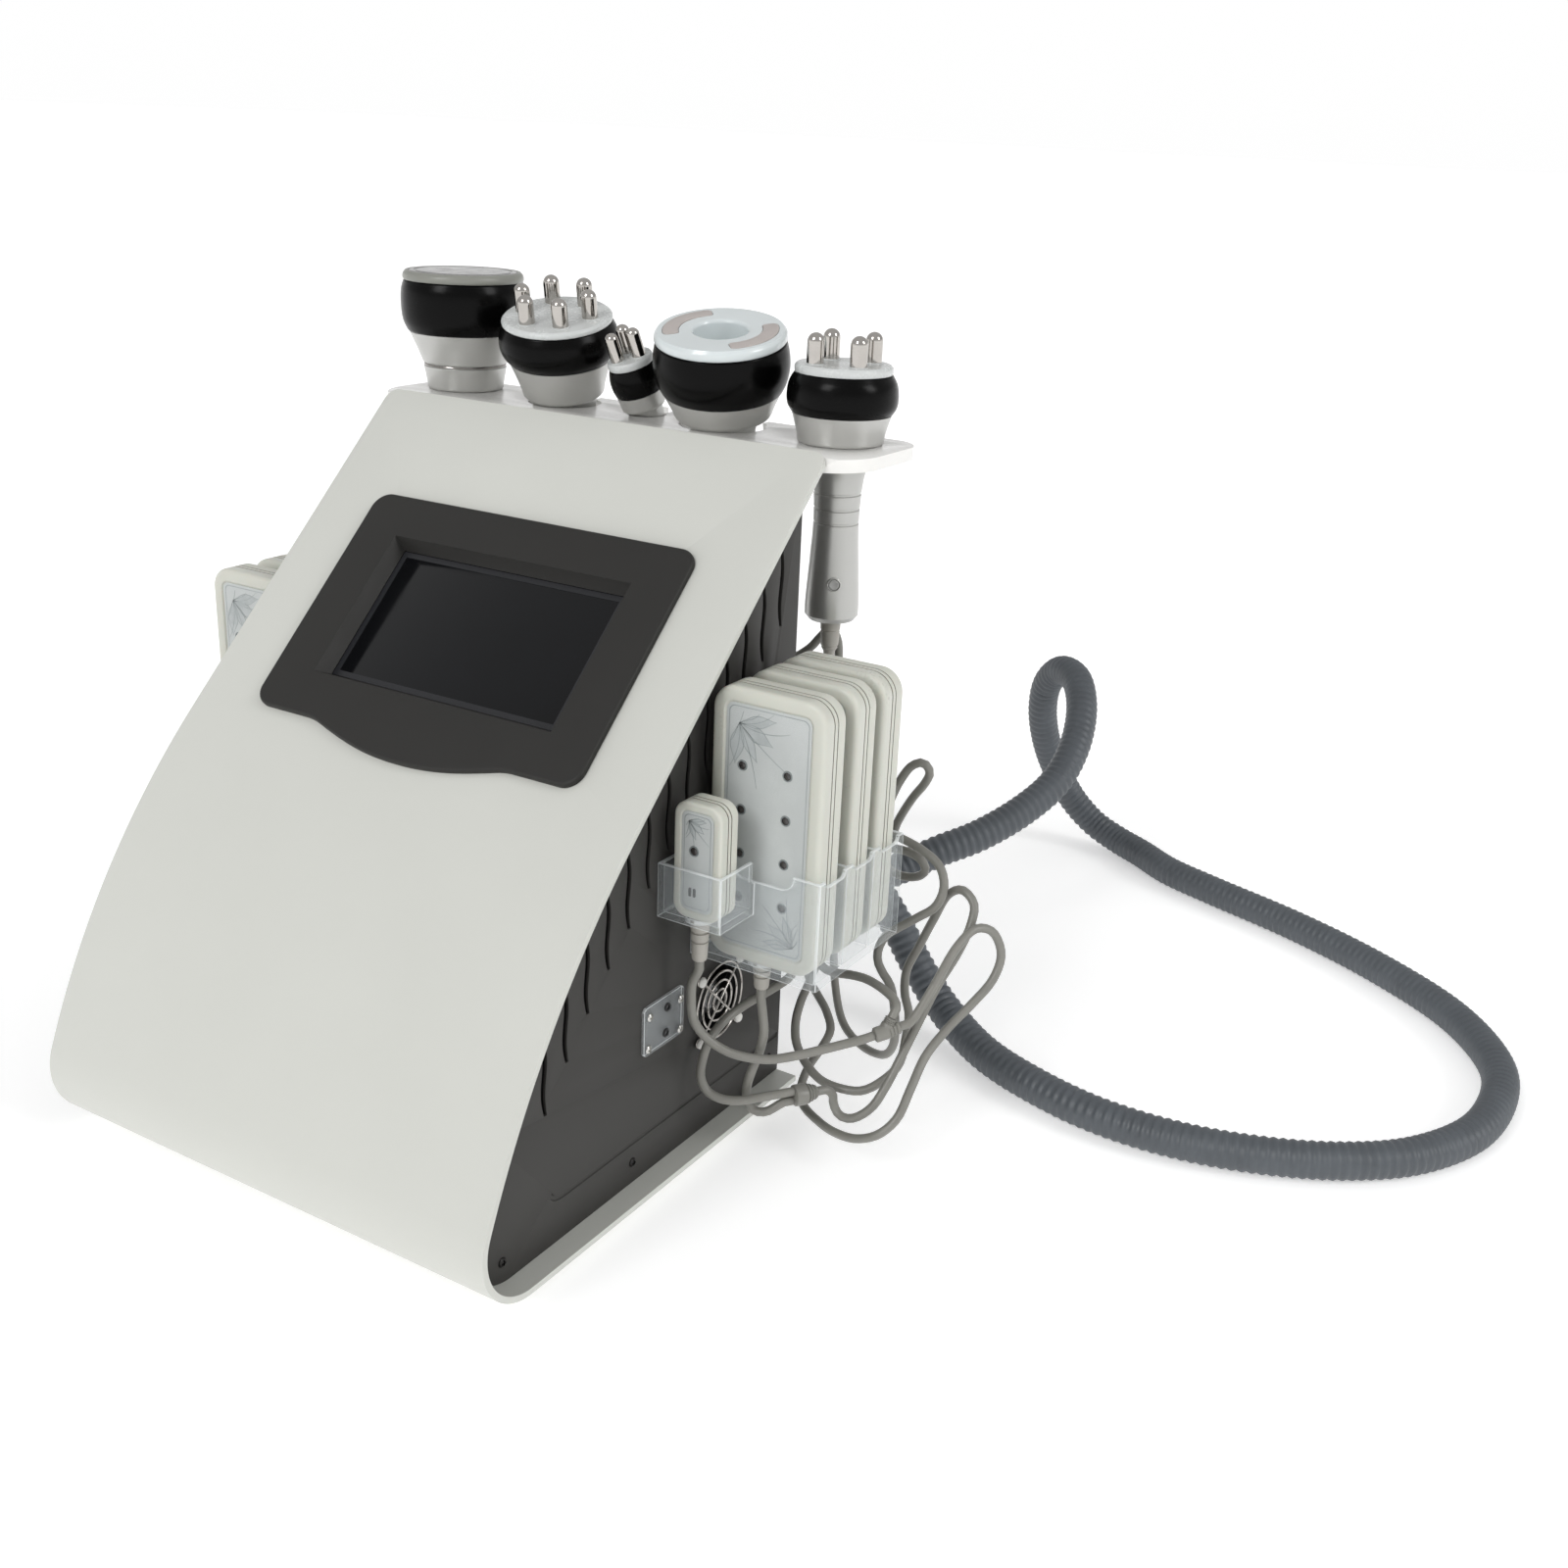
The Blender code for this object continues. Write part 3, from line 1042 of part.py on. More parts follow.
def poled_head(name, size, shares, carrier, count, pole, ring_share, phase):
    """White disc over a metal carrier, whose domed electrodes come up through it."""
    radius, tall = pole
    outline = shaped(*size, shares)
    base, top = outline[0][1] + GAP, outline[-1][1]
    outline[0] = (outline[0][0], base)
    plate = size[0] * CARRIER_SHARE
    ceiling = base + CARRIER_THICK + GAP
    profile = [(0, ceiling), (plate + GAP, ceiling), (plate + GAP, base)] + outline + [(0, top)]
    disc = lathe(name + "_disc", profile, "head_white", carrier, HEAD_STEPS)
    metal = closed_profile([(plate, base), (plate, base + CARRIER_THICK)])
    poles = lathe(name + "_electrodes", metal, "chrome", carrier, HEAD_STEPS)
    hole = closed_profile([(radius + GAP, base), (radius + GAP, top + OVERRUN)])
    pin = electrode_profile(radius, base + CARRIER_THICK / 2, top + tall)
    for k in range(count):
        a = phase + math.tau * k / count
        spot = Vector((math.cos(a), math.sin(a), 0)) * size[0] * ring_share
        place = pivot(f"{name}_pole_{k}_spot", spot, carrier)
        cut(disc, lathe(f"{name}_pole_{k}_cutter", hole, None, place, ELECTRODE_SIDES))
        join(poles, lathe(f"{name}_pole_{k}", pin, None, place, ELECTRODE_SIDES))


def cavitation():
    """The round ultrasonic head on the left, with a steel face."""
    size = (CAVITATION_RADIUS, CAVITATION_HEIGHT)
    grip = (GRIP_RADIUS, SHANK_LENGTH, 0)
    carrier = handpiece("cavitation", CAVITATION_X, UPRIGHT, size, CAVITATION_FLARE_SHARES, grip, LEAD_SLOT)
    band("cavitation_band", size, CAVITATION_BAND_SHARES, carrier)
    outline = shaped(*size, CAVITATION_RING_SHARES)
    base, top = outline[0][1] + GAP, outline[-1][1]
    outline[0] = (outline[0][0], base)
    face, floor = CAVITATION_RADIUS * FACE_SHARE, top - FACE_DEEP
    profile = [(0, base)] + outline + [(face, top), (face, floor), (0, floor)]
    lathe("cavitation_ring", profile, "head_white", carrier, HEAD_STEPS)
    disc = closed_profile([(face - GAP, floor + GAP), (face - GAP, top)])
    lathe("cavitation_face", disc, "steel", carrier, HEAD_STEPS)


def six_pole():
    size = (SIX_POLE_RADIUS, SIX_POLE_HEIGHT)
    grip = (GRIP_RADIUS, SHANK_LENGTH, 0)
    carrier = handpiece("six_pole", SIX_POLE_X, SIX_POLE_LEAN, size, SIX_POLE_FLARE_SHARES, grip, LEAD_SLOT)
    band("six_pole_band", size, SIX_POLE_BAND_SHARES, carrier)
    pole = (ELECTRODE_RADIUS, ELECTRODE_TALL)
    poled_head("six_pole", size, SIX_POLE_DISC_SHARES, carrier, 6, pole, ELECTRODE_RING_SHARE, SIX_POLE_PHASE)


def three_pole():
    size = (THREE_POLE_RADIUS, THREE_POLE_HEIGHT)
    grip = (PEN_RADIUS, THREE_POLE_SHANK, 0)
    shares = THREE_POLE_FLARE_SHARES
    carrier = handpiece("three_pole", THREE_POLE_X, THREE_POLE_LEAN, size, shares, grip, LEAD_SLOT)
    band("three_pole_band", size, THREE_POLE_BAND_SHARES, carrier)
    pole = (SLIM_ELECTRODE_RADIUS, SLIM_ELECTRODE_TALL)
    poled_head("three_pole", size, THREE_POLE_DISC_SHARES, carrier, 3, pole, SLIM_RING_SHARE, THREE_POLE_PHASE)


def arc_loops(inner, outer, middle, span, levels):
    """A curved plate between two radii."""
    turns = [middle - span / 2 + span * i / ARC_STEPS for i in range(ARC_STEPS + 1)]
    outline = [(outer * math.cos(a), outer * math.sin(a)) for a in turns]
    outline += [(inner * math.cos(a), inner * math.sin(a)) for a in turns[::-1]]
    return [[(x, y, z) for x, y in outline] for z in levels]


def vacuum():
    """Suction head: a white cup in the band's bore, with a deep well and two curved electrodes."""
    size = (VACUUM_RADIUS, VACUUM_HEIGHT)
    grip = (GRIP_RADIUS, VACUUM_SHANK, 0)
    carrier = handpiece("vacuum", VACUUM_X, VACUUM_LEAN, size, VACUUM_FLARE_SHARES, grip, HOSE_SLOT)
    well = CUP_HOLE + CUP_WALL
    band("vacuum_band", size, VACUUM_BAND_SHARES, carrier, well + GAP)
    outline = shaped(*size, VACUUM_CUP_SHARES)
    base, top = outline[0][1] + GAP, outline[-1][1]
    outline[0] = (outline[0][0], base)
    floor = top - CUP_DEPTH
    foot = VACUUM_BAND_SHARES[0][1] * VACUUM_HEIGHT + GAP
    lip = [(CUP_HOLE + CUP_EDGE, top), (CUP_HOLE, top - CUP_EDGE), (CUP_HOLE, floor), (0, floor)]
    profile = [(0, foot), (well, foot), (well, base)] + outline + lip
    cup = lathe("vacuum_cup", profile, "head_white", carrier, HEAD_STEPS)
    room = GAP / ARC_INNER * 2
    level = top - ARC_THICK + ARC_PROUD
    for word, middle in (("right", 0.0), ("left", math.pi)):
        plate = arc_loops(ARC_INNER, ARC_OUTER, middle, ARC_SPAN, (level, level + ARC_THICK))
        loft(f"vacuum_electrode_{word}", plate, "steel", carrier)
        levels = (level - GAP, top + OVERRUN)
        pocket = arc_loops(ARC_INNER - GAP, ARC_OUTER + GAP, middle, ARC_SPAN + room, levels)
        cut(cup, loft(f"vacuum_pocket_{word}", pocket, None, carrier))


def four_pole():
    """The right-hand handpiece, with its trigger button and lead boot in view."""
    size = (FOUR_POLE_RADIUS, FOUR_POLE_HEIGHT)
    grip = (GRIP_RADIUS, SHANK_LENGTH, len(RING_SHARES))
    carrier = handpiece("four_pole", FOUR_POLE_X, UPRIGHT, size, FOUR_POLE_FLARE_SHARES, grip, LEAD_SLOT)
    band("four_pole_band", size, FOUR_POLE_BAND_SHARES, carrier)
    pole = (ELECTRODE_RADIUS, ELECTRODE_TALL)
    shares = FOUR_POLE_DISC_SHARES
    poled_head("four_pole", size, shares, carrier, 4, pole, ELECTRODE_RING_SHARE, FOUR_POLE_PHASE)
    boot = [(r * BOOT_TOP, h * BOOT_LENGTH - SHANK_LENGTH - GAP) for r, h in BOOT_SHARES]
    lathe("four_pole_boot", closed_profile(boot), "grey_lead", carrier)
    trigger(carrier)


def trigger(carrier):
    """Round button in a well in the right-hand handle."""
    heights = [h * SHANK_LENGTH for r, h in GRIP_SHARES]
    widths = [r * GRIP_RADIUS for r, h in GRIP_SHARES]
    surface = float(np.interp(-BUTTON_DROP, heights, widths))
    out = Vector((math.sin(BUTTON_TURN), -math.cos(BUTTON_TURN), 0))
    up = Vector((0, 0, 1))
    place = out * surface - up * BUTTON_DROP
    axis = pivot("button_axis", place, carrier, (up.cross(out), up, out))
    low = BUTTON_PROUD - BUTTON_TALL
    cap = [(BUTTON_RADIUS, low), (BUTTON_RADIUS, BUTTON_PROUD / 2), (BUTTON_RADIUS * FACE_SHARE, BUTTON_PROUD)]
    lathe("four_pole_button", closed_profile(cap), "button_grey", axis)
    deep = low - BUTTON_TRAVEL - GAP
    well = closed_profile([(BUTTON_RADIUS + GAP, deep), (BUTTON_RADIUS + GAP, BUTTON_PROUD + OVERRUN)])
    cut(bpy.data.objects["four_pole_handle"], lathe("button_well_cutter", well, None, axis))


cavitation()
six_pole()
three_pole()
vacuum()
four_pole()


def power_inlet():
    """Moulded inlet through the rear panel: a rocker's well above a coupler's recess."""
    half, rise = INLET_WIDTH / 2, INLET_HEIGHT / 2
    outer = BODY_DEPTH + GAP + INLET_FLANGE
    low = (INLET_X - half, BODY_DEPTH - INLET_DEPTH, INLET_Z - rise)
    high = (INLET_X + half, outer, INLET_Z + rise)
    body = block("power_inlet", low, high, "black_plastic")
    low = (low[0] - INLET_LIP, BODY_DEPTH + GAP, low[2] - INLET_LIP)
    high = (high[0] + INLET_LIP, outer, high[2] + INLET_LIP)
    join(body, block("inlet_flange", low, high, None))
    middle = INLET_Z + ROCKER_LIFT
    half, rise = ROCKER_WIDTH / 2 + GAP, ROCKER_HEIGHT / 2 + ROCKER_ROOM
    low = (INLET_X - half, outer - ROCKER_DEPTH - ROCKER_ROOM, middle - rise)
    rooms = [box_loops(low, (INLET_X + half, outer + OVERRUN, middle + rise))]
    middle = INLET_Z - COUPLER_DROP
    half, rise = COUPLER_WIDTH / 2, COUPLER_HEIGHT / 2
    low = (INLET_X - half, outer - COUPLER_DEPTH, middle - rise)
    rooms.append(box_loops(low, (INLET_X + half, outer + OVERRUN, middle + rise)))
    cut(body, solid("inlet_recess_cutter", *lofted(rooms), None))
    return outer


def power_rocker(face):
    """Two-faced switch key on a hinge across the inlet, shown with its upper end in."""
    place = (INLET_X, face - ROCKER_DEPTH / 2, INLET_Z + ROCKER_LIFT)
    lean, rise = math.sin(ROCKER_ANGLE), math.cos(ROCKER_ANGLE)
    axis = pivot("rocker_axis", place, machine, ((1, 0, 0), (0, rise, lean), (0, -lean, rise)))
    rise, deep = ROCKER_HEIGHT / 2, ROCKER_DEPTH / 2
    slant = rise * math.tan(ROCKER_ANGLE)
    outline = [(-deep, -rise / 2), (-deep, rise / 2), (0, rise), (deep + slant, rise)]
    outline += [(deep, 0), (deep + slant, -rise), (0, -rise)]
    sides = (-ROCKER_WIDTH / 2, ROCKER_WIDTH / 2)
    loft("power_rocker", [[(x, y, z) for y, z in outline] for x in sides], "black_plastic", axis)


def connector_plate():
    """Rear plate with the suction port and the row of lead sockets. Returns where a hose and leads begin."""
    face = BODY_DEPTH + GAP + PLATE_SHEET
    low, high = (PLATE_LEFT, BODY_DEPTH + GAP, PLATE_LOW), (PLATE_RIGHT, face, PLATE_HIGH)
    plate = block("connector_plate", low, high, "aluminium")
    start = Vector((PORT_X, face - PLATE_SHEET / 2, PORT_Z))
    end = Vector((PORT_X, face + PORT_LENGTH, PORT_Z))
    join(plate, bar("suction_port", start, end, HOSE_RADIUS, None, steps=GRIP_STEPS))
    sockets = []
    for k in range(SOCKET_COUNT):
        x = SOCKET_FIRST_X - SOCKET_PITCH * k
        spot = Vector((x, face - PLATE_SHEET / 2, SOCKET_Z))
        rim = Vector((x, face + SOCKET_LENGTH, SOCKET_Z))
        join(plate, bar(f"socket_{k}", spot, rim, SOCKET_RADIUS, None, tip=SOCKET_RADIUS - SOCKET_RIM))
        sockets.append(rim)
    return end + Vector((0, GAP, 0)), sockets


power_rocker(power_inlet())
port, sockets = connector_plate()


def vacuum_pump():
    """Motor drum lying on its foot, with a square pump head at the rear."""
    floor = BASE_TOP + GAP
    middle = floor + PUMP_FOOT + PUMP_RADIUS
    front, rear = PUMP_Y - PUMP_LENGTH / 2, PUMP_Y + PUMP_LENGTH / 2
    ends = ((PUMP_X, front, middle), (PUMP_X, rear, middle))
    pump = bar("vacuum_pump", *ends, PUMP_RADIUS, "steel", steps=GRIP_STEPS)
    low = (PUMP_X - PUMP_HEAD_HALF, rear - OVERRUN, floor)
    high = (PUMP_X + PUMP_HEAD_HALF, rear + PUMP_HEAD, middle + PUMP_HEAD_HALF)
    join(pump, block("pump_head", low, high, None))
    low = (PUMP_X - PUMP_RADIUS, front + OVERRUN, floor)
    join(pump, block("pump_foot", low, (PUMP_X + PUMP_RADIUS, rear, floor + PUMP_FOOT + OVERRUN), None))


def power_supply():
    """Cased supply with cooling fins along its top."""
    floor = BASE_TOP + GAP
    left, front = SUPPLY_X - SUPPLY_WIDTH / 2, SUPPLY_Y - SUPPLY_DEPTH / 2
    rear = front + SUPPLY_DEPTH
    top = floor + SUPPLY_HEIGHT
    case = block("power_supply", (left, front, floor), (left + SUPPLY_WIDTH, rear, top), "aluminium")
    pitch = SUPPLY_WIDTH / FIN_COUNT
    half = pitch * FIN_SHARE / 2
    fins = []
    for k in range(FIN_COUNT):
        x = left + pitch * (k + 1 / 2)
        low = (x - half, front + OVERRUN, top - OVERRUN)
        fins.append(box_loops(low, (x + half, rear - OVERRUN, top + FIN_HEIGHT)))
    join(case, solid("supply_fins", *lofted(fins), None))


vacuum_pump()
power_supply()


def between(pair, times):
    """A point of the line through two knots, for the smooth curve below."""
    (p0, t0), (p1, t1) = pair
    return (t1 - times) / (t1 - t0) * p0 + (times - t0) / (t1 - t0) * p1


def smooth_route(points, count=0):
    """Even places along a smooth curve through a route's points, so many or one each lead step.

    The first and last points only give its direction at both ends."""
    route = np.array([tuple(p) for p in points])
    knots = np.concatenate([[0], np.cumsum(np.linalg.norm(np.diff(route, axis=0), axis=1) ** 0.5)])
    dense = []
    for k in range(1, len(route) - 2):
        (p0, p1, p2, p3), (t0, t1, t2, t3) = route[k - 1 : k + 3], knots[k - 1 : k + 3]
        for t in np.linspace(t1, t2, 12, endpoint=False):
            a1 = between(((p0, t0), (p1, t1)), t)
            a2 = between(((p1, t1), (p2, t2)), t)
            a3 = between(((p2, t2), (p3, t3)), t)
            b1 = between(((a1, t0), (a2, t2)), t)
            b2 = between(((a2, t1), (a3, t3)), t)
            dense.append(between(((b1, t1), (b2, t2)), t))
    dense = np.array(dense + [route[-2]])
    lengths = np.concatenate([[0], np.cumsum(np.linalg.norm(np.diff(dense, axis=0), axis=1))])
    marks = np.linspace(0, lengths[-1], (count or round(lengths[-1] / LEAD_STEP)) + 1)
    return np.column_stack([np.interp(marks, lengths, dense[:, i]) for i in range(3)])


def lead(name, start, start_way, route, end, end_way):
    """A free lead as a tube with closed ends. It leaves and arrives straight, just clear of what it meets."""
    start, end = Vector(start) + start_way * GAP, Vector(end) - end_way * GAP
    ends = (start + start_way * LEAD_STRAIGHT, end - end_way * LEAD_STRAIGHT)
    places = [start, *smooth_route([start, ends[0], *route, ends[1], end]), end]
    curve = bpy.data.curves.new(name, "CURVE")
    curve.dimensions = "3D"
    curve.bevel_depth = LEAD_RADIUS
    curve.bevel_resolution = 2
    curve.use_fill_caps = True
    line = curve.splines.new("POLY")
    line.points.add(len(places) - 1)
    for point, place in zip(line.points, places):
        point.co = (*place, 1.0)
    curve.materials.append(material("grey_lead"))
    made = bpy.data.objects.new(name, curve)
    bpy.context.collection.objects.link(made)
    made.parent = machine


DOWN, FORWARD = Vector((0, 0, -1)), Vector((0, -1, 0))
a_in, a_out = [Vector(p) for p in SPLITTER_A]
b_in, b_out = [Vector(p) for p in SPLITTER_B]
branch_foot, branch_end = [Vector(p) for p in SPLITTER_A_BRANCH]
a_way, b_way = (a_out - a_in).normalized(), (b_out - b_in).normalized()
branch_way = (branch_foot - branch_end).normalized()


def splitters():
    """Two moulded lumps that each join two pad leads into one trunk."""
    joint = bar("splitter_a", a_in, a_out, WYE_RADIUS, "grey_lead", tip=SPLITTER_TIP)
    join(joint, bar("splitter_branch", branch_foot, branch_end, BRANCH_RADIUS, None))
    bar("splitter_b", b_in, b_out, SPLITTER_RADIUS, "grey_lead", tip=SPLITTER_TIP)


def leads():
    spread = DOWN * SPLITTER_SPREAD
    lead("pad_lead_1", pad_outlets[0], DOWN, PAD_ROUTE_1, b_in + spread, b_way)
    lead("pad_lead_2", pad_outlets[1], DOWN, PAD_ROUTE_2, b_in - spread, b_way)
    lead("pad_lead_3", pad_outlets[2], DOWN, PAD_ROUTE_3, branch_end, branch_way)
    lead("small_pad_lead", pad_outlets[3], DOWN, SMALL_PAD_ROUTE, a_in, a_way)
    lead("trunk_lead_a", a_out, a_way, TRUNK_ROUTE_A, sockets[1], FORWARD)
    lead("trunk_lead_b", b_out, b_way, TRUNK_ROUTE_B, sockets[0], FORWARD)
    boot_tip = (FOUR_POLE_X, TRAY_ROW, TRAY_LEVEL - SHANK_LENGTH - BOOT_LENGTH - GAP)
    lead("handpiece_lead", boot_tip, DOWN, HANDPIECE_ROUTE, sockets[2], FORWARD)


def hose_rings(places, radii):
    """Rings square to the route, with no twist from one to the next."""
    ways = np.gradient(places, axis=0)
    ways /= np.linalg.norm(ways, axis=1)[:, None]
    across = np.array([0.0, 0.0, 1.0])
    rings = []
    for place, way, radius in zip(places, ways, radii):
        across = across - way * (across @ way)
        across /= np.linalg.norm(across)
        other = np.cross(way, across)
        rings.append([place + x * across + y * other for x, y in circle(radius, HOSE_SIDES)])
    return rings


def vacuum_hose():
    """Ribbed suction hose with a plain bore, from the port round the table and up to the handpiece's tail."""
    up = lean_axis(VACUUM_LEAN)
    start, end = port, Vector((VACUUM_X, TRAY_ROW, TRAY_LEVEL)) - up * (VACUUM_SHANK + GAP)
    straight = (start - FORWARD * HOSE_STRAIGHT, end - up * HOSE_STRAIGHT)
    middle = smooth_route([start, straight[0], *HOSE_ROUTE, straight[1], end], 2 * HOSE_RIBS)
    first = np.linspace(start, straight[0], HOSE_END_RINGS + 1)
    last = np.linspace(straight[1], end, HOSE_END_RINGS + 1)
    places = np.vstack([first[:-1], middle, last[1:]])
    radii = [HOSE_RADIUS if k % 2 == 0 else HOSE_VALLEY for k in range(len(places))]
    outer = hose_rings(places, radii)
    picked = [k for k in range(len(places)) if k % HOSE_BORE_SKIP == 0 or k == len(places) - 1]
    inner = [hose_rings(places, [HOSE_BORE] * len(places))[k] for k in picked]
    rings = outer + inner[::-1]
    points = [p for ring in rings for p in ring]
    faces = []
    for k in range(len(rings)):
        near, far = k * HOSE_SIDES, (k + 1) % len(rings) * HOSE_SIDES
        for i in range(HOSE_SIDES):
            j = (i + 1) % HOSE_SIDES
            faces.append((near + i, near + j, far + j, far + i))
    solid("vacuum_hose", points, faces, "hose_grey", smooth=math.radians(60))


splitters()
leads()
vacuum_hose()
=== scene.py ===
"""Desktop cavitation slimming machine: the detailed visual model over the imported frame.

The machine's own y runs from its nose to the rear. Sections give places in those axes, and solid() moves
them to the frame, whose origin lies under the machine's middle. Lengths are in metres, and the points of a
cord's route in millimetres."""

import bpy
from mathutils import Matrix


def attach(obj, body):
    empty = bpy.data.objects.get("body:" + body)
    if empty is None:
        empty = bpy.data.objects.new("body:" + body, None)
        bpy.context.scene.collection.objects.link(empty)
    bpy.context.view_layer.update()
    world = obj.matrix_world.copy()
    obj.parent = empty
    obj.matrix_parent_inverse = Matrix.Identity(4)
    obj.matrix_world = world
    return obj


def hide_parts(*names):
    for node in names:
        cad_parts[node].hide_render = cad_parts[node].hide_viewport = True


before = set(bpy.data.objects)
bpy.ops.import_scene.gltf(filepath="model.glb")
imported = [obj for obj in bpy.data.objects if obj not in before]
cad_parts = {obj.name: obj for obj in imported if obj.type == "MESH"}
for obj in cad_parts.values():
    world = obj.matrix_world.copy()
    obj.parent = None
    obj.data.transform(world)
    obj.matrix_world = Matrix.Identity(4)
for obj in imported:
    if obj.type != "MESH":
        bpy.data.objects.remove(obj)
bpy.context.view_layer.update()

import math

import bmesh
import bpy
import numpy as np
from mathutils import Matrix, Vector

# Camera: a 40 mm lens from front right, 21 degrees above the machine and leaning 2.6 degrees, as in the
# photograph. MIDDLE is how far the machine's middle lies behind its nose.
MIDDLE = 0.20948
FOCAL_PIXELS, IMAGE_WIDTH, SENSOR = 1779.96, 1600, 36.0

azimuth, elevation, roll = (math.radians(a) for a in (30.614, 21.336, 2.578))
level = Vector((math.cos(azimuth), math.sin(azimuth), 0))
ahead = Vector((-math.sin(azimuth), math.cos(azimuth), 0))
forward = ahead * math.cos(elevation) - Vector((0, 0, math.sin(elevation)))
upright = level.cross(forward)
across = level * math.cos(roll) + upright * math.sin(roll)
above = upright * math.cos(roll) - level * math.sin(roll)
view = bpy.data.cameras.new("photo_view")
view.sensor_width = SENSOR
view.lens = FOCAL_PIXELS / IMAGE_WIDTH * SENSOR
view.shift_x, view.shift_y = -0.0002, 0.0104
view.clip_start = 0.05
camera = bpy.data.objects.new("photo_view", view)
camera.matrix_world = Matrix((across, above, -forward)).transposed().to_4x4()
camera.location = (0.6819, -0.5745 - MIDDLE, 0.6099)
bpy.context.collection.objects.link(camera)
bpy.context.scene.camera = camera
bpy.context.scene.view_settings.view_transform = "Standard"


# Light: a white studio that is brightest at the horizon, with one soft panel to the left and one to the right
# of the camera. The table is matt white acrylic, lit faintly from below, so that it stays white and keeps soft
# shadows.
def add(tree, kind, inputs=None, out=0, stops=(), **settings):
    """One shader node with its settings, colour stops, input values and links. Returns one of its outputs."""
    made = tree.nodes.new("ShaderNode" + kind)
    for key, value in settings.items():
        setattr(made, key, value)
    for key, value in (inputs or {}).items():
        if isinstance(value, bpy.types.NodeSocket):
            tree.links.new(value, made.inputs[key])
        else:
            made.inputs[key].default_value = value
    for _ in range(2, len(stops)):
        made.color_ramp.elements.new(0.5)
    for k, (place, colour) in enumerate(stops):
        made.color_ramp.elements[k].position = place
        made.color_ramp.elements[k].color = (*colour, 1.0)
    return made.outputs[out]


def softbox(tree, way, turn, rise, half_wide, half_high, strength):
    """A rectangle of light in the sky, seen at this turn from the front and rise above the table."""
    centre = Vector((math.sin(turn) * math.cos(rise), -math.cos(turn) * math.cos(rise), math.sin(rise)))
    side = Vector((math.cos(turn), math.sin(turn), 0))
    lit = add(tree, "VectorMath", {0: way, 1: tuple(centre)}, "Value", operation="DOT_PRODUCT")
    lit = add(tree, "Math", {0: lit, 1: 0.0}, operation="GREATER_THAN")
    for axis, half in ((side, half_wide), (side.cross(centre), half_high)):
        reach = add(tree, "VectorMath", {0: way, 1: tuple(axis)}, "Value", operation="DOT_PRODUCT")
        reach = add(tree, "Math", {0: reach}, operation="ABSOLUTE")
        edge = {0: reach, 1: half * 0.82, 2: half, 3: 1.0, 4: 0.0}
        edge = add(tree, "MapRange", edge, interpolation_type="SMOOTHSTEP")
        lit = add(tree, "Math", {0: lit, 1: edge}, operation="MULTIPLY")
    return add(tree, "Math", {0: lit, 1: strength}, operation="MULTIPLY")


world = bpy.data.worlds.new("white_studio")
world.use_nodes = True
bpy.context.scene.world = world
sky = world.node_tree
way = add(sky, "TexCoord", out="Generated")
height = add(sky, "SeparateXYZ", {0: way}, "Z")
height = add(sky, "MapRange", {0: height, 1: -1.0, 2: 1.0})
brightness = ((0.0, 0.95), (0.535, 1.0), (0.60, 0.52), (1.0, 0.60))
light = add(sky, "ValToRGB", {0: height}, stops=[(share, (tone,) * 3) for share, tone in brightness])
for turn, rise, half_wide, strength in ((-8, 35, 0.17, 7.6), (95, 31, 0.16, 6.4)):
    panel = softbox(sky, way, math.radians(turn), math.radians(rise), half_wide, 0.24, strength)
    light = add(sky, "VectorMath", {0: light, 1: panel}, operation="ADD")
sky.links.new(light, sky.nodes["Background"].inputs["Color"])

HALF_FLOOR = 60
mesh = bpy.data.meshes.new("studio_floor")
corners = [(x * HALF_FLOOR, y * HALF_FLOOR, 0) for x, y in ((-1, -1), (1, -1), (1, 1), (-1, 1))]
mesh.from_pydata(corners, [], [(0, 1, 2, 3)])
floor = bpy.data.objects.new("studio_floor", mesh)
bpy.context.collection.objects.link(floor)
paint = bpy.data.materials.new("Matt white acrylic table, lit from below")
paint.use_nodes = True
table = {"Base Color": (0.82, 0.82, 0.82, 1), "Emission Color": (1, 1, 1, 1), "Emission Strength": 0.42,
         "Roughness": 0.9, "Specular IOR Level": 0.1}
for key, value in table.items():
    paint.node_tree.nodes["Principled BSDF"].inputs[key].default_value = value
mesh.materials.append(paint)


# Leads: seven extruded PVC cables of 5.7 mm. Four come from the right pads, meet in two moulded splitters and
# go on as two trunks to the rear sockets, and one comes from the right handpiece. Each follows its CAD solid's
# route.
def linear(code):
    """Linear colour of an sRGB hex code."""
    parts = [int(code[i : i + 2], 16) / 255 for i in (1, 3, 5)]
    return tuple(c / 12.92 if c <= 0.04045 else ((c + 0.055) / 1.055) ** 2.4 for c in parts)


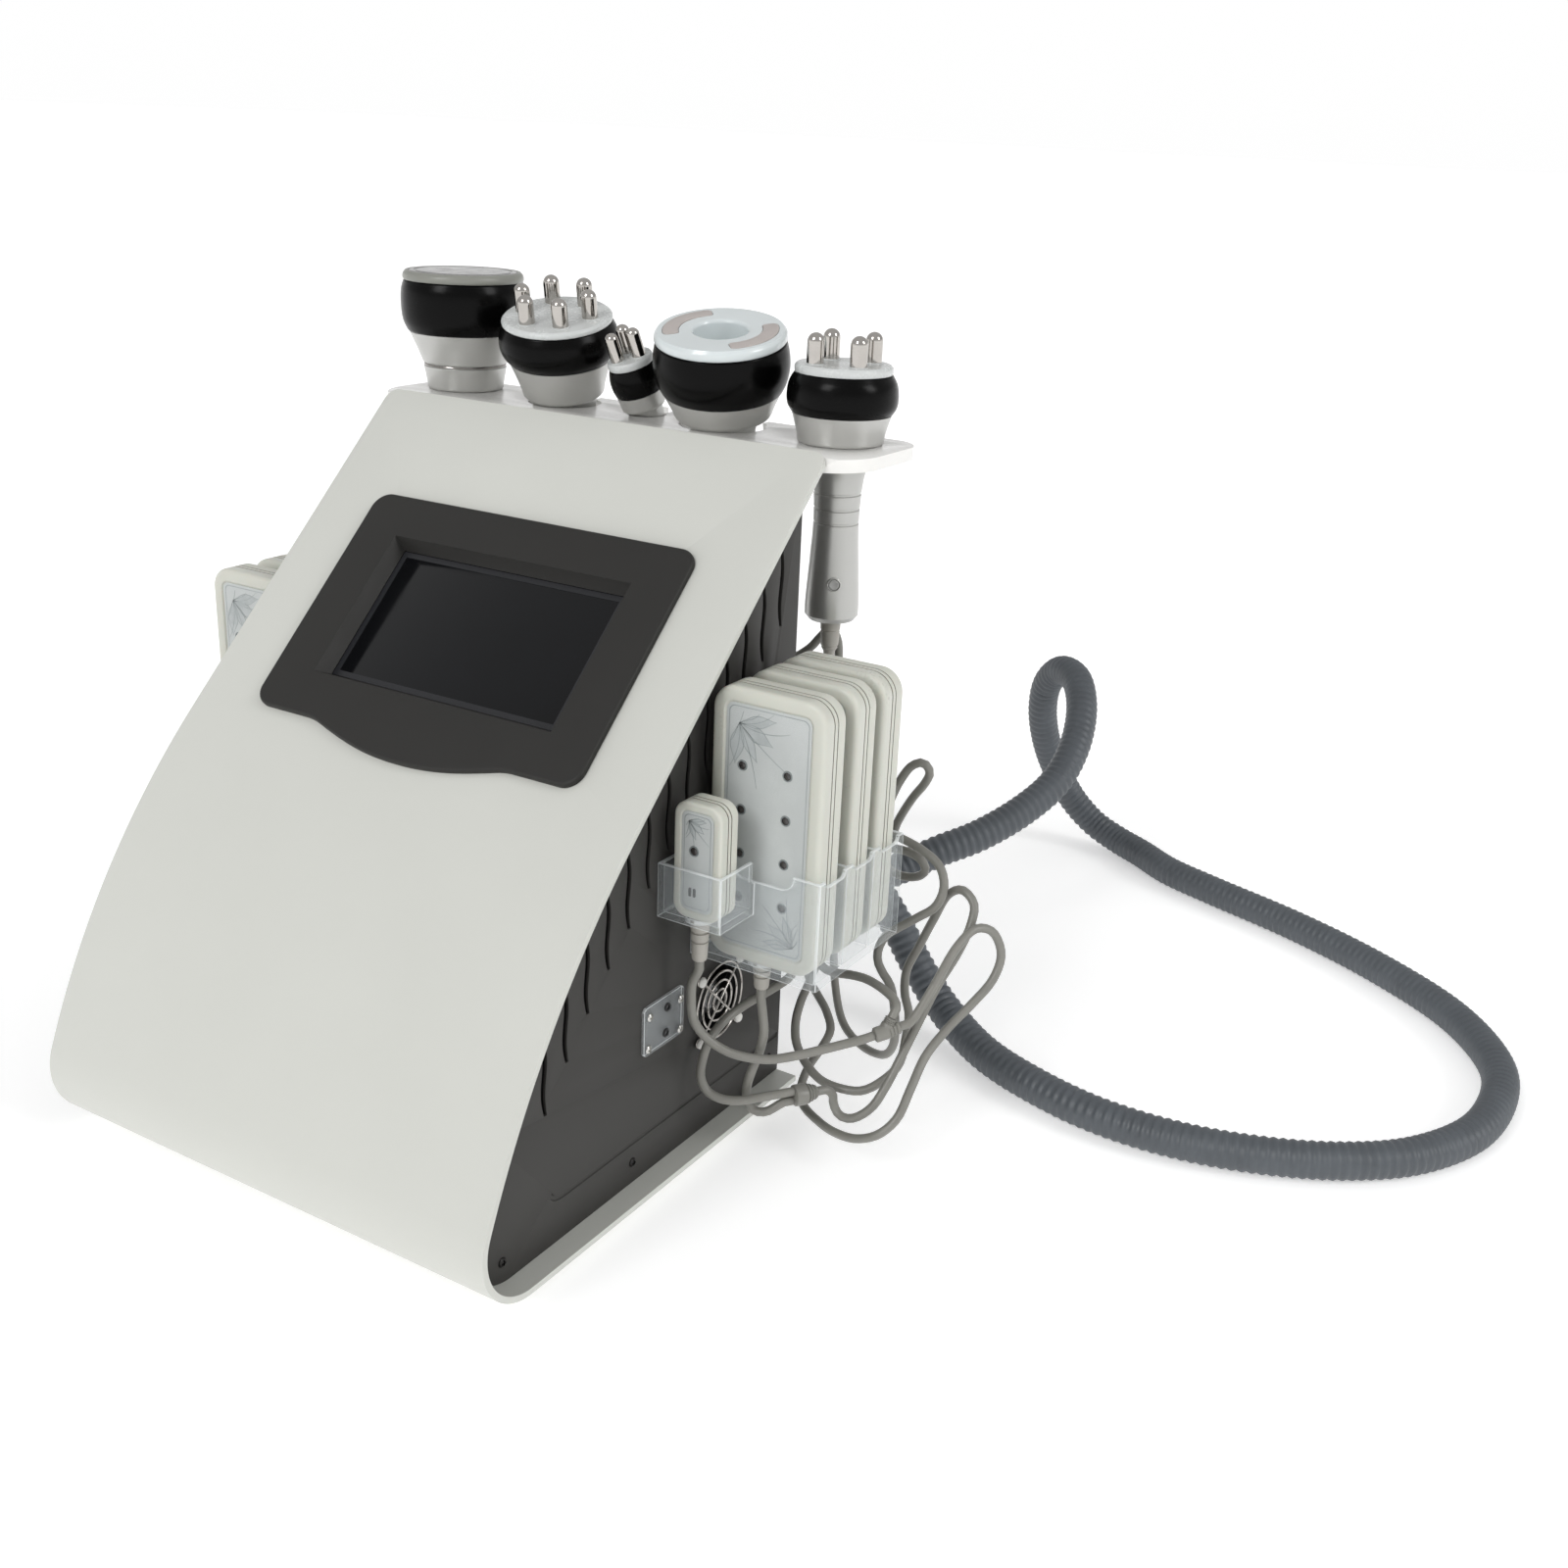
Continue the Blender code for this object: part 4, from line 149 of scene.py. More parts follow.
def finish(name, code, rough, metal=0.0, mottle=(0.04, 40), grain=(0.6, 0.01), spread=0.05, **constants):
    """A material with a real surface. mottle is how far its tone changes and over how many millimetres, grain
    the width and height of its relief in millimetres, and spread how far its gloss wanders round rough."""
    made = bpy.data.materials.new(name)
    made.use_nodes = True
    tree = made.node_tree
    shader = tree.nodes["Principled BSDF"].inputs
    place = add(tree, "TexCoord", out="Object")
    cloud = add(tree, "TexNoise", {"Vector": place, "Scale": 1000 / mottle[1], "Detail": 4.0})
    fine = add(tree, "TexNoise", {"Vector": place, "Scale": 1000 / grain[0], "Detail": 2.0})
    tone = linear(code)
    stops = [(0.3, [c * (1 - mottle[0]) for c in tone]), (0.7, [min(c * (1 + mottle[0]), 0.95) for c in tone])]
    halves = [add(tree, "Math", {0: noise, 1: 0.5}, operation="MULTIPLY") for noise in (fine, cloud)]
    mixed = add(tree, "Math", dict(enumerate(halves)), operation="ADD")
    gloss = add(tree, "MapRange", {0: mixed, 1: 0.35, 2: 0.65, 3: rough - spread, 4: rough + spread})
    bump = add(tree, "Bump", {"Height": fine, "Distance": grain[1] / 1000, "Strength": 1.0})
    tree.links.new(add(tree, "ValToRGB", {0: cloud}, stops=stops), shader["Base Color"])
    tree.links.new(gloss, shader["Roughness"])
    tree.links.new(bump, shader["Normal"])
    shader["Metallic"].default_value = metal
    for key, value in constants.items():
        shader[key.replace("_", " ")].default_value = value
    return made


SPLITTER_A = ((0.2568, 0.264, 0.0925), (0.2672, 0.2765, 0.0963))
SPLITTER_A_BRANCH = ((0.261, 0.270, 0.0946), (0.2627, 0.274, 0.102))
SPLITTER_B = ((0.217, 0.238, 0.049), (0.226, 0.251, 0.049))
SMALL_PAD_ROUTE = (
    (175, 186, 137), (173, 188, 125), (173, 192, 107), (180, 196, 96), (191, 202, 88), (200, 209, 84),
    (211, 218, 82), (222, 229, 83), (233, 240, 85.5), (242, 248.5, 88),
)
PAD_ROUTE_1 = (
    (201.5, 223.5, 106), (203, 223, 96), (201, 222, 82), (197, 221, 69), (193, 222, 55), (193, 223, 45),
    (197.5, 224.5, 38.5), (204.5, 226.5, 39),
)
PAD_ROUTE_2 = (
    (187, 254, 106), (176, 243, 97), (171, 228, 91), (170, 214, 84), (169, 208, 72), (170, 205, 62),
    (175, 205, 54), (184, 208, 50), (195, 214, 50), (204, 222, 51.5),
)
PAD_ROUTE_3 = (
    (203, 291.8, 111.5), (212.5, 291.6, 110.5), (223, 291, 112.5), (235, 289.5, 114), (246, 287, 113.2),
    (255.2, 284, 111.5), (261.1, 281, 109.7),
)
TRUNK_ROUTE_A = (
    (274.5, 289, 106), (278, 303, 121), (281, 321, 137), (286, 336, 145), (293, 346, 141), (299, 349, 126),
    (298, 342, 111), (291, 328, 97), (283, 312, 84), (278, 294, 71), (278, 276, 56), (277, 262, 42),
    (269, 254, 32), (255, 252, 25), (238, 255, 22), (222, 262, 21), (205, 272, 22), (196, 284, 25),
    (194, 296, 34), (198, 306, 46), (198, 316, 54), (189, 326, 60), (175, 338, 63), (162, 350, 64),
    (150, 362, 70), (134, 372, 84), (120, 376, 104), (112, 374, 126), (110, 366, 142), (110, 352, 150),
)
TRUNK_ROUTE_B = (
    (232.5, 260, 45), (233.5, 260.5, 37.5), (239, 259, 32.5), (248, 259, 33.5), (258, 264, 42), (263, 272, 55),
    (266, 283, 70), (269, 298, 89), (273, 315, 111), (277.5, 330.5, 128), (280, 341, 144), (278.5, 346.5, 156),
    (269, 349, 162), (258, 352, 155), (249, 352, 135), (242, 348, 115), (238, 341, 100), (243, 330, 90),
    (253, 318, 82), (258, 306, 73), (260, 294, 59), (254, 284, 50), (245, 276, 44), (233, 272, 43),
    (217, 272, 44), (203, 276, 50), (191, 284, 57), (184, 294, 65), (180, 306, 73), (177, 320, 79),
    (173, 338, 88), (165, 354, 100), (154, 366, 116), (144, 370, 134), (139, 364, 146), (138, 352, 150),
)
HANDPIECE_ROUTE = (
    (148, 376, 262), (150, 374, 230), (156, 372, 203), (166, 372, 182), (180, 372, 167), (195, 372, 163),
    (204, 371.5, 171), (209, 370, 186), (220, 368, 207), (229, 366, 220), (232.5, 364, 229),
    (228.5, 362, 234.5), (221.5, 361, 231.5), (214.5, 360.5, 221), (208.5, 360, 206), (204, 360.5, 190),
    (202, 361, 176), (204.5, 360.5, 164), (212, 359, 157), (223, 357, 156.5), (234, 355, 160),
    (240, 353, 166.5), (237.5, 351.5, 173.5), (227, 351, 177), (208, 351, 175.5), (193, 351, 174),
    (184.5, 350.5, 180), (191, 349.5, 187), (208, 349, 188), (224, 348.5, 186), (241, 347, 182),
    (254, 345, 175), (259.5, 341, 164), (257, 336, 152), (248, 332, 144), (238, 328, 136), (230, 324, 129),
    (227, 321, 121), (227.5, 319, 113), (232, 318, 106), (238, 318, 99), (242, 316.5, 90), (244.5, 316.5, 73),
    (242, 321, 55), (231, 330, 40), (210, 341, 34), (185, 358, 36), (163, 383, 50), (150, 400, 80),
    (143, 405, 125), (139, 406, 200), (140, 404, 265), (139.5, 402, 290), (135, 400, 297), (129, 398, 291),
    (123, 396, 283), (116, 394, 277), (109, 392, 272), (99, 385, 260), (91, 375, 233), (86, 366, 200),
    (82, 358, 172), (82, 348, 154),
)
HOSE_ROUTE = (
    (76, 365, 60.2), (81, 400, 62), (92, 440, 66), (115, 478, 74), (142, 512, 86), (163, 535, 98),
    (183, 561, 107), (202, 598, 121), (213, 632, 137), (213, 665, 157), (203, 698, 178), (185, 727, 191),
    (162, 750, 189), (144, 767, 170), (136, 782, 140), (136, 802, 102), (143, 824, 66), (155, 838, 40),
    (173, 844, 22.5), (197, 840, 14.5), (225, 826, 13), (259, 803, 13), (305, 785, 13), (384, 757, 13),
    (461, 719, 13), (528, 670, 13), (567, 615, 13), (578, 573, 13), (574, 511, 13), (548, 459, 13),
    (515, 428, 13), (472, 404, 13), (420, 388, 13), (365, 385, 13), (313, 396, 13), (263, 416, 14.5),
    (219, 440, 26), (194, 446, 49), (173, 448, 77), (146, 450, 106), (115, 448, 140), (87, 443, 180),
    (63, 434, 225), (51, 424, 262),
)

# MACHINE takes the machine's own axes to the frame, and GAP is the clearance between pieces that only touch
MACHINE = Matrix.Translation((0, -MIDDLE, 0))
GAP = 0.0003
LEAD_ACROSS, STRAIGHT, STEP = 0.0057, 0.006, 0.004

# Extruded PVC: a soft satin grey whose tone drifts over 18 mm, with faint scuffs
lead_jacket = finish("PVC cable jacket, satin grey", "#807f79", 0.36, mottle=(0.06, 18), grain=(0.5, 0.005))


def between(pair, t):
    """A point of the line through two knots, for the smooth curve below."""
    (p0, t0), (p1, t1) = pair
    return (t1 - t) / (t1 - t0) * p0 + (t - t0) / (t1 - t0) * p1


def smooth_route(points, count):
    """Even places along a smooth curve through a route's points. The two end points only give its direction."""
    route = np.array([tuple(p) for p in points])
    knots = np.concatenate([[0], np.cumsum(np.linalg.norm(np.diff(route, axis=0), axis=1) ** 0.5)])
    dense = []
    for k in range(1, len(route) - 2):
        (p0, p1, p2, p3), (t0, t1, t2, t3) = route[k - 1 : k + 3], knots[k - 1 : k + 3]
        for t in np.linspace(t1, t2, 24, endpoint=False):
            a1 = between(((p0, t0), (p1, t1)), t)
            a2 = between(((p1, t1), (p2, t2)), t)
            a3 = between(((p2, t2), (p3, t3)), t)
            b1 = between(((a1, t0), (a2, t2)), t)
            b2 = between(((a2, t1), (a3, t3)), t)
            dense.append(between(((b1, t1), (b2, t2)), t))
    dense = np.array(dense + [route[-2]])
    lengths = np.concatenate([[0], np.cumsum(np.linalg.norm(np.diff(dense, axis=0), axis=1))])
    marks = np.linspace(0, lengths[-1], count + 1)
    return np.column_stack([np.interp(marks, lengths, column) for column in dense.T])


def lead(name, start, start_way, route, end, end_way, length):
    """A free lead as a round jacket, leaving and arriving straight."""
    start, end = Vector(start) + start_way * GAP, Vector(end) - end_way * GAP
    ends = (start + start_way * STRAIGHT, end - end_way * STRAIGHT)
    route = [Vector(p) / 1000 for p in route]
    middle = smooth_route([start, ends[0], *route, ends[1], end], round(length / STEP))
    places = [MACHINE @ Vector(p) for p in (start, *middle, end)]
    curve = bpy.data.curves.new(name + "_jacket", "CURVE")
    curve.dimensions = "3D"
    curve.bevel_depth = LEAD_ACROSS / 2
    curve.bevel_resolution = 5
    curve.use_fill_caps = True
    line = curve.splines.new("POLY")
    line.points.add(len(places) - 1)
    for point, place in zip(line.points, places):
        point.co = (*place, 1.0)
    line.use_smooth = True
    curve.materials.append(lead_jacket)
    made = bpy.data.objects.new(name + "_jacket", curve)
    bpy.context.collection.objects.link(made)
    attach(made, "machine")
    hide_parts(name)


# Splitters: tapered PVC mouldings of 9 to 14 mm, cast round the leads where two pads' leads join one trunk.
# Their thin ends have three flex grooves, and they share the jackets' satin grey.
def solid(name, points, faces, material, body, place=MACHINE, smooth=32, slot=None, replaces=()):
    """One piece from points and faces in the axes of place, its faces outward and its soft edges smooth."""
    mesh = bpy.data.meshes.new(name)
    mesh.from_pydata([tuple(place @ Vector(p)) for p in points], [], faces)
    sheet = bmesh.new()
    sheet.from_mesh(mesh)
    bmesh.ops.recalc_face_normals(sheet, faces=sheet.faces)
    sheet.to_mesh(mesh)
    sheet.free()
    mesh.shade_smooth()
    mesh.set_sharp_from_angle(angle=math.radians(smooth))
    made = bpy.data.objects.new(name, mesh)
    bpy.context.collection.objects.link(made)
    if body:
        mesh.materials.append(material)
        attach(made, body)
        if replaces:
            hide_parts(*replaces)
    return made


def circle(radius, steps):
    """Points round a circle."""
    turn = [math.tau * i / steps for i in range(steps)]
    return [(radius * math.cos(a), radius * math.sin(a)) for a in turn]


def turned(profile, steps=72, closed=False):
    """Points and faces of a body turned about Z from (radius, height) points."""
    points, rows = [], []
    for radius, height in profile:
        if radius < 1e-9:
            rows.append([len(points)] * steps)
            points.append((0, 0, height))
            continue
        rows.append(list(range(len(points), len(points) + steps)))
        points += [(x, y, height) for x, y in circle(radius, steps)]
    pairs = list(zip(rows, rows[1:])) + ([(rows[-1], rows[0])] if closed else [])
    faces = []
    for low, high in pairs:
        for i in range(steps):
            j = (i + 1) % steps
            face = tuple(dict.fromkeys((low[i], low[j], high[j], high[i])))
            if len(face) > 2:
                faces.append(face)
    return points, faces


def merged(parts):
    """Points and faces of several bodies as one, each part with the matrix that places it."""
    points, faces = [], []
    for (part_points, part_faces), place in parts:
        base = len(points)
        points += [tuple(place @ Vector(p)) for p in part_points]
        faces += [tuple(base + i for i in face) for face in part_faces]
    return points, faces


def along(start, end):
    """The matrix that takes Z to the line from start to end."""
    start, end = Vector(start), Vector(end)
    return Matrix.Translation(start) @ (end - start).to_track_quat("Z", "Y").to_matrix().to_4x4()


def splitter_profile(length, radius, tip):
    """A moulding's outline: a blunt rounded foot, then three grooves as it thins to its tip."""
    line = [(0, 0), (radius * 0.80, 0), (radius * 0.97, 0.0006), (radius, 0.0016), (radius, length * 0.45)]
    for k in range(3):
        low = length * (0.52 + 0.14 * k)
        wide = radius + (tip - radius) * (0.1 + 0.3 * k)
        line += [(wide, low), (wide * 0.86, low + 0.0003), (wide * 0.86, low + 0.0009),
                 (wide * 0.97, low + 0.0012)]
    return line + [(tip, length - 0.0006), (tip * 0.85, length), (0, length)]


a_in, a_out = [Vector(p) for p in SPLITTER_A]
b_in, b_out = [Vector(p) for p in SPLITTER_B]
branch_foot, branch_end = [Vector(p) for p in SPLITTER_A_BRANCH]
a_way, b_way = (a_out - a_in).normalized(), (b_out - b_in).normalized()
branch_way = (branch_foot - branch_end).normalized()
a_long, b_long = (a_out - a_in).length, (b_out - b_in).length
branch_long = (branch_end - branch_foot).length
parts = [
    (turned(splitter_profile(a_long, 0.0048, 0.0042), 40), along(a_in, a_out)),
    (turned(splitter_profile(branch_long, 0.0044, 0.0042), 40), along(branch_foot, branch_end)),
]
wye = solid("splitter_a_moulding", *merged(parts), lead_jacket, "machine", slot="grey_lead",
            replaces=["splitter_a"])
parts = [(turned(splitter_profile(b_long, 0.0068, 0.0042), 40), along(b_in, b_out))]
joint = solid("splitter_b_moulding", *merged(parts), lead_jacket, "machine", slot="grey_lead",
              replaces=["splitter_b"])

DOWN, FRONT = Vector((0, 0, -1)), Vector((0, -1, 0))
TRAY_LEVEL, TRAY_ROW = 0.4243, 0.376
SOCKET_X, SOCKET_PITCH, SOCKET_Z = 0.138, 0.028, 0.150
pad_exits = [(0.1990, y, 0.1243) for y in (0.224395, 0.259625, 0.291605)]
socket_ends = [(SOCKET_X - SOCKET_PITCH * k, 0.3323, SOCKET_Z) for k in range(4)]
spread = DOWN * 0.0032
lead("pad_lead_1", pad_exits[0], DOWN, PAD_ROUTE_1, b_in + spread, b_way, 0.115)
lead("pad_lead_2", pad_exits[1], DOWN, PAD_ROUTE_2, b_in - spread, b_way, 0.164)
lead("pad_lead_3", pad_exits[2], DOWN, PAD_ROUTE_3, branch_end, branch_way, 0.086)
lead("small_pad_lead", (0.180, 0.18508, 0.1533), DOWN, SMALL_PAD_ROUTE, a_in, a_way, 0.169)
lead("trunk_lead_a", a_out, a_way, TRUNK_ROUTE_A, socket_ends[1], FRONT, 0.578)
lead("trunk_lead_b", b_out, b_way, TRUNK_ROUTE_B, socket_ends[0], FRONT, 0.616)
lead("handpiece_lead", (0.1481, TRAY_ROW, 0.2833), DOWN, HANDPIECE_ROUTE, socket_ends[2], FRONT, 1.188)


# Suction hose: 2.07 m of blown corrugated polyethylene, 25 mm over a rib every 6 mm, from the rear port over
# the table and up to the suction handpiece. A smooth 30 mm rubber cuff is pushed over each end.
def lean_axis(right, front):
    """Unit axis of a handpiece that leans to the right and to the front by these degrees."""
    return Vector((math.tan(math.radians(right)), -math.tan(math.radians(front)), 1.0)).normalized()


def tube_rings(places, radii, steps):
    """Rings square to a route, with no twist from one to the next."""
    ways = np.gradient(places, axis=0)
    ways /= np.linalg.norm(ways, axis=1)[:, None]
    side = np.array([0.0, 0.0, 1.0])
    points = []
    for place, way, radius in zip(places, ways, radii):
        side = side - way * (side @ way)
        side /= np.linalg.norm(side)
        other = np.cross(way, side)
        points += [place + x * side + y * other for x, y in circle(radius, steps)]
    return points


def tube_faces(rings, steps, closed=False):
    """Faces of a tube through these rings, which either closes on itself or has a cap at each end."""
    faces = []
    for k in range(rings if closed else rings - 1):
        near, far = k * steps, (k + 1) % rings * steps
        for i in range(steps):
            j = (i + 1) % steps
            faces.append((near + i, near + j, far + j, far + i))
    return faces if closed else faces + [tuple(range(steps)), tuple(range((rings - 1) * steps, rings * steps))]


# Blown polyethylene: satin blue-grey ribs with soft highlights. The cuffs' rubber is blacker and duller.
hose_plastic = finish("Corrugated polyethylene hose, dark grey", "#50555a", 0.45, mottle=(0.10, 25),
                      grain=(0.5, 0.012))
cuff_rubber = finish("Rubber hose cuff, black", "#26282a", 0.55, mottle=(0.08, 12), grain=(0.3, 0.01))
vacuum_up = lean_axis(4.5, 12.4)
hose_start = Vector((0.075, 0.3346, 0.060))
hose_end = Vector((0.0612, TRAY_ROW, TRAY_LEVEL)) - vacuum_up * 0.1033
hose_straight = (hose_start - FRONT * 0.025, hose_end - vacuum_up * 0.025)
RIBS, SIDES, BORE = 330, 24, 0.0095
WAVE = (0.0112, 0.0120, 0.0125, 0.0120)
middle = [Vector(p) / 1000 for p in HOSE_ROUTE]
route = smooth_route([hose_start, hose_straight[0], *middle, hose_straight[1], hose_end], RIBS * len(WAVE))
first = np.linspace(hose_start, hose_straight[0], 17)
last = np.linspace(hose_straight[1], hose_end, 17)
places = np.vstack([first[:-1], route, last[1:]]) - np.array([0, MIDDLE, 0])
outer = tube_rings(places, [WAVE[k % len(WAVE)] for k in range(len(places))], SIDES)
bore = tube_rings(places[::6], [BORE] * len(places[::6]), SIDES)
back = [p for k in range(len(bore) - SIDES, -1, -SIDES) for p in bore[k : k + SIDES]]
rings = (len(outer) + len(back)) // SIDES
hose = solid("suction_hose", outer + back, tube_faces(rings, SIDES, closed=True), hose_plastic, "machine",
             Matrix.Identity(4), 60, "hose_grey", ["vacuum_hose"])
cuff = [(0.0128, 0), (0.0134, 0.0008), (0.0134, 0.006), (0.0140, 0.0066), (0.0140, 0.0100), (0.0134, 0.0106),
        (0.0134, 0.027), (0.0130, 0.0300), (0.0118, 0.0302), (0.0118, 0)]
for name, line in (("port", along(hose_start + FRONT * 0.008, hose_straight[0])),
                   ("handpiece", along(hose_end, hose_straight[1]))):
    ring = merged([(turned(cuff, 48, closed=True), line)])
    solid("hose_cuff_" + name, *ring, cuff_rubber, "machine", slot="hose_grey")


# Wrap: one 4 mm steel sheet, 345 mm wide, bent into base, nose and sloping front and powder-coated warm white.
# Its upper corners are rounded by 9 mm, the screen's window is cut through it, and its edges are broken.
def cut(made, tools, width=0.0, segments=2, operation="DIFFERENCE"):
    """Takes shapes away from a piece, or adds them, then rounds its edges by this width."""
    for tool in tools:
        step = made.modifiers.new(tool.name, "BOOLEAN")
        step.operation, step.solver, step.object = operation, "EXACT", tool
    if width:
        step = made.modifiers.new("edges", "BEVEL")
        step.width, step.segments, step.limit_method = width, segments, "ANGLE"
        step.angle_limit = math.radians(38)
        step.use_clamp_overlap = True
        step.miter_outer = "MITER_ARC"
    mesh = bpy.data.meshes.new_from_object(made.evaluated_get(bpy.context.evaluated_depsgraph_get()))
    made.modifiers.clear()
    made.data = mesh
    mesh.shade_smooth()
    mesh.set_sharp_from_angle(angle=math.radians(34))
    for tool in tools:
        bpy.data.objects.remove(tool, do_unlink=True)


def lofted(pieces):
    """Points and faces of closed bodies, each through equal loops of points with a cap at each end."""
    points, faces = [], []
    for loops in pieces:
        base, steps = len(points), len(loops[0])
        points += [tuple(p) for loop in loops for p in loop]
        faces += [tuple(base + i for i in face) for face in tube_faces(len(loops), steps)]
    return points, faces


def extruded(outline, levels, axis="z"):
    """A body's loops: an outline in two axes, repeated at each of these levels of the third."""
    spot = "xyz".index(axis)
    return [[(*pair[:spot], level, *pair[spot:]) for pair in outline] for level in levels]


def cutter(name, pieces, place=MACHINE):
    """A shape that is only taken away from another."""
    return solid(name, *lofted(pieces), None, None, place)


def box_loops(low, high):
    """Loops of a box between two opposite corners, in any order."""
    x, y, z = [sorted(pair) for pair in zip(low, high)]
    return [[(x[0], y[0], h), (x[1], y[0], h), (x[1], y[1], h), (x[0], y[1], h)] for h in z]


def outward(turn):
    """Unit normal of the wrap in the side view, where the sheet runs at this angle to the table."""
    return np.array([-math.sin(turn), math.cos(turn)])


SLOPE, NOSE = math.radians(43.5), math.radians(68)
NOSE_RADIUS, FRONT_RADIUS, DEPTH, HALF = 0.0407, 0.530, 0.318, 0.1725
SHEET, BASE, WRAP_TOP, CORNER = 0.004, 0.006, 0.428, 0.009
NOSE_CENTRE = np.array([NOSE_RADIUS, BASE + NOSE_RADIUS])
BEND_CENTRE = NOSE_CENTRE + (NOSE_RADIUS - FRONT_RADIUS) * outward(NOSE)
UPHILL = np.array([math.cos(SLOPE), math.sin(SLOPE)])
SLOPE_FOOT = BEND_CENTRE + FRONT_RADIUS * outward(SLOPE)
SLOPE_HEAD = SLOPE_FOOT + UPHILL * (WRAP_TOP - SLOPE_FOOT[1]) / UPHILL[1]


def wrap_line(inward, head=None, shorten=0.0):
    """The wrap in the side view as (y, z), this far inside its outer face, from the base's rear to the top."""
    points = [np.array([DEPTH, BASE + inward])]
    for turn in np.linspace(math.pi, NOSE, 33):
        points.append(NOSE_CENTRE + (NOSE_RADIUS - inward) * outward(turn))
    for turn in np.linspace(NOSE, SLOPE, 25)[1:]:
        points.append(BEND_CENTRE + (FRONT_RADIUS - inward) * outward(turn))
    if head is None:
        points.append(SLOPE_HEAD - inward * outward(SLOPE) - UPHILL * shorten)
    else:
        points.append(points[-1] + UPHILL * (head - points[-1][1]) / UPHILL[1])
    return points


def slope_loops(outlines):
    """Loops on the sloping front from outlines of (x, down its face), each at a height above the sheet."""
    return [[(x, *(SLOPE_HEAD - UPHILL * down + outward(SLOPE) * out)) for x, down in outline]
            for outline, out in outlines]


def window(margin):
    """Outline of the 176 x 95 mm screen opening, this much larger on each side."""
    return rounded(0.088 + margin, 0.118 - margin, 0.213 + margin, 0.0002, 6)


def rounded(half_wide, low, high, radius, steps=8):
    """Points round a rectangle with rounded corners, as (across, up)."""
    points = []
    for side, level, start in ((1, low, -90), (1, high, 0), (-1, high, 90), (-1, low, 180)):
        middle_up = level + radius if level == low else level - radius
        for i in range(steps + 1):
            a = math.radians(start + 90 * i / steps)
            points.append((side * (half_wide - radius) + radius * math.cos(a),
                           middle_up + radius * math.sin(a)))
    return points


# Powder coat: satin, its highlight broken up by an orange peel of about a millimetre
white_coat = finish("Powder-coated steel, satin warm white", "#cacbc5", 0.42, mottle=(0.010, 90),
                    grain=(1.1, 0.015))
loops = []
quarter = np.linspace(0, math.pi / 2, 10)
right = [(HALF - CORNER + CORNER * math.sin(a), CORNER * (1 - math.cos(a))) for a in quarter]
for x, shorten in [(-x, s) for x, s in right[::-1]] + right:
    line = wrap_line(0.0, shorten=shorten) + wrap_line(SHEET, shorten=shorten)[::-1]
    loops.append([(x, y, z) for y, z in line])
wrap = solid("wrap_sheet", *lofted([loops]), white_coat, "machine", slot="white_shell",
             replaces=["front_shell"])
opening = window(0.0088)
cut(wrap, [cutter("window_tool", [slope_loops([(opening, -0.006), (opening, 0.002)])])], 0.0008, 3)

# Side panels: 2 mm sheet steel in fine-textured paint, set 15 mm inside the wrap's edges, with thirteen punched
# wavy vents of 48 x 4 mm along the slope, a pressed groove at the foot and three blackened pan-head screws.

# Textured paint: matt warm grey that takes no clear reflection. A black sheet behind the vents is painted
# shade, standing in for the dark closed interior, and keeps them black
PANEL_FACE, PANEL_BACK, OUTSIDE, INSIDE = 0.1575, 0.1555, 0.1595, 0.1535
VENTS, VENT_START, VENT_PITCH, VENT_LONG, VENT_DROP = 13, 0.069, 0.0189, 0.048, 0.027
dark_paint = finish("Textured paint, dark warm grey", "#3a3937", 0.55, mottle=(0.05, 70), grain=(0.5, 0.02),
                    Specular_IOR_Level=0.3)
vent_painted_shade = finish("Black dust gauze behind the vents", "#070707", 0.9, mottle=(0.1, 3), grain=(0.3, 0.02),
                    Specular_IOR_Level=0.05)
black_screw = finish("Blackened steel screw", "#2c2b2a", 0.35, metal=0.8, mottle=(0.10, 3), grain=(0.2, 0.004))


def vent(y, top, faces):
    """One wavy slot through the panel, with pinched ends."""
    left, right = [], []
    for i in range(17):
        share = i / 16
        middle = y + 0.0014 * math.sin(math.tau * share) + 0.0022 * share
        half = 0.0020 * (0.35 + 0.65 * math.sin(math.pi * min(max(share, 0.02), 0.98)) ** 0.35)
        left.append((middle - half, top - VENT_LONG * share))
        right.append((middle + half, top - VENT_LONG * share))
    return extruded(left + right[::-1], faces, "x")


def groove(side):
    """The pressed groove along the foot, with its front end curled up."""
    line = [(0.075, 0.044), (0.0765, 0.0415), (0.079, 0.0396), (0.083, 0.0384), (0.087, 0.038), (0.316, 0.038)]
    loops = []
    for k, (y, z) in enumerate(line):
        before, after = line[max(k - 1, 0)], line[min(k + 1, len(line) - 1)]
        up = Vector((0, before[1] - after[1], after[0] - before[0])).normalized() * 0.0025
        corners = ((OUTSIDE, -1), (OUTSIDE, 1), (0.1566, 0.5), (0.1566, -0.5))
        loops.append([(side * x, y + up.y * s, z + up.z * s) for x, s in corners])
    return loops


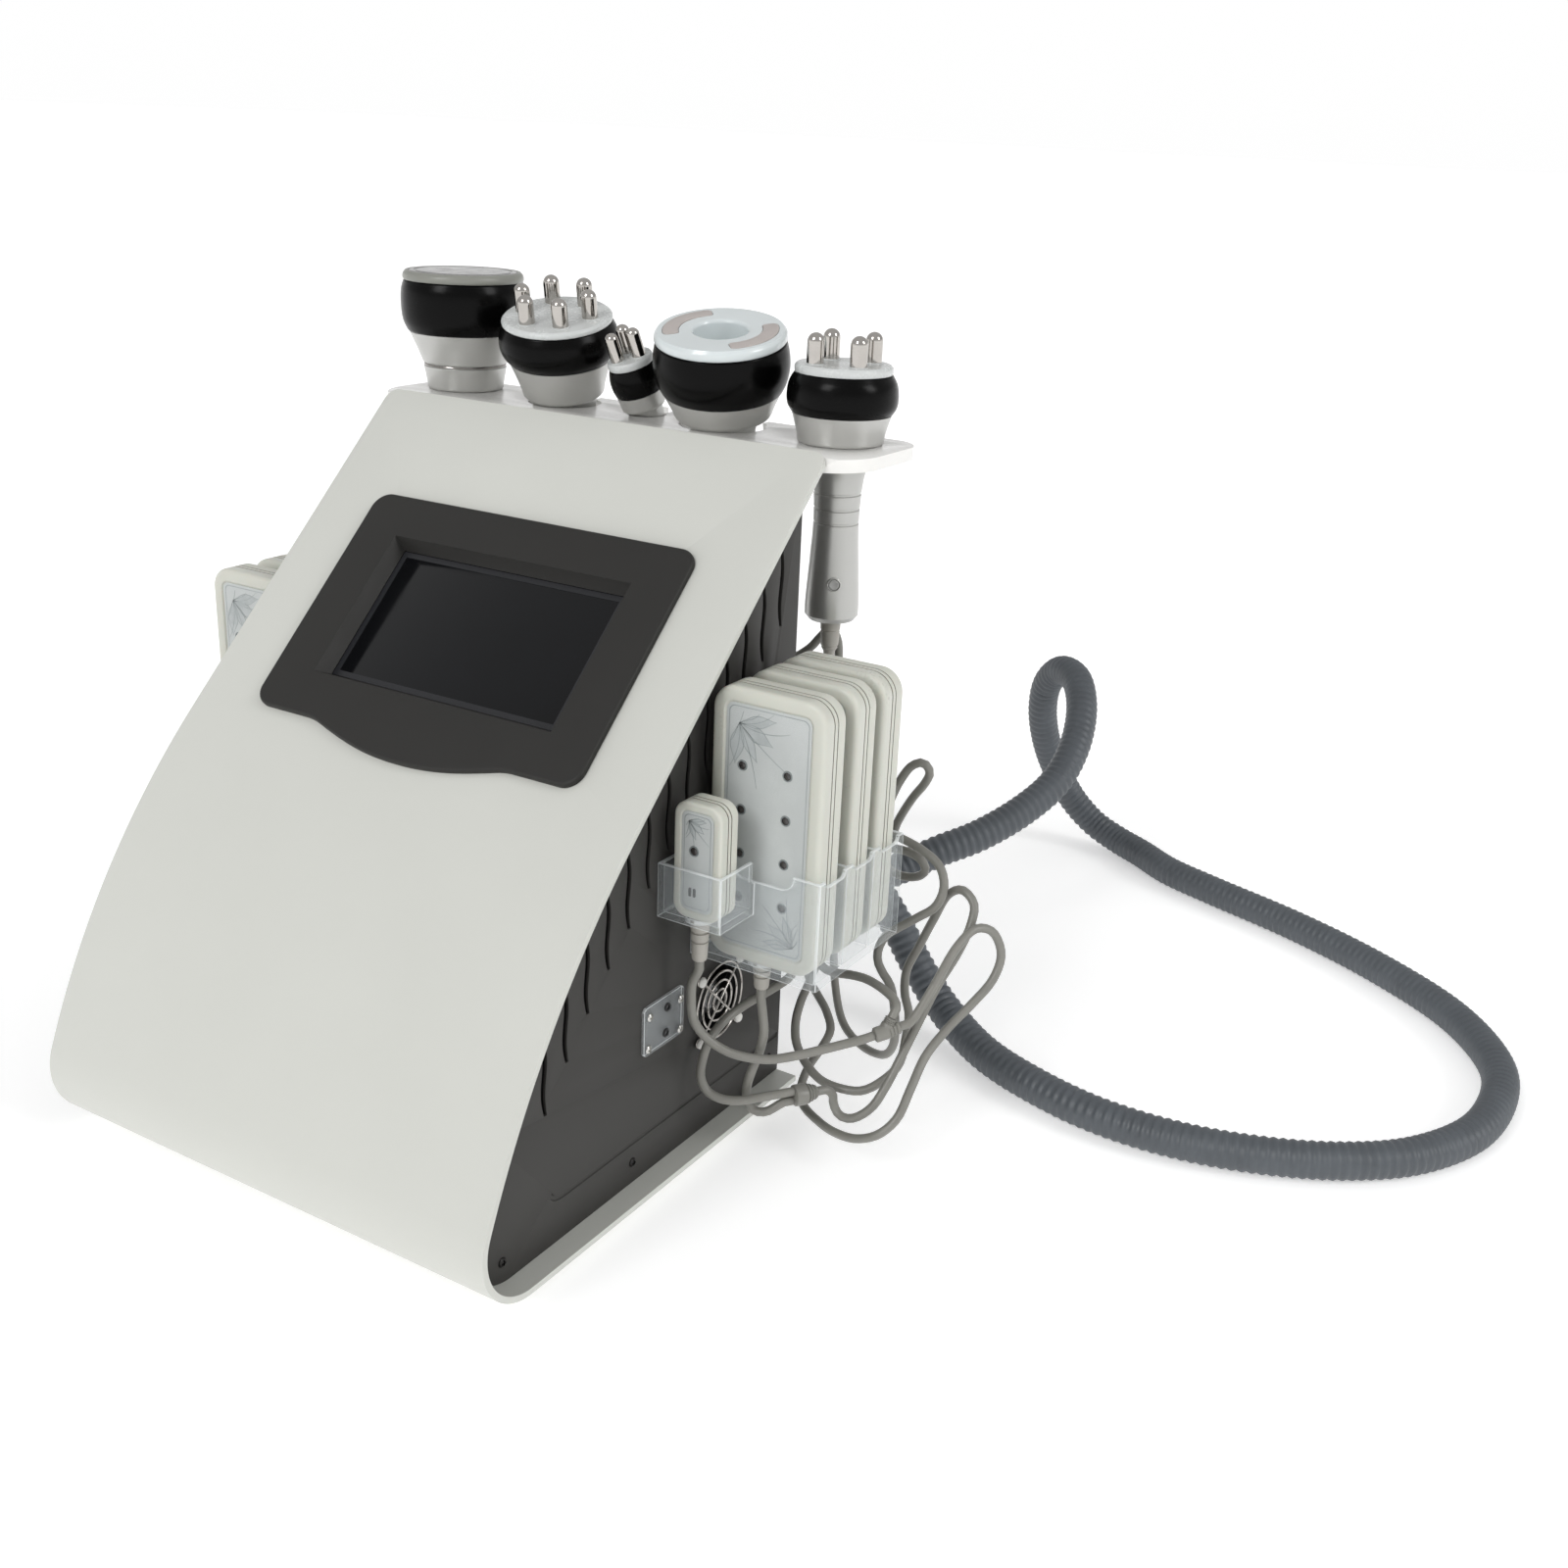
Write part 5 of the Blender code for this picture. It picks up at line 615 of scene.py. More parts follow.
def screw_head(radius, tall, drive="cross"):
    """A domed head with a cross or a hexagon sunk in it, turned about Z."""
    points, rings, steps = [], 13, 40
    for k in range(rings + 1):
        reach = radius * k / rings
        for i in range(steps):
            a = math.tau * i / steps
            x, y = reach * math.cos(a), reach * math.sin(a)
            dome = tall * math.sqrt(max(1 - (reach / radius) ** 2 * 0.92, 0.0))
            near, far = min(abs(x), abs(y)), max(abs(x), abs(y))
            sunk = near < radius * 0.15 and far < radius * 0.58
            if drive == "hexagon":
                sunk = max(abs(math.cos(a - t)) for t in (0, math.pi / 3, -math.pi / 3)) * reach < radius * 0.45
            points.append((x, y, dome * (0.35 if sunk else 1.0)))
    points += [(x, y, 0) for x, y in circle(radius, steps)]
    return points, tube_faces(rings + 2, steps)


def screws(name, spots, way, radius, tall, material, drive="cross", body="machine", slot="steel"):
    """A set of like screws whose heads stand this way out of a face."""
    parts = [(screw_head(radius, tall, drive), along(spot, Vector(spot) + Vector(way))) for spot in spots]
    return solid(name, *merged(parts), material, body, slot=slot)


TRAY_UNDER = TRAY_LEVEL - 0.008
PANEL_TOP = TRAY_UNDER - GAP
TO_RIGHT = Matrix(((0, 0, 1), (1, 0, 0), (0, 1, 0))).to_4x4()
FAN = Matrix.Translation((PANEL_FACE, 0.2405 - MIDDLE, 0.0965)) @ TO_RIGHT
for word, side in (("right", 1), ("left", -1)):
    line = wrap_line(SHEET + GAP, head=PANEL_TOP)
    outline = line + [np.array([DEPTH, PANEL_TOP])]
    body = extruded(outline, (side * PANEL_FACE, side * PANEL_BACK), "x")
    panel = solid(f"{word}_panel_sheet", *lofted([body]), dark_paint, "machine", slot="dark_panel",
                  replaces=[f"{word}_side_panel"])
    ys, zs = zip(*line[33:])
    rows = [VENT_START + VENT_PITCH * k for k in range(VENTS)]
    tops = [float(np.interp(y, ys, zs)) - VENT_DROP for y in rows]
    vents = [vent(y, top, (side * OUTSIDE, side * INSIDE)) for y, top in zip(rows, tops)]
    tools = [cutter("vent_tool", vents), cutter("groove_tool", [groove(side)])]
    if side > 0:
        hole = [(0, -0.004), (0.0235, -0.004), (0.0235, 0.002), (0, 0.002)]
        tools.append(solid("fan_hole_tool", *turned(hole, 64), None, None, FAN))
    cut(panel, tools, 0.00025)
    # Painted shade: a black sheet behind each vent stands in for the dark interior seen through it
    backs = [box_loops((side * 0.1551, y - 0.002, top - 0.050), (side * 0.1554, y + 0.005, top + 0.001))
             for y, top in zip(rows, tops)]
    solid(f"{word}_vent_painted_shade", *lofted(backs), vent_painted_shade, "machine", slot="black_plastic")
    spots = [(side * PANEL_FACE, y, 0.0245) for y in (0.0328, 0.1522, 0.3063)]
    screws(f"{word}_panel_screws", spots, (side, 0, 0), 0.0030, 0.0016, black_screw)

# Rear panel: 2 mm sheet steel in the same textured paint, between the side panels, with a cut-out for the mains
# inlet and six blackened pan-head screws round its edge.
rear = solid("rear_panel_sheet", *lofted([box_loops((-0.1552, 0.316, 0.0103), (0.1552, DEPTH, PANEL_TOP))]),
             dark_paint, "machine", slot="dark_panel", replaces=["rear_panel"])
inlet_room = cutter("inlet_tool", [box_loops((-0.1293, 0.314, 0.0407), (-0.0807, 0.320, 0.0993))])
cut(rear, [inlet_room], 0.0004)
spots = [(x, DEPTH, z) for x in (-0.148, 0.148) for z in (0.018, 0.190, 0.395)]
screws("rear_panel_screws", spots, (0, 1, 0), 0.0030, 0.0016, black_screw)

# Tray: 8 mm moulded ABS shelf of 381 x 95 mm on top of the panels, its edges rounded by 1.2 mm, with a bore and
# a lead slot for each of the five handpieces and a flange down the rear panel. Its clear, slightly wavy gloss
# reflects them.
tray_gloss = finish("Moulded ABS, gloss white", "#efeeeb", 0.22, mottle=(0.010, 60), grain=(2.5, 0.006),
                    spread=0.04, Coat_Weight=0.35, Coat_Roughness=0.12)
# Each handpiece's place across, its lean to the right and to the front in degrees, its seat's radius and the
# width of its slot
HEADS = {
    "cavitation": (-0.1555, (0, 0), 0.0412 * 0.633, 0.012),
    "six_pole": (-0.0677, (4.5, 13.5), 0.0366 * 0.732, 0.012),
    "three_pole": (0.0009, (-7.8, 20), 0.0160 * 0.90, 0.012),
    "vacuum": (0.0612, (4.5, 12.4), 0.0420 * 0.738, 0.028),
    "four_pole": (0.1481, (0, 0), 0.0303 * 0.888, 0.012),
}


def head_axes(name):
    """The matrix of a handpiece's own axes, from its seat on the tray up its axis."""
    x, lean = HEADS[name][:2]
    up = lean_axis(*lean)
    right = (Vector((1, 0, 0)) - up * up.x).normalized()
    turn = Matrix((right, up.cross(right), up)).transposed().to_4x4()
    return Matrix.Translation((x, TRAY_ROW - MIDDLE, TRAY_LEVEL)) @ turn


under = SLOPE_HEAD - 0.0043 * outward(SLOPE)
front = under[0] + (TRAY_UNDER - under[1]) * UPHILL[0] / UPHILL[1]
outline, tray_rear = [], 0.409
for side, y, radius, start in ((1, front, 0.036, -90), (1, tray_rear, 0.020, 0), (-1, tray_rear, 0.020, 90),
                               (-1, front, 0.036, 180)):
    middle = (side * (0.1905 - radius), y + (radius if y == front else -radius))
    for i in range(13):
        a = math.radians(start + 90 * i / 12)
        outline.append((middle[0] + radius * math.cos(a), middle[1] + radius * math.sin(a)))
shelf = solid("tray_moulding", *lofted([extruded(outline, (TRAY_UNDER, TRAY_LEVEL))]), tray_gloss, "machine",
              slot="white_tray", replaces=["handpiece_tray"])
foot = np.array([front, TRAY_UNDER])
wedge = [foot - UPHILL * 0.016, foot + UPHILL * 0.016]
wedge += [p + outward(SLOPE) * 0.016 for p in wedge[::-1]]
tools = [cutter("tray_front_tool", [extruded(wedge, (-0.1925, 0.1925), "x")])]
for name, (x, lean, seat, slot_width) in HEADS.items():
    bore = [(0, -0.016), (seat - 0.0022, -0.016), (seat - 0.0022, 0.008), (0, 0.008)]
    tools.append(solid("bore_tool", *turned(bore, 64), None, None, head_axes(name)))
    low = (x - slot_width / 2, TRAY_ROW, TRAY_UNDER - 0.002)
    high = (x + slot_width / 2, 0.411, TRAY_LEVEL + 0.002)
    tools.append(cutter("slot_tool", [box_loops(low, high)]))
cut(shelf, tools, 0.0012, 3)
low, high = (-0.120, DEPTH + GAP, TRAY_UNDER - 0.022), (0.120, DEPTH + GAP + 0.003, TRAY_UNDER)
flange = solid("tray_flange_moulding", *lofted([box_loops(low, high)]), tray_gloss, "machine",
               slot="white_tray")
cut(flange, [], 0.0008)

# Screen bezel: moulded ABS frame of 251 x 164 mm standing 4 mm proud, with a drooping lower lip and a funnel
# down to the 176 x 95 mm screen. Its edges are rounded by 1.8 mm, and its spark texture keeps the dark face
# satin and even.
bezel_plastic = finish("Spark-textured ABS, dark warm grey", "#232220", 0.50, mottle=(0.05, 45),
                       grain=(0.4, 0.018), Specular_IOR_Level=0.35)


def bezel_outline(inset):
    """The frame's outline in x and down the slope, this far inside its edge, with its curved lip."""
    half, top, bottom = 0.1255 - inset, 0.0835 + inset, 0.247 - inset
    corners = rounded(half, top, bottom, 0.012 - inset, 10)
    shares = ((1, 0), (0.92, 0.06), (0.8, 0.26), (0.6, 0.58), (0.4, 0.82), (0.2, 0.96), (0, 1))
    knots = [(-x, d) for x, d in shares] + [(x, d) for x, d in shares[-2::-1]]
    knots = [(knots[0][0] - 0.08, -0.02)] + knots + [(knots[-1][0] + 0.08, -0.02)]
    smooth = smooth_route([(x * 0.079, d * 0.0135, 0) for x, d in knots], 44)
    lip = [(float(p[0]), bottom + float(p[1])) for p in smooth[::-1]]
    middle = len(corners) // 2
    return corners[:middle] + lip + corners[middle:]


PROUD, ROUND, COLLAR_FOOT = 0.004, 0.0018, -0.0055
layers = [(bezel_outline(0), GAP)]
for turn in range(0, 91, 15):
    a = math.radians(turn)
    layers.append((bezel_outline(ROUND * (1 - math.cos(a))), PROUD - ROUND * (1 - math.sin(a))))
bezel = solid("bezel_frame", *lofted([slope_loops(layers)]), bezel_plastic, "machine", slot="bezel",
              replaces=["screen_bezel"])
collar = window(0.0085)
body = cutter("collar_tool", [slope_loops([(collar, COLLAR_FOOT), (collar, 0.002)])])
cut(bezel, [body], operation="UNION")
slant = (PROUD + 0.002 - COLLAR_FOOT) / (PROUD - COLLAR_FOOT)
funnel = [(window(0), COLLAR_FOOT - 0.002), (window(0), COLLAR_FOOT), (window(0.0045 * slant), PROUD + 0.002)]
cut(bezel, [cutter("funnel_tool", [slope_loops(funnel)])], 0.0005, 3)

# Screen: 7 mm laminated touch glass behind the bezel's collar, switched off. Near-black with a slight navy
# cast, smooth but for faint finger marks, and a printed greyer border 4 mm wide round the live area.
glass = finish("Laminated display glass, switched off", "#08090c", 0.12, mottle=(0.20, 60), grain=(30, 0.0),
               spread=0.04, Specular_IOR_Level=0.3)
outline = window(0.0085)
screen = solid("touch_glass", *lofted([slope_loops([(outline, -0.0128), (outline, -0.0058)])]), glass,
               "machine", slot="screen_glass", replaces=["touch_screen"])
cut(screen, [], 0.0004)
border = finish("Display mask print, matt black", "#1b1c20", 0.32, mottle=(0.05, 30), grain=(0.4, 0.004))
rim, live = window(-0.0004), window(-0.0042)
ink = lofted([slope_loops([(rim, -0.00575), (rim, -0.00562)])])
mask = solid("display_mask", *ink, border, "machine", slot="screen_glass")
cut(mask, [cutter("live_tool", [slope_loops([(live, -0.0062), (live, -0.0052)])])])


# Cooling fan: a 50 mm axial fan of matt black nylon behind the right panel, with five twisted blades and a bare
# silver hub disc, under a chromed wire guard of four rings on two crossed arms, held at its corners by white
# nylon rivets.

# Glass-filled nylon is dull with a fine grain, the chrome mirrors the room, and the foil disc is a soft silver
black_mould = finish("Glass-filled nylon, matte black", "#1d1d1e", 0.45, mottle=(0.10, 10), grain=(0.4, 0.02))
chrome = finish("Polished chrome plate", "#bdb9b4", 0.10, metal=1.0, mottle=(0.05, 8), grain=(1.5, 0.002),
                spread=0.04)
nylon = finish("White nylon rivet", "#e9e8e3", 0.35, mottle=(0.02, 6), grain=(0.5, 0.006))
FACE, BACK = -0.0023, -0.0173
STILL = Matrix.Identity(4)
EAR_OUT, FAN_BORE, HUB_RADIUS, WIRE = 0.0212, 0.0235, 0.0105, 0.0009
outline = rounded(0.025, -0.025, 0.025, 0.003)
housing = solid("fan_frame", *lofted([extruded(outline, (BACK, FACE))]), black_mould, "machine", FAN,
                slot="black_plastic", replaces=["fan_housing"])
bore = [(0, BACK - 0.002), (FAN_BORE, BACK - 0.002), (FAN_BORE, FACE - 0.003),
        (FAN_BORE + 0.0005, FACE + 0.002), (0, FACE + 0.002)]
cut(housing, [solid("fan_bore_tool", *turned(bore, 72), None, None, FAN)], 0.0004)
mount = [(0.0017, BACK + 0.003), (0.0017, BACK + 0.0009), (0, BACK + 0.0009), (0, BACK), (0.0100, BACK),
         (HUB_RADIUS, BACK + 0.0005), (HUB_RADIUS, BACK + 0.003)]
parts = [(turned(mount, 48, closed=True), STILL)]
for k in range(3):
    strut = box_loops((0.0100, -0.0015, BACK + 0.0007), (0.0242, 0.0015, BACK + 0.0023))
    parts.append((lofted([strut]), Matrix.Rotation(math.tau * k / 3, 4, "Z")))
solid("fan_motor_mount", *merged(parts), black_mould, "machine", FAN, slot="black_plastic")
SEAT = BACK + 0.003
low, high = SEAT + GAP, SEAT + GAP + 0.0095
hub = [(0, SEAT - 0.002), (0.0015, SEAT - 0.002), (0.0015, low), (0.0098, low), (HUB_RADIUS, low + 0.0007),
       (HUB_RADIUS, high - 0.0012), (0.0101, high - 0.0004), (0.0093, high), (0.0078, high),
       (0.0078, high - 0.0003), (0, high - 0.0003)]
parts = [(turned(hub, 64), STILL)]
for k in range(5):
    loops = []
    for share in np.linspace(0, 1, 8):
        radius = 0.0095 + 0.0127 * share
        pitch = math.radians(52 - 16 * share)
        chord = 0.0050 + 0.0010 * share
        out = Matrix.Rotation(0.22 * share, 4, "Z")
        line = [(u, 0.0009 * (1 - u * u) + w * 0.0006 * (1 - abs(u)) ** 0.5) for w in (1, -1)
                for u in (np.linspace(-1, 1, 7) if w > 0 else np.linspace(1, -1, 7)[1:-1])]
        loop = []
        for u, v in line:
            y = u * chord * math.cos(pitch) - v * math.sin(pitch)
            z = u * chord * math.sin(pitch) + v * math.cos(pitch) + (low + high) / 2
            loop.append(out @ Vector((radius, y, min(max(z, low), high))))
        loops.append(loop)
    parts.append((lofted([loops]), Matrix.Rotation(math.tau * k / 5, 4, "Z")))
solid("fan_impeller", *merged(parts), black_mould, "fan_blades", FAN, 40, "black_plastic", ["fan_rotor"])
silver_foil = finish("Bare silver foil disc", "#b9bbbd", 0.28, metal=0.7, mottle=(0.08, 4), grain=(0.3, 0.004))
disc = [(0, high - 0.00025), (0.0076, high - 0.00025), (0.0076, high - 0.0001), (0, high - 0.0001)]
solid("fan_hub_disc", *turned(disc, 48), silver_foil, "fan_blades", FAN, slot="aluminium")
arm = along((-0.030, 0, 2 * WIRE + GAP), (0.030, 0, 2 * WIRE + GAP))
bar = [(0, 0), (0.0006, 0.0003), (WIRE, 0.001), (WIRE, 0.059), (0.0006, 0.0597), (0, 0.06)]
parts = [(turned(bar, 12), Matrix.Rotation(math.radians(turn), 4, "Z") @ arm) for turn in (45, 135)]
for k in range(4):
    radius = 0.025 * (1 - 0.71 * k / 3)
    wire = [(radius + x, 2 * WIRE + y) for x, y in circle(WIRE, 12)]
    parts.append((turned(wire, 96, closed=True), STILL))
corners = [Matrix.Translation((x * EAR_OUT, y * EAR_OUT, 0)) for x in (-1, 1) for y in (-1, 1)]
ear = [(0.0026 + a, 0.0012 + b) for a, b in circle(WIRE, 12)]
parts += [(turned(ear, 32, closed=True), corner) for corner in corners]
solid("fan_wire_guard", *merged(parts), chrome, "machine", FAN, slot="chrome", replaces=["fan_guard"])
rivet = [(0, GAP), (0.0024, GAP), (0.0024, 0.0022), (0.0033, 0.0023), (0.0034, 0.0030), (0.0026, 0.0042),
         (0.0012, 0.0047), (0, 0.0048)]
parts = [(turned(rivet, 32), corner) for corner in corners]
solid("fan_rivets", *merged(parts), nylon, "machine", FAN, slot="white_tray")

# Pad holders: clear acrylic racks of 88 x 135 x 72 mm on each side panel, glued from 2.5 mm sheet, with three
# pockets for the large pads and a smaller one in front. A small clear plate below is held by four screws. The
# sheet is nearly unseen, and its cut edges and upper rims carry a painted highlight, a whiter, more opaque
# acrylic.
acrylic = finish("Clear cast acrylic, polished", "#dfe6e9", 0.06, mottle=(0.01, 50), grain=(8, 0.003),
                 spread=0.03, Alpha=0.13)
# Painted highlight: a whiter, more opaque acrylic for the edges and rims that catch the light
acrylic_painted_highlight = finish("Clear cast acrylic, painted edge highlight", "#f2f6f7", 0.08, mottle=(0.01, 50), grain=(4, 0.003),
                      spread=0.03, Alpha=0.62)
steel_screw = finish("Nickel-plated steel screw", "#c9c8c4", 0.22, metal=1.0, mottle=(0.08, 2),
                     grain=(0.2, 0.004))
grommet = finish("Rubber grommet, black", "#151515", 0.60, mottle=(0.10, 3), grain=(0.2, 0.01))


def paint_edge_highlights(made):
    """Paints a highlight on a clear piece: its narrow rounded edges and upward upper rims take a whiter, more
    opaque acrylic.
    """
    made.data.materials.append(acrylic_painted_highlight)
    for face in made.data.polygons:
        slanted = max(abs(c) for c in face.normal) < 0.985
        rim = face.normal.z > 0.9 and face.center.z > 0.19
        if slanted or rim:
            face.material_index = len(made.data.materials) - 1


PAD_FRONTS, SMALL_FRONT = (0.212645, 0.247875, 0.279855), 0.17608
WALL, POCKET_START, POCKET_PITCH, POCKET_DEEP = 0.0025, 0.2105, 0.0325, 0.030
RACK_FOOT, SMALL_RACK_FOOT = 0.1415, 0.179
for word, side in (("right", 1), ("left", -1)):
    inner, outer, small = side * 0.1578, side * 0.2453, side * 0.2013
    rack = solid(f"{word}_acrylic_rack",
                 *lofted([box_loops((inner, 0.208, RACK_FOOT), (outer, 0.3080, 0.209))]), acrylic, "machine",
                 slot="clear_acrylic", replaces=[f"{word}_pad_holder"])
    extra = cutter("small_rack_tool",
                   [box_loops((inner, 0.1730, SMALL_RACK_FOOT), (small, POCKET_START, 0.213))])
    cut(rack, [extra], operation="UNION")
    rooms, notches, holes = [], [], []
    for k in range(3):
        low = POCKET_START + POCKET_PITCH * k
        near, far = inner + side * WALL, outer - side * WALL
        rooms.append(box_loops((near, low, RACK_FOOT + 0.003), (far, low + POCKET_DEEP, 0.215)))
        outline = [(low + POCKET_DEEP / 2 + y, z) for y, z in rounded(0.011, 0.205, 0.217, 0.0032)]
        notches.append(extruded(outline, (outer - side * 0.0045, outer + side * 0.002), "x"))
    rooms.append(box_loops((near, 0.1755, SMALL_RACK_FOOT + 0.003), (small - side * WALL, 0.208, 0.215)))
    outline = [(small + side * 0.005 + x, z) for x, z in rounded(0.020, 0.200, 0.227, 0.0072, 10)]
    notches.append(extruded(outline, (0.206, 0.2125), "y"))
    spots = [(0.1990, y + 0.01175, RACK_FOOT) for y in PAD_FRONTS]
    for x, y, z in spots + [(0.1800, SMALL_FRONT + 0.009, SMALL_RACK_FOOT)]:
        holes.append(extruded([(side * x + a, y + b) for a, b in circle(0.0085, 40)], (z - 0.002, z + 0.005)))
    tools = [cutter("pocket_tool", rooms), cutter("scoop_tool", notches), cutter("hole_tool", holes)]
    cut(rack, tools, 0.0006)
    # Painted highlight on the rack's rounded edges and upper rims
    paint_edge_highlights(rack)
    outline = [(0.1798 + y, z) for y, z in rounded(0.0203, 0.0925, 0.1245, 0.003)]
    plate_face = side * 0.1598
    clear = solid(f"{word}_clear_plate", *lofted([extruded(outline, (inner, plate_face), "x")]), acrylic,
                  "machine", slot="clear_acrylic")
    cut(clear, [], 0.0004)
    # Painted highlight on the plate's rounded edges and upper rims
    paint_edge_highlights(clear)
    corners = ((0.1650, 0.1176), (0.1963, 0.1164), (0.1638, 0.0968), (0.1963, 0.0962))
    spots = [(plate_face, y, z) for y, z in corners]
    screws(f"{word}_plate_screws", spots, (side, 0, 0), 0.0028, 0.0016, steel_screw)
    ring = [(0.0014, 0), (0.0027, 0), (0.0029, 0.0006), (0.0024, 0.0012), (0.0016, 0.0012), (0.0014, 0.0009)]
    parts = []
    for y, z in ((0.1822, 0.1170), (0.1810, 0.1005)):
        parts.append((turned(ring, 32, closed=True), along((plate_face, y, z), (side * 0.17, y, z))))
    solid(f"{word}_plate_grommets", *merged(parts), grommet, "machine", slot="foot_rubber")

# Laser pads: cream ABS paddles of 75 x 168 x 23.5 mm (small 32 x 71 x 18), moulded in three shells, with a
# raised rim round a pale blue-grey film. A large pad's film carries a thin border, a generic spray of leaves
# and eight infrared lamps, and a small pad's one lamp and a twin window.

# The ABS is semi-gloss and a little milky, the film glossier, and its print matt and only slightly darker
cream = finish("Moulded ABS, semi-gloss cream white", "#cbccc2", 0.32, mottle=(0.012, 45), grain=(1.8, 0.006),
               spread=0.05, Subsurface_Weight=0.05, Subsurface_Scale=0.004)
film_plastic = finish("Polycarbonate label film, pale blue-grey", "#bfc3c2", 0.26, mottle=(0.03, 30),
                      grain=(0.5, 0.003), Coat_Weight=0.3, Coat_Roughness=0.15)
# Painted shade: a darker cream for the faces in each parting seam's groove
seam_painted_shade = finish("Painted shade in the parting seams of the cream ABS", "#8f8b80", 0.6, mottle=(0.03, 20), grain=(0.5, 0.004))
film_tint = finish("Printed film tint, pale grey", "#b1b6b6", 0.28, mottle=(0.05, 10), grain=(0.4, 0.003))
film_print = finish("Printed film line, mid grey", "#969d9d", 0.35, mottle=(0.10, 8), grain=(0.4, 0.003))
lamp_lens = finish("Smoked epoxy lamp lens", "#33302f", 0.10, mottle=(0.25, 1.5), grain=(0.6, 0.01),
                   Coat_Weight=0.5)
lamp_rim = finish("Lamp rim, grey plastic", "#7d8383", 0.30, mottle=(0.06, 3), grain=(0.3, 0.006))
relief_rubber = finish("PVC strain relief, warm grey", "#a3a099", 0.40, mottle=(0.05, 10), grain=(0.3, 0.008))


MIN_CORNER, INK = 0.0045, 0.00006
SHOULDER = [(0.0, 3.6), (0.10, 2.5), (0.40, 1.55), (0.90, 0.80), (1.6, 0.32), (2.4, 0.08), (3.2, 0), (3.5, 0)]
RIM = [(1.2, 9.2), (1.1, 9.0), (0.45, 8.5), (0.1, 8.0), (0.0, 7.6), *SHOULDER]
SEAM = [(-0.8, 0), (-0.45, 0.10), (-0.32, 1.0), (0.32, 1.0), (0.45, 0.10), (0.8, 0)]


def pad_section(thick, scale, seams):
    """The pad's edge as (depth, inset) in metres, from the film's edge in front round to the back."""
    line = [(d * scale, i * scale) for d, i in RIM]
    line += [(seam + d, i) for seam in seams for d, i in SEAM]
    line += [(thick - d * scale, i * scale) for d, i in [(0.0, 8.5), *SHOULDER][::-1]]
    return [(d / 1000, i / 1000) for d, i in line]


def ribbon(line, width, depth):
    """A thin raised line on the film, through (x, z) points."""
    line = np.array(line)
    ways = np.gradient(line, axis=0)
    ways /= np.linalg.norm(ways, axis=1)[:, None]
    normal = np.column_stack([-ways[:, 1], ways[:, 0]])
    loops = []
    for k, (spot, side) in enumerate(zip(line, normal)):
        half = width / 2 * (0.25 + 0.75 * math.sin(math.pi * (k + 0.5) / len(line)) ** 0.5)
        a, b = spot + side * half, spot - side * half
        loops.append([(p[0], y, p[1]) for p, y in ((a, depth), (b, depth), (b, depth - INK), (a, depth - INK))])
    return lofted([loops])


def direction(turn):
    """Unit step on the film at this angle to x."""
    return np.array([math.cos(turn), math.sin(turn)])


def spray(x, z, turn, size, depth, half, low, high):
    """Curved stems and leaves that fan out from a corner, a plain generic pattern, as lines and fills."""
    parts, fills, root = [], [], np.array([x, z])
    for k in range(5):
        way, spot, line = turn + (k - 2) * 0.34, root, []
        for _ in range(28):
            if abs(spot[0]) > half or not low < spot[1] < high:
                break
            line.append(spot)
            way += 0.020 * (k - 1.6)
            spot = spot + direction(way) * size * (0.72 + 0.1 * (k % 3)) / 28
        if len(line) > 5:
            parts.append(ribbon(line, 0.0005, depth))
    for k in range(6):
        way, leaf = turn + (k - 2.5) * 0.62, []
        side = direction(way + math.pi / 2)
        for flip in (1, -1):
            line = []
            for share in np.linspace(0, 1, 15):
                swell = 0.30 * math.sin(math.pi * share) ** 1.5 * size * (0.30 if k % 2 else 0.24)
                spot = root + direction(way) * size * 0.50 * share + side * swell * flip
                if abs(spot[0]) < half and low < spot[1] < high:
                    line.append(spot)
            if len(line) > 4:
                parts.append(ribbon(line, 0.00045, depth))
                leaf += line if flip > 0 else line[-2:0:-1]
        if len(leaf) > 20:
            fills.append(lofted([extruded(leaf, (depth, depth - 0.00002 - 0.000004 * k), "y")]))
    return parts, fills


def frame_line(outer, inner, depth):
    """A thin raised frame between two outlines of (x, z)."""
    corners = ((outer, depth), (inner, depth), (inner, depth - INK), (outer, depth - INK))
    return [(x, y, z) for outline, y in corners for x, z in outline], tube_faces(4, len(outer), closed=True)


def lamp(x, z, depth, radius=0.0024):
    """A domed lens and the rim round it, standing out of the film."""
    lens = [(0, 0), (radius, 0), (radius * 0.93, 0.0003), (radius * 0.66, 0.00062), (radius * 0.3, 0.0008),
            (0, 0.00083)]
    rim = [(0, 0), (0.0009, 0), (0.0008, 0.00028), (0.0004, 0.00036), (0, 0.00028)]
    place = along((x, depth, z), (x, depth - 1, z))
    return (turned(lens, 28), place), (turned([(radius + r, h) for r, h in rim], 28, closed=True), place)


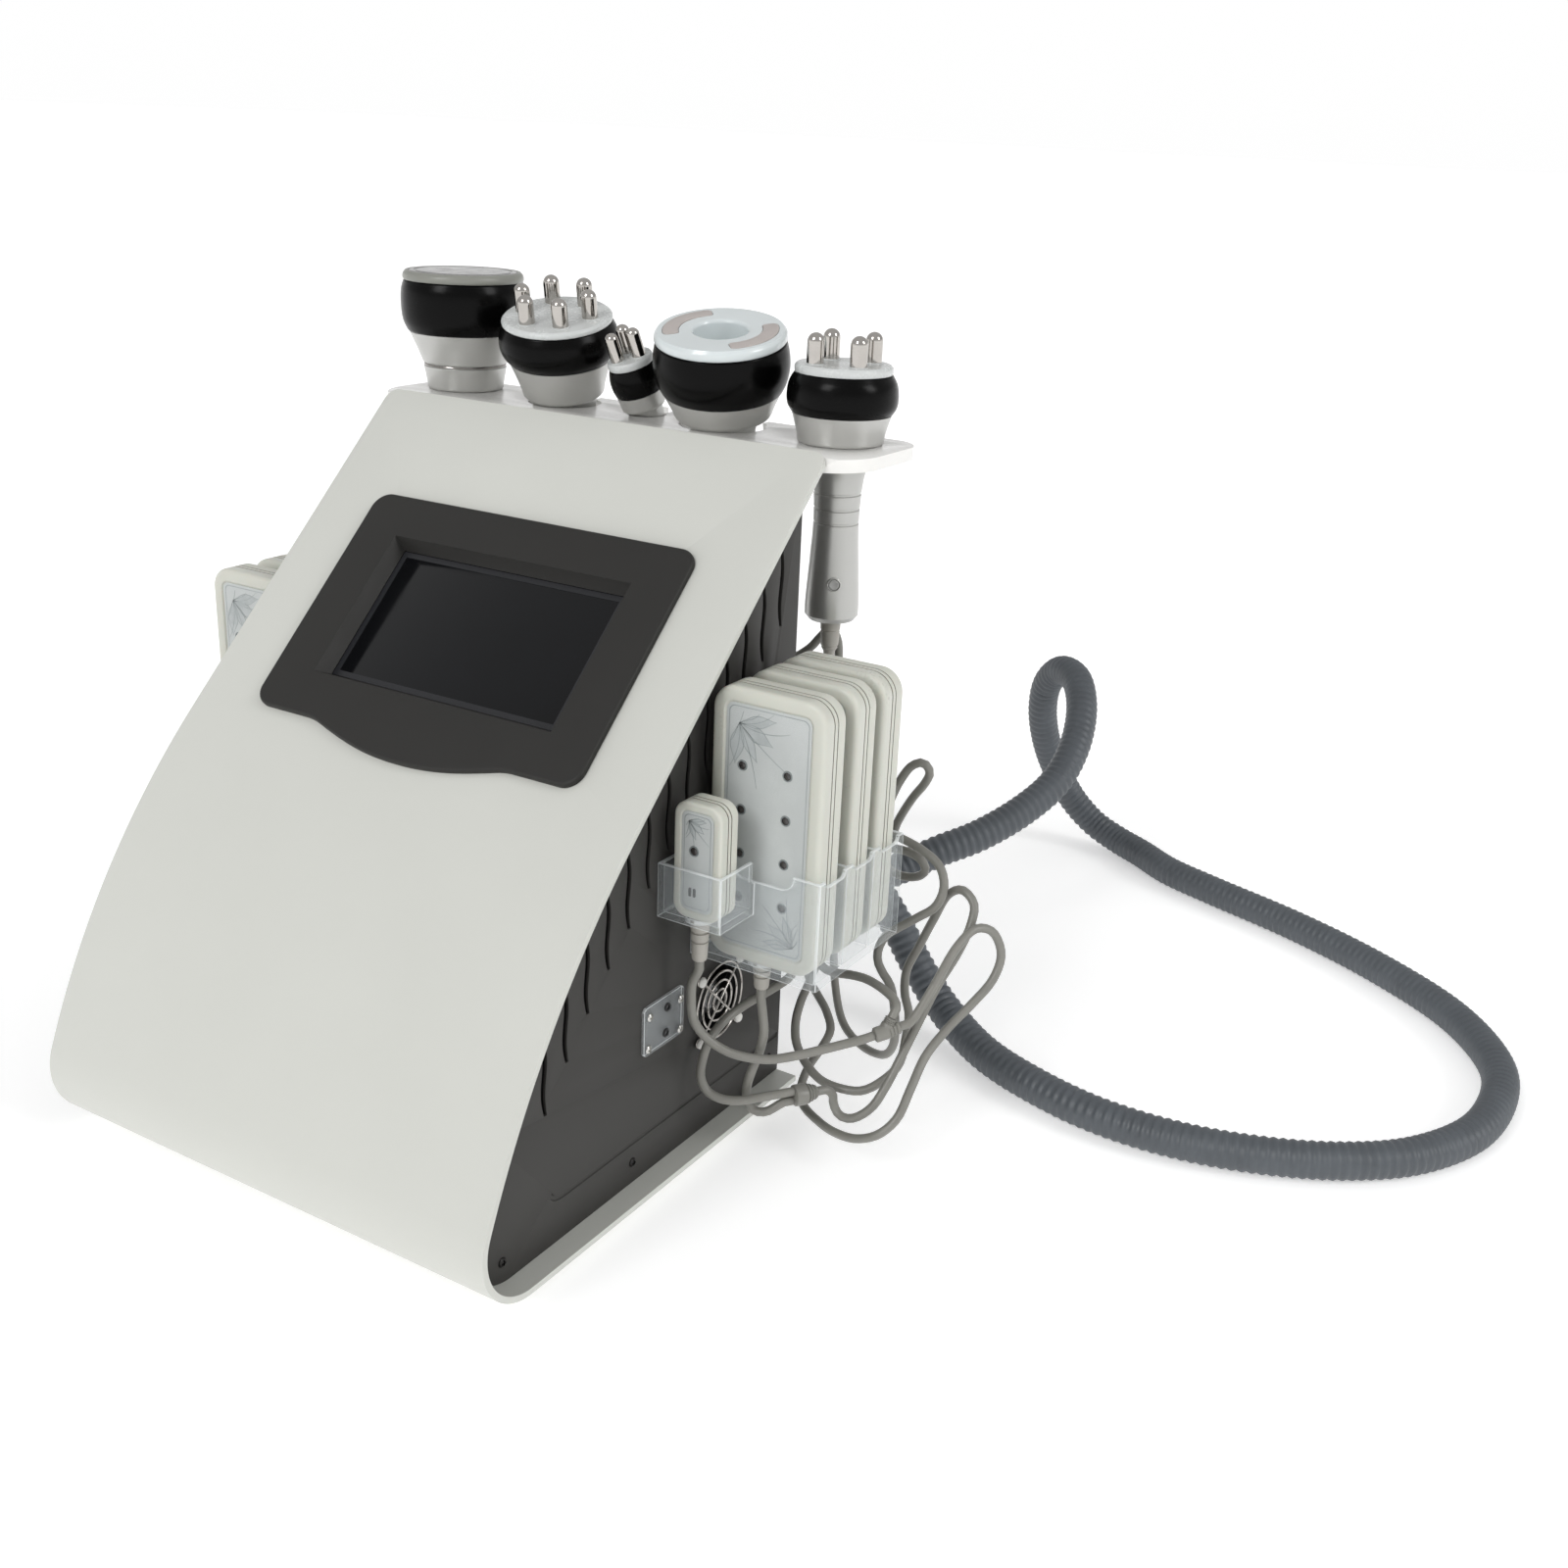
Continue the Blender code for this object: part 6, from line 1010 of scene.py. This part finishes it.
def pad(name, node, seat, size, corner, scale, seams, relief_x, relief, lamps, bars, sprays):
    """One paddle: its case, film, print and lamps, and its lead's strain relief if it has one."""
    width, height, thick = size
    place, body = MACHINE @ Matrix.Translation(seat), node + "_body"

    def outline(inset, radius):
        return rounded(width / 2 - inset, inset, height - inset, radius, 14)

    section = pad_section(thick * 1000, scale, seams)
    loops = []
    for depth, inset in section:
        loops += extruded(outline(inset, max(corner - inset, MIN_CORNER)), (depth,), "y")
    case = solid(name + "_case", *lofted([loops]), cream, body, place, 50, "pad_white", [node])
    # Painted shade: the faces within each seam's groove take the darker seam material
    case.data.materials.append(seam_painted_shade)
    for face in case.data.polygons:
        depth = (place.inverted() @ face.center).y * 1000
        if any(abs(depth - seam) < 0.42 for seam in seams):
            face.material_index = 1
    floor, edge = section[0][0], section[0][1] + 0.0002
    top, film_corner, border = floor - 0.00035, max(corner - edge, MIN_CORNER), edge + 0.0026
    film = extruded(outline(edge, film_corner), (floor + 0.0001, top), "y")
    solid(name + "_film", *lofted([film]), film_plastic, body, place, slot="pad_white")
    frames = [outline(edge + inset, film_corner - 0.0012) for inset in (0.0016, 0.0021)]
    lines, leaves = [frame_line(*frames, top)], []
    for x, z, turn, reach in sprays:
        stems, fills = spray(x, z, math.radians(turn), reach, top, width / 2 - border, border, height - border)
        lines += stems
        leaves += fills
    for word, bodies, ink in (("leaves", leaves, film_tint), ("print", lines, film_print)):
        solid(f"{name}_film_{word}", *merged([(part, STILL) for part in bodies]), ink, body, place,
              slot="pad_white")
    lenses, rims = zip(*[lamp(x, z, top) for x, z in lamps])
    lenses = list(lenses)
    for x, z in bars:
        bar = [(x + a, z + b) for a, b in rounded(0.0009, -0.0027, 0.0027, 0.0008, 6)]
        lenses.append((lofted([extruded(bar, (top, top - 0.0004), "y")]), STILL))
    solid(name + "_lamps", *merged(lenses), lamp_lens, body, place, slot="black_plastic")
    solid(name + "_lamp_rims", *merged(rims), lamp_rim, body, place, slot="pad_white")
    if relief:
        line = [(0, 0.0005), (0.0068, 0.0005), (0.0068, -0.0012), (0.0062, -0.0016)]
        for share in (0.34, 0.55):
            wide, low = 0.0062 - 0.0019 * share, -relief * share
            line += [(wide, low), (wide * 0.80, low - 0.0002), (wide * 0.80, low - 0.0012),
                     (wide * 0.97, low - 0.0014)]
        line += [(0.0046, -relief * 0.93), (0.0043, -relief + 0.0004), (0.0038, -relief), (0, -relief)]
        spot = place @ Matrix.Translation((relief_x, thick / 2, 0))
        solid(name + "_strain_relief", *turned(line, 40), relief_rubber, body, spot, slot="grey_lead")


PAD_SIZE, SMALL_PAD_SIZE = (0.075, 0.168, 0.0235), (0.032, 0.071, 0.018)
LAMPS = [(x, z) for z in (0.1220, 0.0950, 0.0680, 0.0405) for x in (-0.0165, 0.0135)]
SPRAYS = [(-0.0195, 0.1470, -42, 0.050), (0.0215, 0.0170, 128, 0.040)]
for word, side in (("right", 1), ("left", -1)):
    has_lead = side > 0
    for k, y in enumerate(PAD_FRONTS):
        pad(f"{word}_paddle_{k + 1}", f"{word}_pad_{k + 1}", (side * 0.2035, y, 0.1448), PAD_SIZE, 0.0145, 1.0,
            (9.6, 13.6), -0.0045, 0.0205 if has_lead else 0, LAMPS, [], SPRAYS)
    pad(f"{word}_small_paddle", f"{word}_small_pad", (side * 0.1823, SMALL_FRONT, 0.1823), SMALL_PAD_SIZE,
        0.0090, 0.56, (7.4, 10.6), -0.0023, 0.029 if has_lead else 0, [(-0.0021, 0.0421)],
        [(-0.0042, 0.0166), (-0.0012, 0.0166)], [(-0.0060, 0.0600, -48, 0.024)])


# Handpieces: turned handles (34 mm at the grip) in silver lacquer, with black lacquered bellies and white ABS
# heads, standing in the tray's bores. The lacquer's fine metal flake gives a broad soft highlight, the black
# stays deep with one satin light on it, and the white heads and polished steel are smooth and clear.
silver = finish("Metallic lacquer, satin silver", "#bdbdba", 0.34, metal=0.7, mottle=(0.012, 30),
                grain=(0.6, 0.002), spread=0.04, Coat_Weight=0.2, Coat_Roughness=0.25)
piano_black = finish("Satin black lacquered ABS", "#050505", 0.24, mottle=(0.15, 20), grain=(3, 0.002),
                     spread=0.04, Specular_IOR_Level=0.11)
head_white = finish("Gloss white ABS head", "#c9cccb", 0.26, mottle=(0.010, 25), grain=(2, 0.003), spread=0.05,
                    Coat_Weight=0.2, Coat_Roughness=0.12)
ring_grey = finish("Satin grey-white ring", "#84857e", 0.32, mottle=(0.015, 20), grain=(1, 0.006))
polished = finish("Polished stainless steel", "#97938f", 0.17, metal=1.0, mottle=(0.04, 12), grain=(0.5, 0.002),
                  spread=0.05)


def smooth_profile(points, steps=12):
    """A fine outline along a smooth curve through (radius, height) points."""
    if len(points) < 3:
        return [tuple(p) for p in points]
    first = 2 * np.array(points[0]) - np.array(points[1])
    last = 2 * np.array(points[-1]) - np.array(points[-2])
    fine = smooth_route([first, *points, last], steps * (len(points) - 1))
    return [tuple(float(c) for c in p) for p in fine]


def shaped(size, shares):
    """An outline in metres from shares of a head's radius and height."""
    return [(r * size[0], h * size[1]) for r, h in shares]


GRIP_SIZE, PIN_SIZE = (0.0172, 0.1127), (0.0053, 0.0187)
GRIP = ((0.86, -1), (1, -0.97), (1, -0.90), (0.90, -0.64), (0.84, -0.43), (0.94, -0.19), (1.16, -0.07),
        (1.24, 0))


def grip_outline(radius, length, rings):
    """The handle below the tray from its tail up, with turned rings round its waist."""
    points = shaped((radius, length), GRIP)
    line = [(0, -length), (points[0][0] - 0.0006, -length), (points[0][0], -length + 0.0004)]
    line += [(points[1][0] - 0.0008, points[1][1] - 0.0008)] + smooth_profile(points[1:], 10)
    for share in rings:
        middle = -share * length
        widths, heights = zip(*line)
        wide = float(np.interp(middle, heights[3:], widths[3:]))
        line = [p for p in line if abs(p[1] - middle) > 0.0009]
        cut_in = ((0, -0.0009), (0.0007, -0.0005), (0.0007, 0.0005), (0, 0.0009))
        line += [(wide - in_by, middle + up) for in_by, up in cut_in]
        line = line[:3] + sorted(line[3:], key=lambda point: point[1])
    return line


def stand(name, seat):
    """How high a leaning seat stands along its axis, with its lowest edge just clear of the tray."""
    tilt = lean_axis(*HEADS[name][1]).angle(Vector((0, 0, 1)))
    return seat * math.tan(tilt) + GAP / math.cos(tilt)


def handle(name, flare, grip, rings=()):
    """A handle from its tail up to the belly, with the flare's groove or waist as given."""
    outline = grip_outline(*grip, rings)
    seat = flare[0][0]
    level = stand(name, seat)
    outline += [(outline[-1][0], level), (seat - 0.0008, level), (seat, level + 0.0008)]
    outline += [(r, h) for r, h in flare if h > level + 0.0012]
    outline.append((0, outline[-1][1]))
    return solid(name + "_grip", *turned(outline, 96), silver, name + "_handpiece", head_axes(name), 40,
                 "silver_handle", [name + "_handle"])


def belly(name, size, shares, bore=0.0):
    """The head's black middle, its rims slightly rounded, with a bore for a cup's well if it has one."""
    line = shaped(size, shares)
    line = smooth_profile([(line[0][0], line[0][1] + GAP)] + line[1:], 10)
    line = [(line[0][0] - 0.0004, line[0][1])] + [(line[0][0], line[0][1] + 0.0004)] + line[1:-1]
    line += [(line[-1][0] - 0.0002, line[-1][1] + 0.0003), (line[-1][0] - 0.0008, line[-1][1] + 0.0004)]
    if bore:
        line += [(bore, line[-1][1]), (bore, line[0][1])]
    else:
        line = [(0, line[0][1])] + line + [(0, line[-1][1])]
    solid(name + "_belly", *turned(line, 96, closed=bool(bore)), piano_black, name + "_handpiece",
          head_axes(name), 40, "black_band", [name + "_band"])


def pin(radius, base, top):
    """A turned pin with a domed end and a fine shoulder."""
    line = [(0, base), (radius - 0.0003, base), (radius, base + 0.0003), (radius, top - radius)]
    line += [(radius * math.cos(a), top - radius * (1 - math.sin(a)))
             for a in np.linspace(0, math.pi / 2, 10)[1:-1]]
    return line + [(0, top)]


def poled(name, size, shares, count, pole, ring_share, phase):
    """The white disc with its domed chrome pins, each in a fine countersunk collar."""
    radius, tall = pole
    line = shaped(size, shares)
    base, top = line[0][1] + GAP, line[-1][1]
    edge = smooth_profile([(line[0][0], base)] + line[1:], 8)
    outline = [(0, base)] + edge + [(edge[-1][0] - 0.0012, top), (0, top)]
    outline = [p for k, p in enumerate(outline) if k == 0 or p != outline[k - 1]]
    axes, body = head_axes(name), name + "_handpiece"
    collar = [(radius, top - 0.0003), (radius + 0.0009, top - 0.0003), (radius + 0.0008, top + 0.00035),
              (radius + 0.0002, top + 0.0006), (radius, top + 0.0006)]
    solid(name + "_white_disc", *turned(outline, 96), head_white, body, axes, 40, "head_white",
          [name + "_disc"])
    pins, collars = [], []
    for k in range(count):
        a = math.radians(phase) + math.tau * k / count
        spot = Matrix.Translation((math.cos(a) * size[0] * ring_share, math.sin(a) * size[0] * ring_share, 0))
        pins.append((turned(pin(radius, top - 0.001, top + tall), 40), spot))
        collars.append((turned(collar, 40, closed=True), spot))
    solid(name + "_pins", *merged(pins), chrome, body, axes, 40, "chrome", [name + "_electrodes"])
    solid(name + "_pin_collars", *merged(collars), head_white, body, axes, 40, "head_white")


# Cavitation head: 86 mm across its belly, with a polished band in the neck's groove and a face of polished
# stainless steel, turned with one ring, inside a satin grey ring. The face's steel is given a dark tone, a
# painted reflection of the room's darker ceiling.
steel_painted_dark_reflection = finish("Polished stainless steel, painted dark reflection", "#4c4a47", 0.16, metal=1.0, mottle=(0.04, 12),
                    grain=(0.4, 0.002))
size = (0.0412, 0.0790)
neck = smooth_profile(shaped(size, ((0.633, 0), (0.648, 0.07), (0.69, 0.195))), 8)
flare = neck + shaped(size, ((0.672, 0.205), (0.672, 0.220)))
flare += smooth_profile(shaped(size, ((0.70, 0.23), (0.79, 0.345), (0.91, 0.485))), 10)
handle("cavitation", flare, GRIP_SIZE)
belly("cavitation", size, ((0.93, 0.485), (1.01, 0.58), (1.04, 0.72), (1.03, 0.84), (0.985, 0.92)))
band = shaped(size, ((0.64773, 0.2062), (0.684, 0.2068), (0.688, 0.2125), (0.684, 0.2185), (0.64773, 0.2190)))
axes = head_axes("cavitation")
solid("cavitation_neck_band", *turned(band, 96, closed=True), polished, "cavitation_handpiece", axes,
      slot="steel")
line = shaped(size, ((0.985, 0.92), (1.0, 0.94), (0.99, 0.975), (0.95, 1.0)))
base, top = line[0][1] + GAP, line[-1][1]
edge = smooth_profile([(line[0][0], base)] + line[1:], 8)
face = size[0] * 0.90
outline = [(0, base)] + edge + [(face + 0.0004, top), (face, top - 0.0004), (face, top - 0.0014),
                                (0, top - 0.0014)]
solid("cavitation_white_ring", *turned(outline, 96), ring_grey, "cavitation_handpiece", axes, 40, "head_white",
      ["cavitation_ring"])
face_line = [(GAP, -0.0011), (GAP, -0.0003), (0.0007, 0), (0.0032, 0.0001), (0.0036, -0.0002),
             (0.0046, -0.0002), (0.0050, 0.0001)]
face_line = [(0, top - 0.0011)] + [(face - r, top + h) for r, h in face_line] + [(0, top + 0.0003)]
# Painted reflection: the face's dark tone stands in for the dark ceiling it mirrors
solid("cavitation_steel_face", *turned(face_line, 96), steel_painted_dark_reflection, "cavitation_handpiece", axes, 30, "steel",
      ["cavitation_face"])

# Six-pole head: an 80 mm belly and six chromed brass pins, 10.6 mm thick, on a 48 mm circle. It leans 13.5
# degrees to the front and 4.5 to the right in its bore.
size = (0.0366, 0.0608)
handle("six_pole", smooth_profile(shaped(size, ((0.732, 0), (0.75, 0.15), (0.83, 0.33), (0.94, 0.52))), 10),
       GRIP_SIZE)
belly("six_pole", size, ((0.95, 0.52), (1.04, 0.60), (1.09, 0.70), (1.07, 0.82), (0.99, 0.925)))
poled("six_pole", size, ((0.985, 0.925), (1.0, 0.94), (1.0, 0.975), (0.955, 1.0)), 6, PIN_SIZE, 0.65, 13.4)

# Three-pole head: a slim 34 mm one with three chromed pins on an 18 mm pen handle, for the face. It leans 20
# degrees to the front and 7.8 to the left.
size = (0.0160, 0.0405)
handle("three_pole", smooth_profile(shaped(size, ((0.90, 0), (0.92, 0.16), (0.97, 0.41))), 8), (0.0092, 0.095))
belly("three_pole", size, ((0.98, 0.41), (1.05, 0.55), (1.04, 0.72), (0.94, 0.87)))
poled("three_pole", size, ((0.93, 0.87), (0.95, 0.90), (0.95, 0.965), (0.90, 1.0)), 3, (0.0045, 0.0190), 0.51,
      5)

# Suction head: an 87 mm belly and a bluish-white moulded cup with a 34 mm suction well, and two satin stainless
# arcs set flush in its rim. The cup is the glossiest of the white parts; the arcs look pinkish beside it.
size = (0.0420, 0.0632)
handle("vacuum", smooth_profile(shaped(size, ((0.738, 0), (0.76, 0.155), (0.905, 0.375))), 10), (0.0172, 0.103))
belly("vacuum", size, ((0.92, 0.375), (0.99, 0.48), (1.035, 0.62), (1.03, 0.75), (0.99, 0.89)), 0.0200)
cup_white = finish("Gloss cup, cool white", "#d3dadb", 0.18, mottle=(0.012, 25), grain=(2, 0.004), spread=0.04,
                   Coat_Weight=0.5, Coat_Roughness=0.05)
line = shaped(size, ((0.985, 0.89), (1.0, 0.91), (0.995, 0.965), (0.955, 1.0)))
base, top = line[0][1] + GAP, line[-1][1]
edge = smooth_profile([(line[0][0], base)] + line[1:], 8)
foot, well, hole, soft = 0.375 * size[1] + GAP, 0.0197, 0.0172, 0.0024
lip = [(hole + soft * (1 - math.sin(a)), top - soft * (1 - math.cos(a)))
       for a in np.linspace(0, math.pi / 2, 8)]
floor = [(hole, top - 0.022), (hole - 0.0012, top - 0.0248), (hole - 0.004, top - 0.026), (0.0052, top - 0.026),
         (0.0050, top - 0.0262), (0.0050, top - 0.0292), (0, top - 0.0292)]
outline = [(0, foot), (well, foot), (well, base)] + edge + lip + floor
axes, body = head_axes("vacuum"), "vacuum_handpiece"
cup = solid("vacuum_white_cup", *turned(outline, 96), cup_white, body, axes, 40, "head_white", ["vacuum_cup"])


def arc_plate(inner, outer, middle, span, levels, corner=0.003):
    """Loops of a flat curved plate with rounded corners, between two radii."""
    turns = middle + span / 2 * np.sin(np.linspace(-math.pi / 2, math.pi / 2, 29))
    radius, sides = (inner + outer) / 2, []
    for a in turns:
        short = max(1 - (span / 2 - abs(a - middle)) * radius / corner, 0.0)
        sides.append((outer - inner) / 2 - corner * (1 - math.sqrt(max(1 - short * short, 0.0))))
    spots = [(radius + half, a) for a, half in zip(turns, sides)]
    spots += [(radius - half, a) for a, half in zip(turns[::-1], sides[::-1])]
    return extruded([(reach * math.cos(a), reach * math.sin(a)) for reach, a in spots], levels)


arc_steel = finish("Satin stainless electrode, pinkish", "#c2bab6", 0.42, metal=0.35, mottle=(0.03, 8),
                   grain=(0.4, 0.003))
pockets = [arc_plate(0.0262, 0.0368, middle, math.radians(95), (top - 0.0013, top + 0.002))
           for middle in (0.0, math.pi)]
cut(cup, [cutter("pocket_tool", [pocket], axes) for pocket in pockets])
for word, middle in (("right", 0.0), ("left", math.pi)):
    plate = arc_plate(0.0265, 0.0365, middle, math.radians(94), (top - 0.0010, top + 0.0004))
    arc = solid(f"vacuum_steel_arc_{word}", *lofted([plate]), arc_steel, body, axes, 40, "steel",
                [f"vacuum_electrode_{word}"])
    cut(arc, [], 0.0003)

# Four-pole head: a 69 mm belly and four chromed pins. Its handle has three turned rings, a grey trigger button
# in a silver ring, and a moulded grey boot with flex grooves where its lead leaves.
size = (0.0303, 0.0478)
flare = smooth_profile(shaped(size, ((0.888, 0), (0.91, 0.12), (1.02, 0.375))), 10)
grip = handle("four_pole", flare, GRIP_SIZE, (0.275, 0.36, 0.44))
belly("four_pole", size, ((1.03, 0.375), (1.12, 0.48), (1.14, 0.62), (1.10, 0.77), (1.0, 0.885)))
poled("four_pole", size, ((0.99, 0.885), (1.0, 0.91), (1.0, 0.965), (0.955, 1.0)), 4, PIN_SIZE, 0.65, 55)
axes = head_axes("four_pole")
drop, turn = 0.0867, math.radians(32)
widths, heights = zip(*shaped(GRIP_SIZE, GRIP))
surface = float(np.interp(-drop, heights, widths))
out, up = Vector((math.sin(turn), -math.cos(turn), 0)), Vector((0, 0, 1))
facing = Matrix((up.cross(out), up, out)).transposed().to_4x4()
button_axes = axes @ Matrix.Translation(out * surface - up * drop) @ facing
well_line = [(0, -0.0042), (0.0036, -0.0042), (0.0036, 0.003), (0, 0.003)]
cut(grip, [solid("button_tool", *turned(well_line, 40), None, None, button_axes)])
# Moulded ABS, satin: a plain soft grey beside the silver
button_plastic = finish("Satin grey ABS button", "#a9a9a7", 0.35, mottle=(0.03, 4), grain=(0.25, 0.01))
cap = [(0, -0.0032), (0.0033, -0.0032), (0.0033, 0.0006), (0.0031, 0.0009), (0.0027, 0.0010), (0.0019, 0.0008),
       (0.0010, 0.00065), (0, 0.0006)]
solid("trigger_cap", *turned(cap, 40), button_plastic, "trigger_button", button_axes, 40, "button_grey",
      ["four_pole_button"])
bezel_ring = [(0.0036, -0.0004), (0.0047, -0.0006), (0.0045, 0.0004), (0.0040, 0.0007), (0.0036, 0.0005)]
solid("trigger_ring", *turned(bezel_ring, 40, closed=True), silver, "four_pole_handpiece", button_axes, 40,
      "silver_handle")
boot_shares = ((0.5, -1), (0.58, -0.76), (0.80, -0.68), (0.76, -0.64), (0.86, -0.62), (0.94, -0.29),
               (0.86, -0.26), (0.96, -0.24), (1, 0))
boot = [(r, h - GRIP_SIZE[1] - GAP) for r, h in shaped((0.0066, 0.028), boot_shares)]
line = [(0, boot[0][1]), (boot[0][0] - 0.0004, boot[0][1]), (boot[0][0], boot[0][1] + 0.0004)] + boot[1:-1]
line += [(boot[-1][0], boot[-1][1] - 0.0004), (boot[-1][0] - 0.0004, boot[-1][1]), (0, boot[-1][1])]
solid("four_pole_lead_boot", *turned(line, 48), relief_rubber, "four_pole_handpiece", axes, 40, "grey_lead",
      ["four_pole_boot"])


# Rear fittings: a 56 x 66 mm black nylon mains inlet with its rocker switch and three flat pins, and a bead-
# blasted aluminium plate of 116 x 130 mm, held by six screws, with the barbed suction port and four round lead
# sockets with knurled nuts. The blasted face is an even satin grey. All of it is out of the photograph's view.
satin_alu = finish("Bead-blasted aluminium, satin", "#c3c4c5", 0.34, metal=1.0, mottle=(0.04, 30),
                   grain=(0.25, 0.008))
x, z, outer = -0.105, 0.070, 0.3208
inlet = solid("inlet_moulding",
              *lofted([box_loops((x - 0.024, 0.290, z - 0.029), (x + 0.024, outer, z + 0.029))]), black_mould,
              "machine", slot="black_plastic", replaces=["power_inlet"])
PLATE_BACK = 0.3183
outline = [(x + a, z + b) for a, b in rounded(0.028, -0.033, 0.033, 0.004)]
lip = cutter("flange_tool", [extruded(outline, (PLATE_BACK, outer), "y")])
cut(inlet, [lip], operation="UNION")
rooms = [box_loops((x - 0.0093, outer - 0.0078, z + 0.0092), (x + 0.0093, outer + 0.002, z + 0.0228)),
         box_loops((x - 0.0125, outer - 0.014, z - 0.018), (x + 0.0125, outer + 0.002, z - 0.002))]
cut(inlet, [cutter("inlet_room_tool", rooms)], 0.0005)
parts = []
for a, b in ((-0.0070, -0.0115), (0.0070, -0.0115), (0.0, -0.0078)):
    outline = [(x + a + u, z + b + v) for u, v in rounded(0.0010, -0.0020, 0.0020, 0.0005, 3)]
    parts.append((lofted([extruded(outline, (outer - 0.0145, outer - 0.004), "y")]), STILL))
solid("inlet_pins", *merged(parts), steel_screw, "machine", slot="steel")
screws("inlet_screws", [(x, outer, z + b) for b in (-0.0285, 0.0285)], (0, 1, 0), 0.0026, 0.0013, black_screw)
tilt = math.radians(8)
rocker_axes = MACHINE @ Matrix.Translation((x, outer - 0.0035, z + 0.016)) @ Matrix.Rotation(tilt, 4, "X")
rise, deep, slant = 0.006, 0.0035, 0.006 * math.tan(tilt)
outline = [(-deep, -rise / 2), (-deep, rise / 2), (0, rise), (deep + slant, rise)]
outline += [(deep + slant * (1 - s) ** 2, rise * (1 - s)) for s in (0.25, 0.5, 0.75)] + [(deep, 0)]
outline += [(deep + slant * s ** 2, -rise * s) for s in (0.25, 0.5, 0.75)] + [(deep + slant, -rise), (0, -rise)]
rocker = solid("rocker_cap", *lofted([extruded(outline, (-0.009, 0.009), "x")]), black_mould, "rocker_key",
               rocker_axes, 40, "black_plastic", ["power_rocker"])
cut(rocker, [], 0.0004)
FACE_Y = 0.3203
outline = [(0.094 + a, b) for a, b in rounded(0.058, 0.038, 0.168, 0.004)]
plate = solid("connector_face", *lofted([extruded(outline, (PLATE_BACK, FACE_Y), "y")]), satin_alu, "machine",
              slot="aluminium", replaces=["connector_plate"])
cut(plate, [], 0.0004)
port = [(0.0085, 0), (0.0160, 0), (0.0160, 0.0016), (0.0152, 0.0024), (0.0122, 0.0026), (0.0122, 0.0045),
        (0.0125, 0.0065), (0.0119, 0.0066), (0.0122, 0.0088), (0.0125, 0.0104), (0.0119, 0.0105),
        (0.0122, 0.0136), (0.0119, 0.0140), (0.0090, 0.0140), (0.0085, 0.0136)]
port_axes = MACHINE @ along((0.075, FACE_Y, 0.060), (0.075, 1, 0.060))
solid("suction_barb", *turned(port, 64, closed=True), black_mould, "machine", port_axes, slot="black_plastic")
SOCKET_BORE, KNURLS = 0.0032, 72
nut = [(SOCKET_BORE, 0), (0.0085, 0), (0.0085, 0.0040), (0.0080, 0.0044), (0.0074, 0.0046), (0.0074, 0.0056),
       (0.0079, 0.0060), (0.0079, 0.0106), (0.0073, 0.0116), (0.0060, 0.0120), (0.0034, 0.0120),
       (SOCKET_BORE, 0.0116)]
points, faces = turned(nut, KNURLS, closed=True)
for i, (across, deep, up) in enumerate(points):
    if i // KNURLS in (1, 2, 6, 7) and i % 3 == 0:
        points[i] = (across * 0.96, deep * 0.96, up)
rows = [SOCKET_X - SOCKET_PITCH * k for k in range(4)]
sockets = [along((x, FACE_Y, SOCKET_Z), (x, 1, SOCKET_Z)) for x in rows]
solid("lead_sockets", *merged([((points, faces), socket) for socket in sockets]), steel_screw, "machine",
      slot="steel")
cap = [(0, 0.0), (SOCKET_BORE, 0.0), (SOCKET_BORE, 0.0100), (0, 0.0100)]
solid("spare_socket_insert", *turned(cap, 32), black_mould, "machine", MACHINE @ sockets[3],
      slot="black_plastic")
spots = [(a, FACE_Y, b) for a in (0.042, 0.146) for b in (0.044, 0.103, 0.162)]
screws("connector_screws", spots, (0, 1, 0), 0.0026, 0.0014, steel_screw)

# Feet: two strips of black EPDM rubber under the base, 14 mm deep and 6 mm high, extruded with ribs that grip
# the table. The rubber is dull and soft-edged.
foot_rubber = finish("Ribbed EPDM rubber, black", "#1c1c1c", 0.78, mottle=(0.12, 15), grain=(0.3, 0.03))
for name, y in (("foot_strip_front", 0.052), ("foot_strip_rear", 0.288)):
    half = [(0.0004, 0.0), (0.0024, 0.0), (0.0030, 0.0006), (0.0036, 0.0), (0.0062, 0.0), (0.0070, 0.0010),
            (0.0070, 0.0057)]
    line = [(y - a, b) for a, b in half[::-1]] + [(y, 0.0006)] + [(y + a, b) for a, b in half]
    strip = extruded(line, (-0.1425, 0.1425), "x")
    solid(name + "_rubber", *lofted([strip]), foot_rubber, "machine", slot="foot_rubber", replaces=[name])

# Inside: the vacuum pump, a zinc-plated drum, and the finned aluminium power supply stand on the base. They are
# out of sight and keep their CAD shapes, under materials of their own.
drum = finish("Zinc-plated pump drum", "#a9a8a3", 0.38, metal=0.9, mottle=(0.10, 12), grain=(0.4, 0.01))
case = finish("Anodised aluminium case, brushed", "#b2b4b6", 0.36, metal=1.0, mottle=(0.05, 20),
              grain=(0.2, 0.01))
for name, material in (("vacuum_pump", drum), ("power_supply", case)):
    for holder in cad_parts[name].material_slots:
        holder.material = material
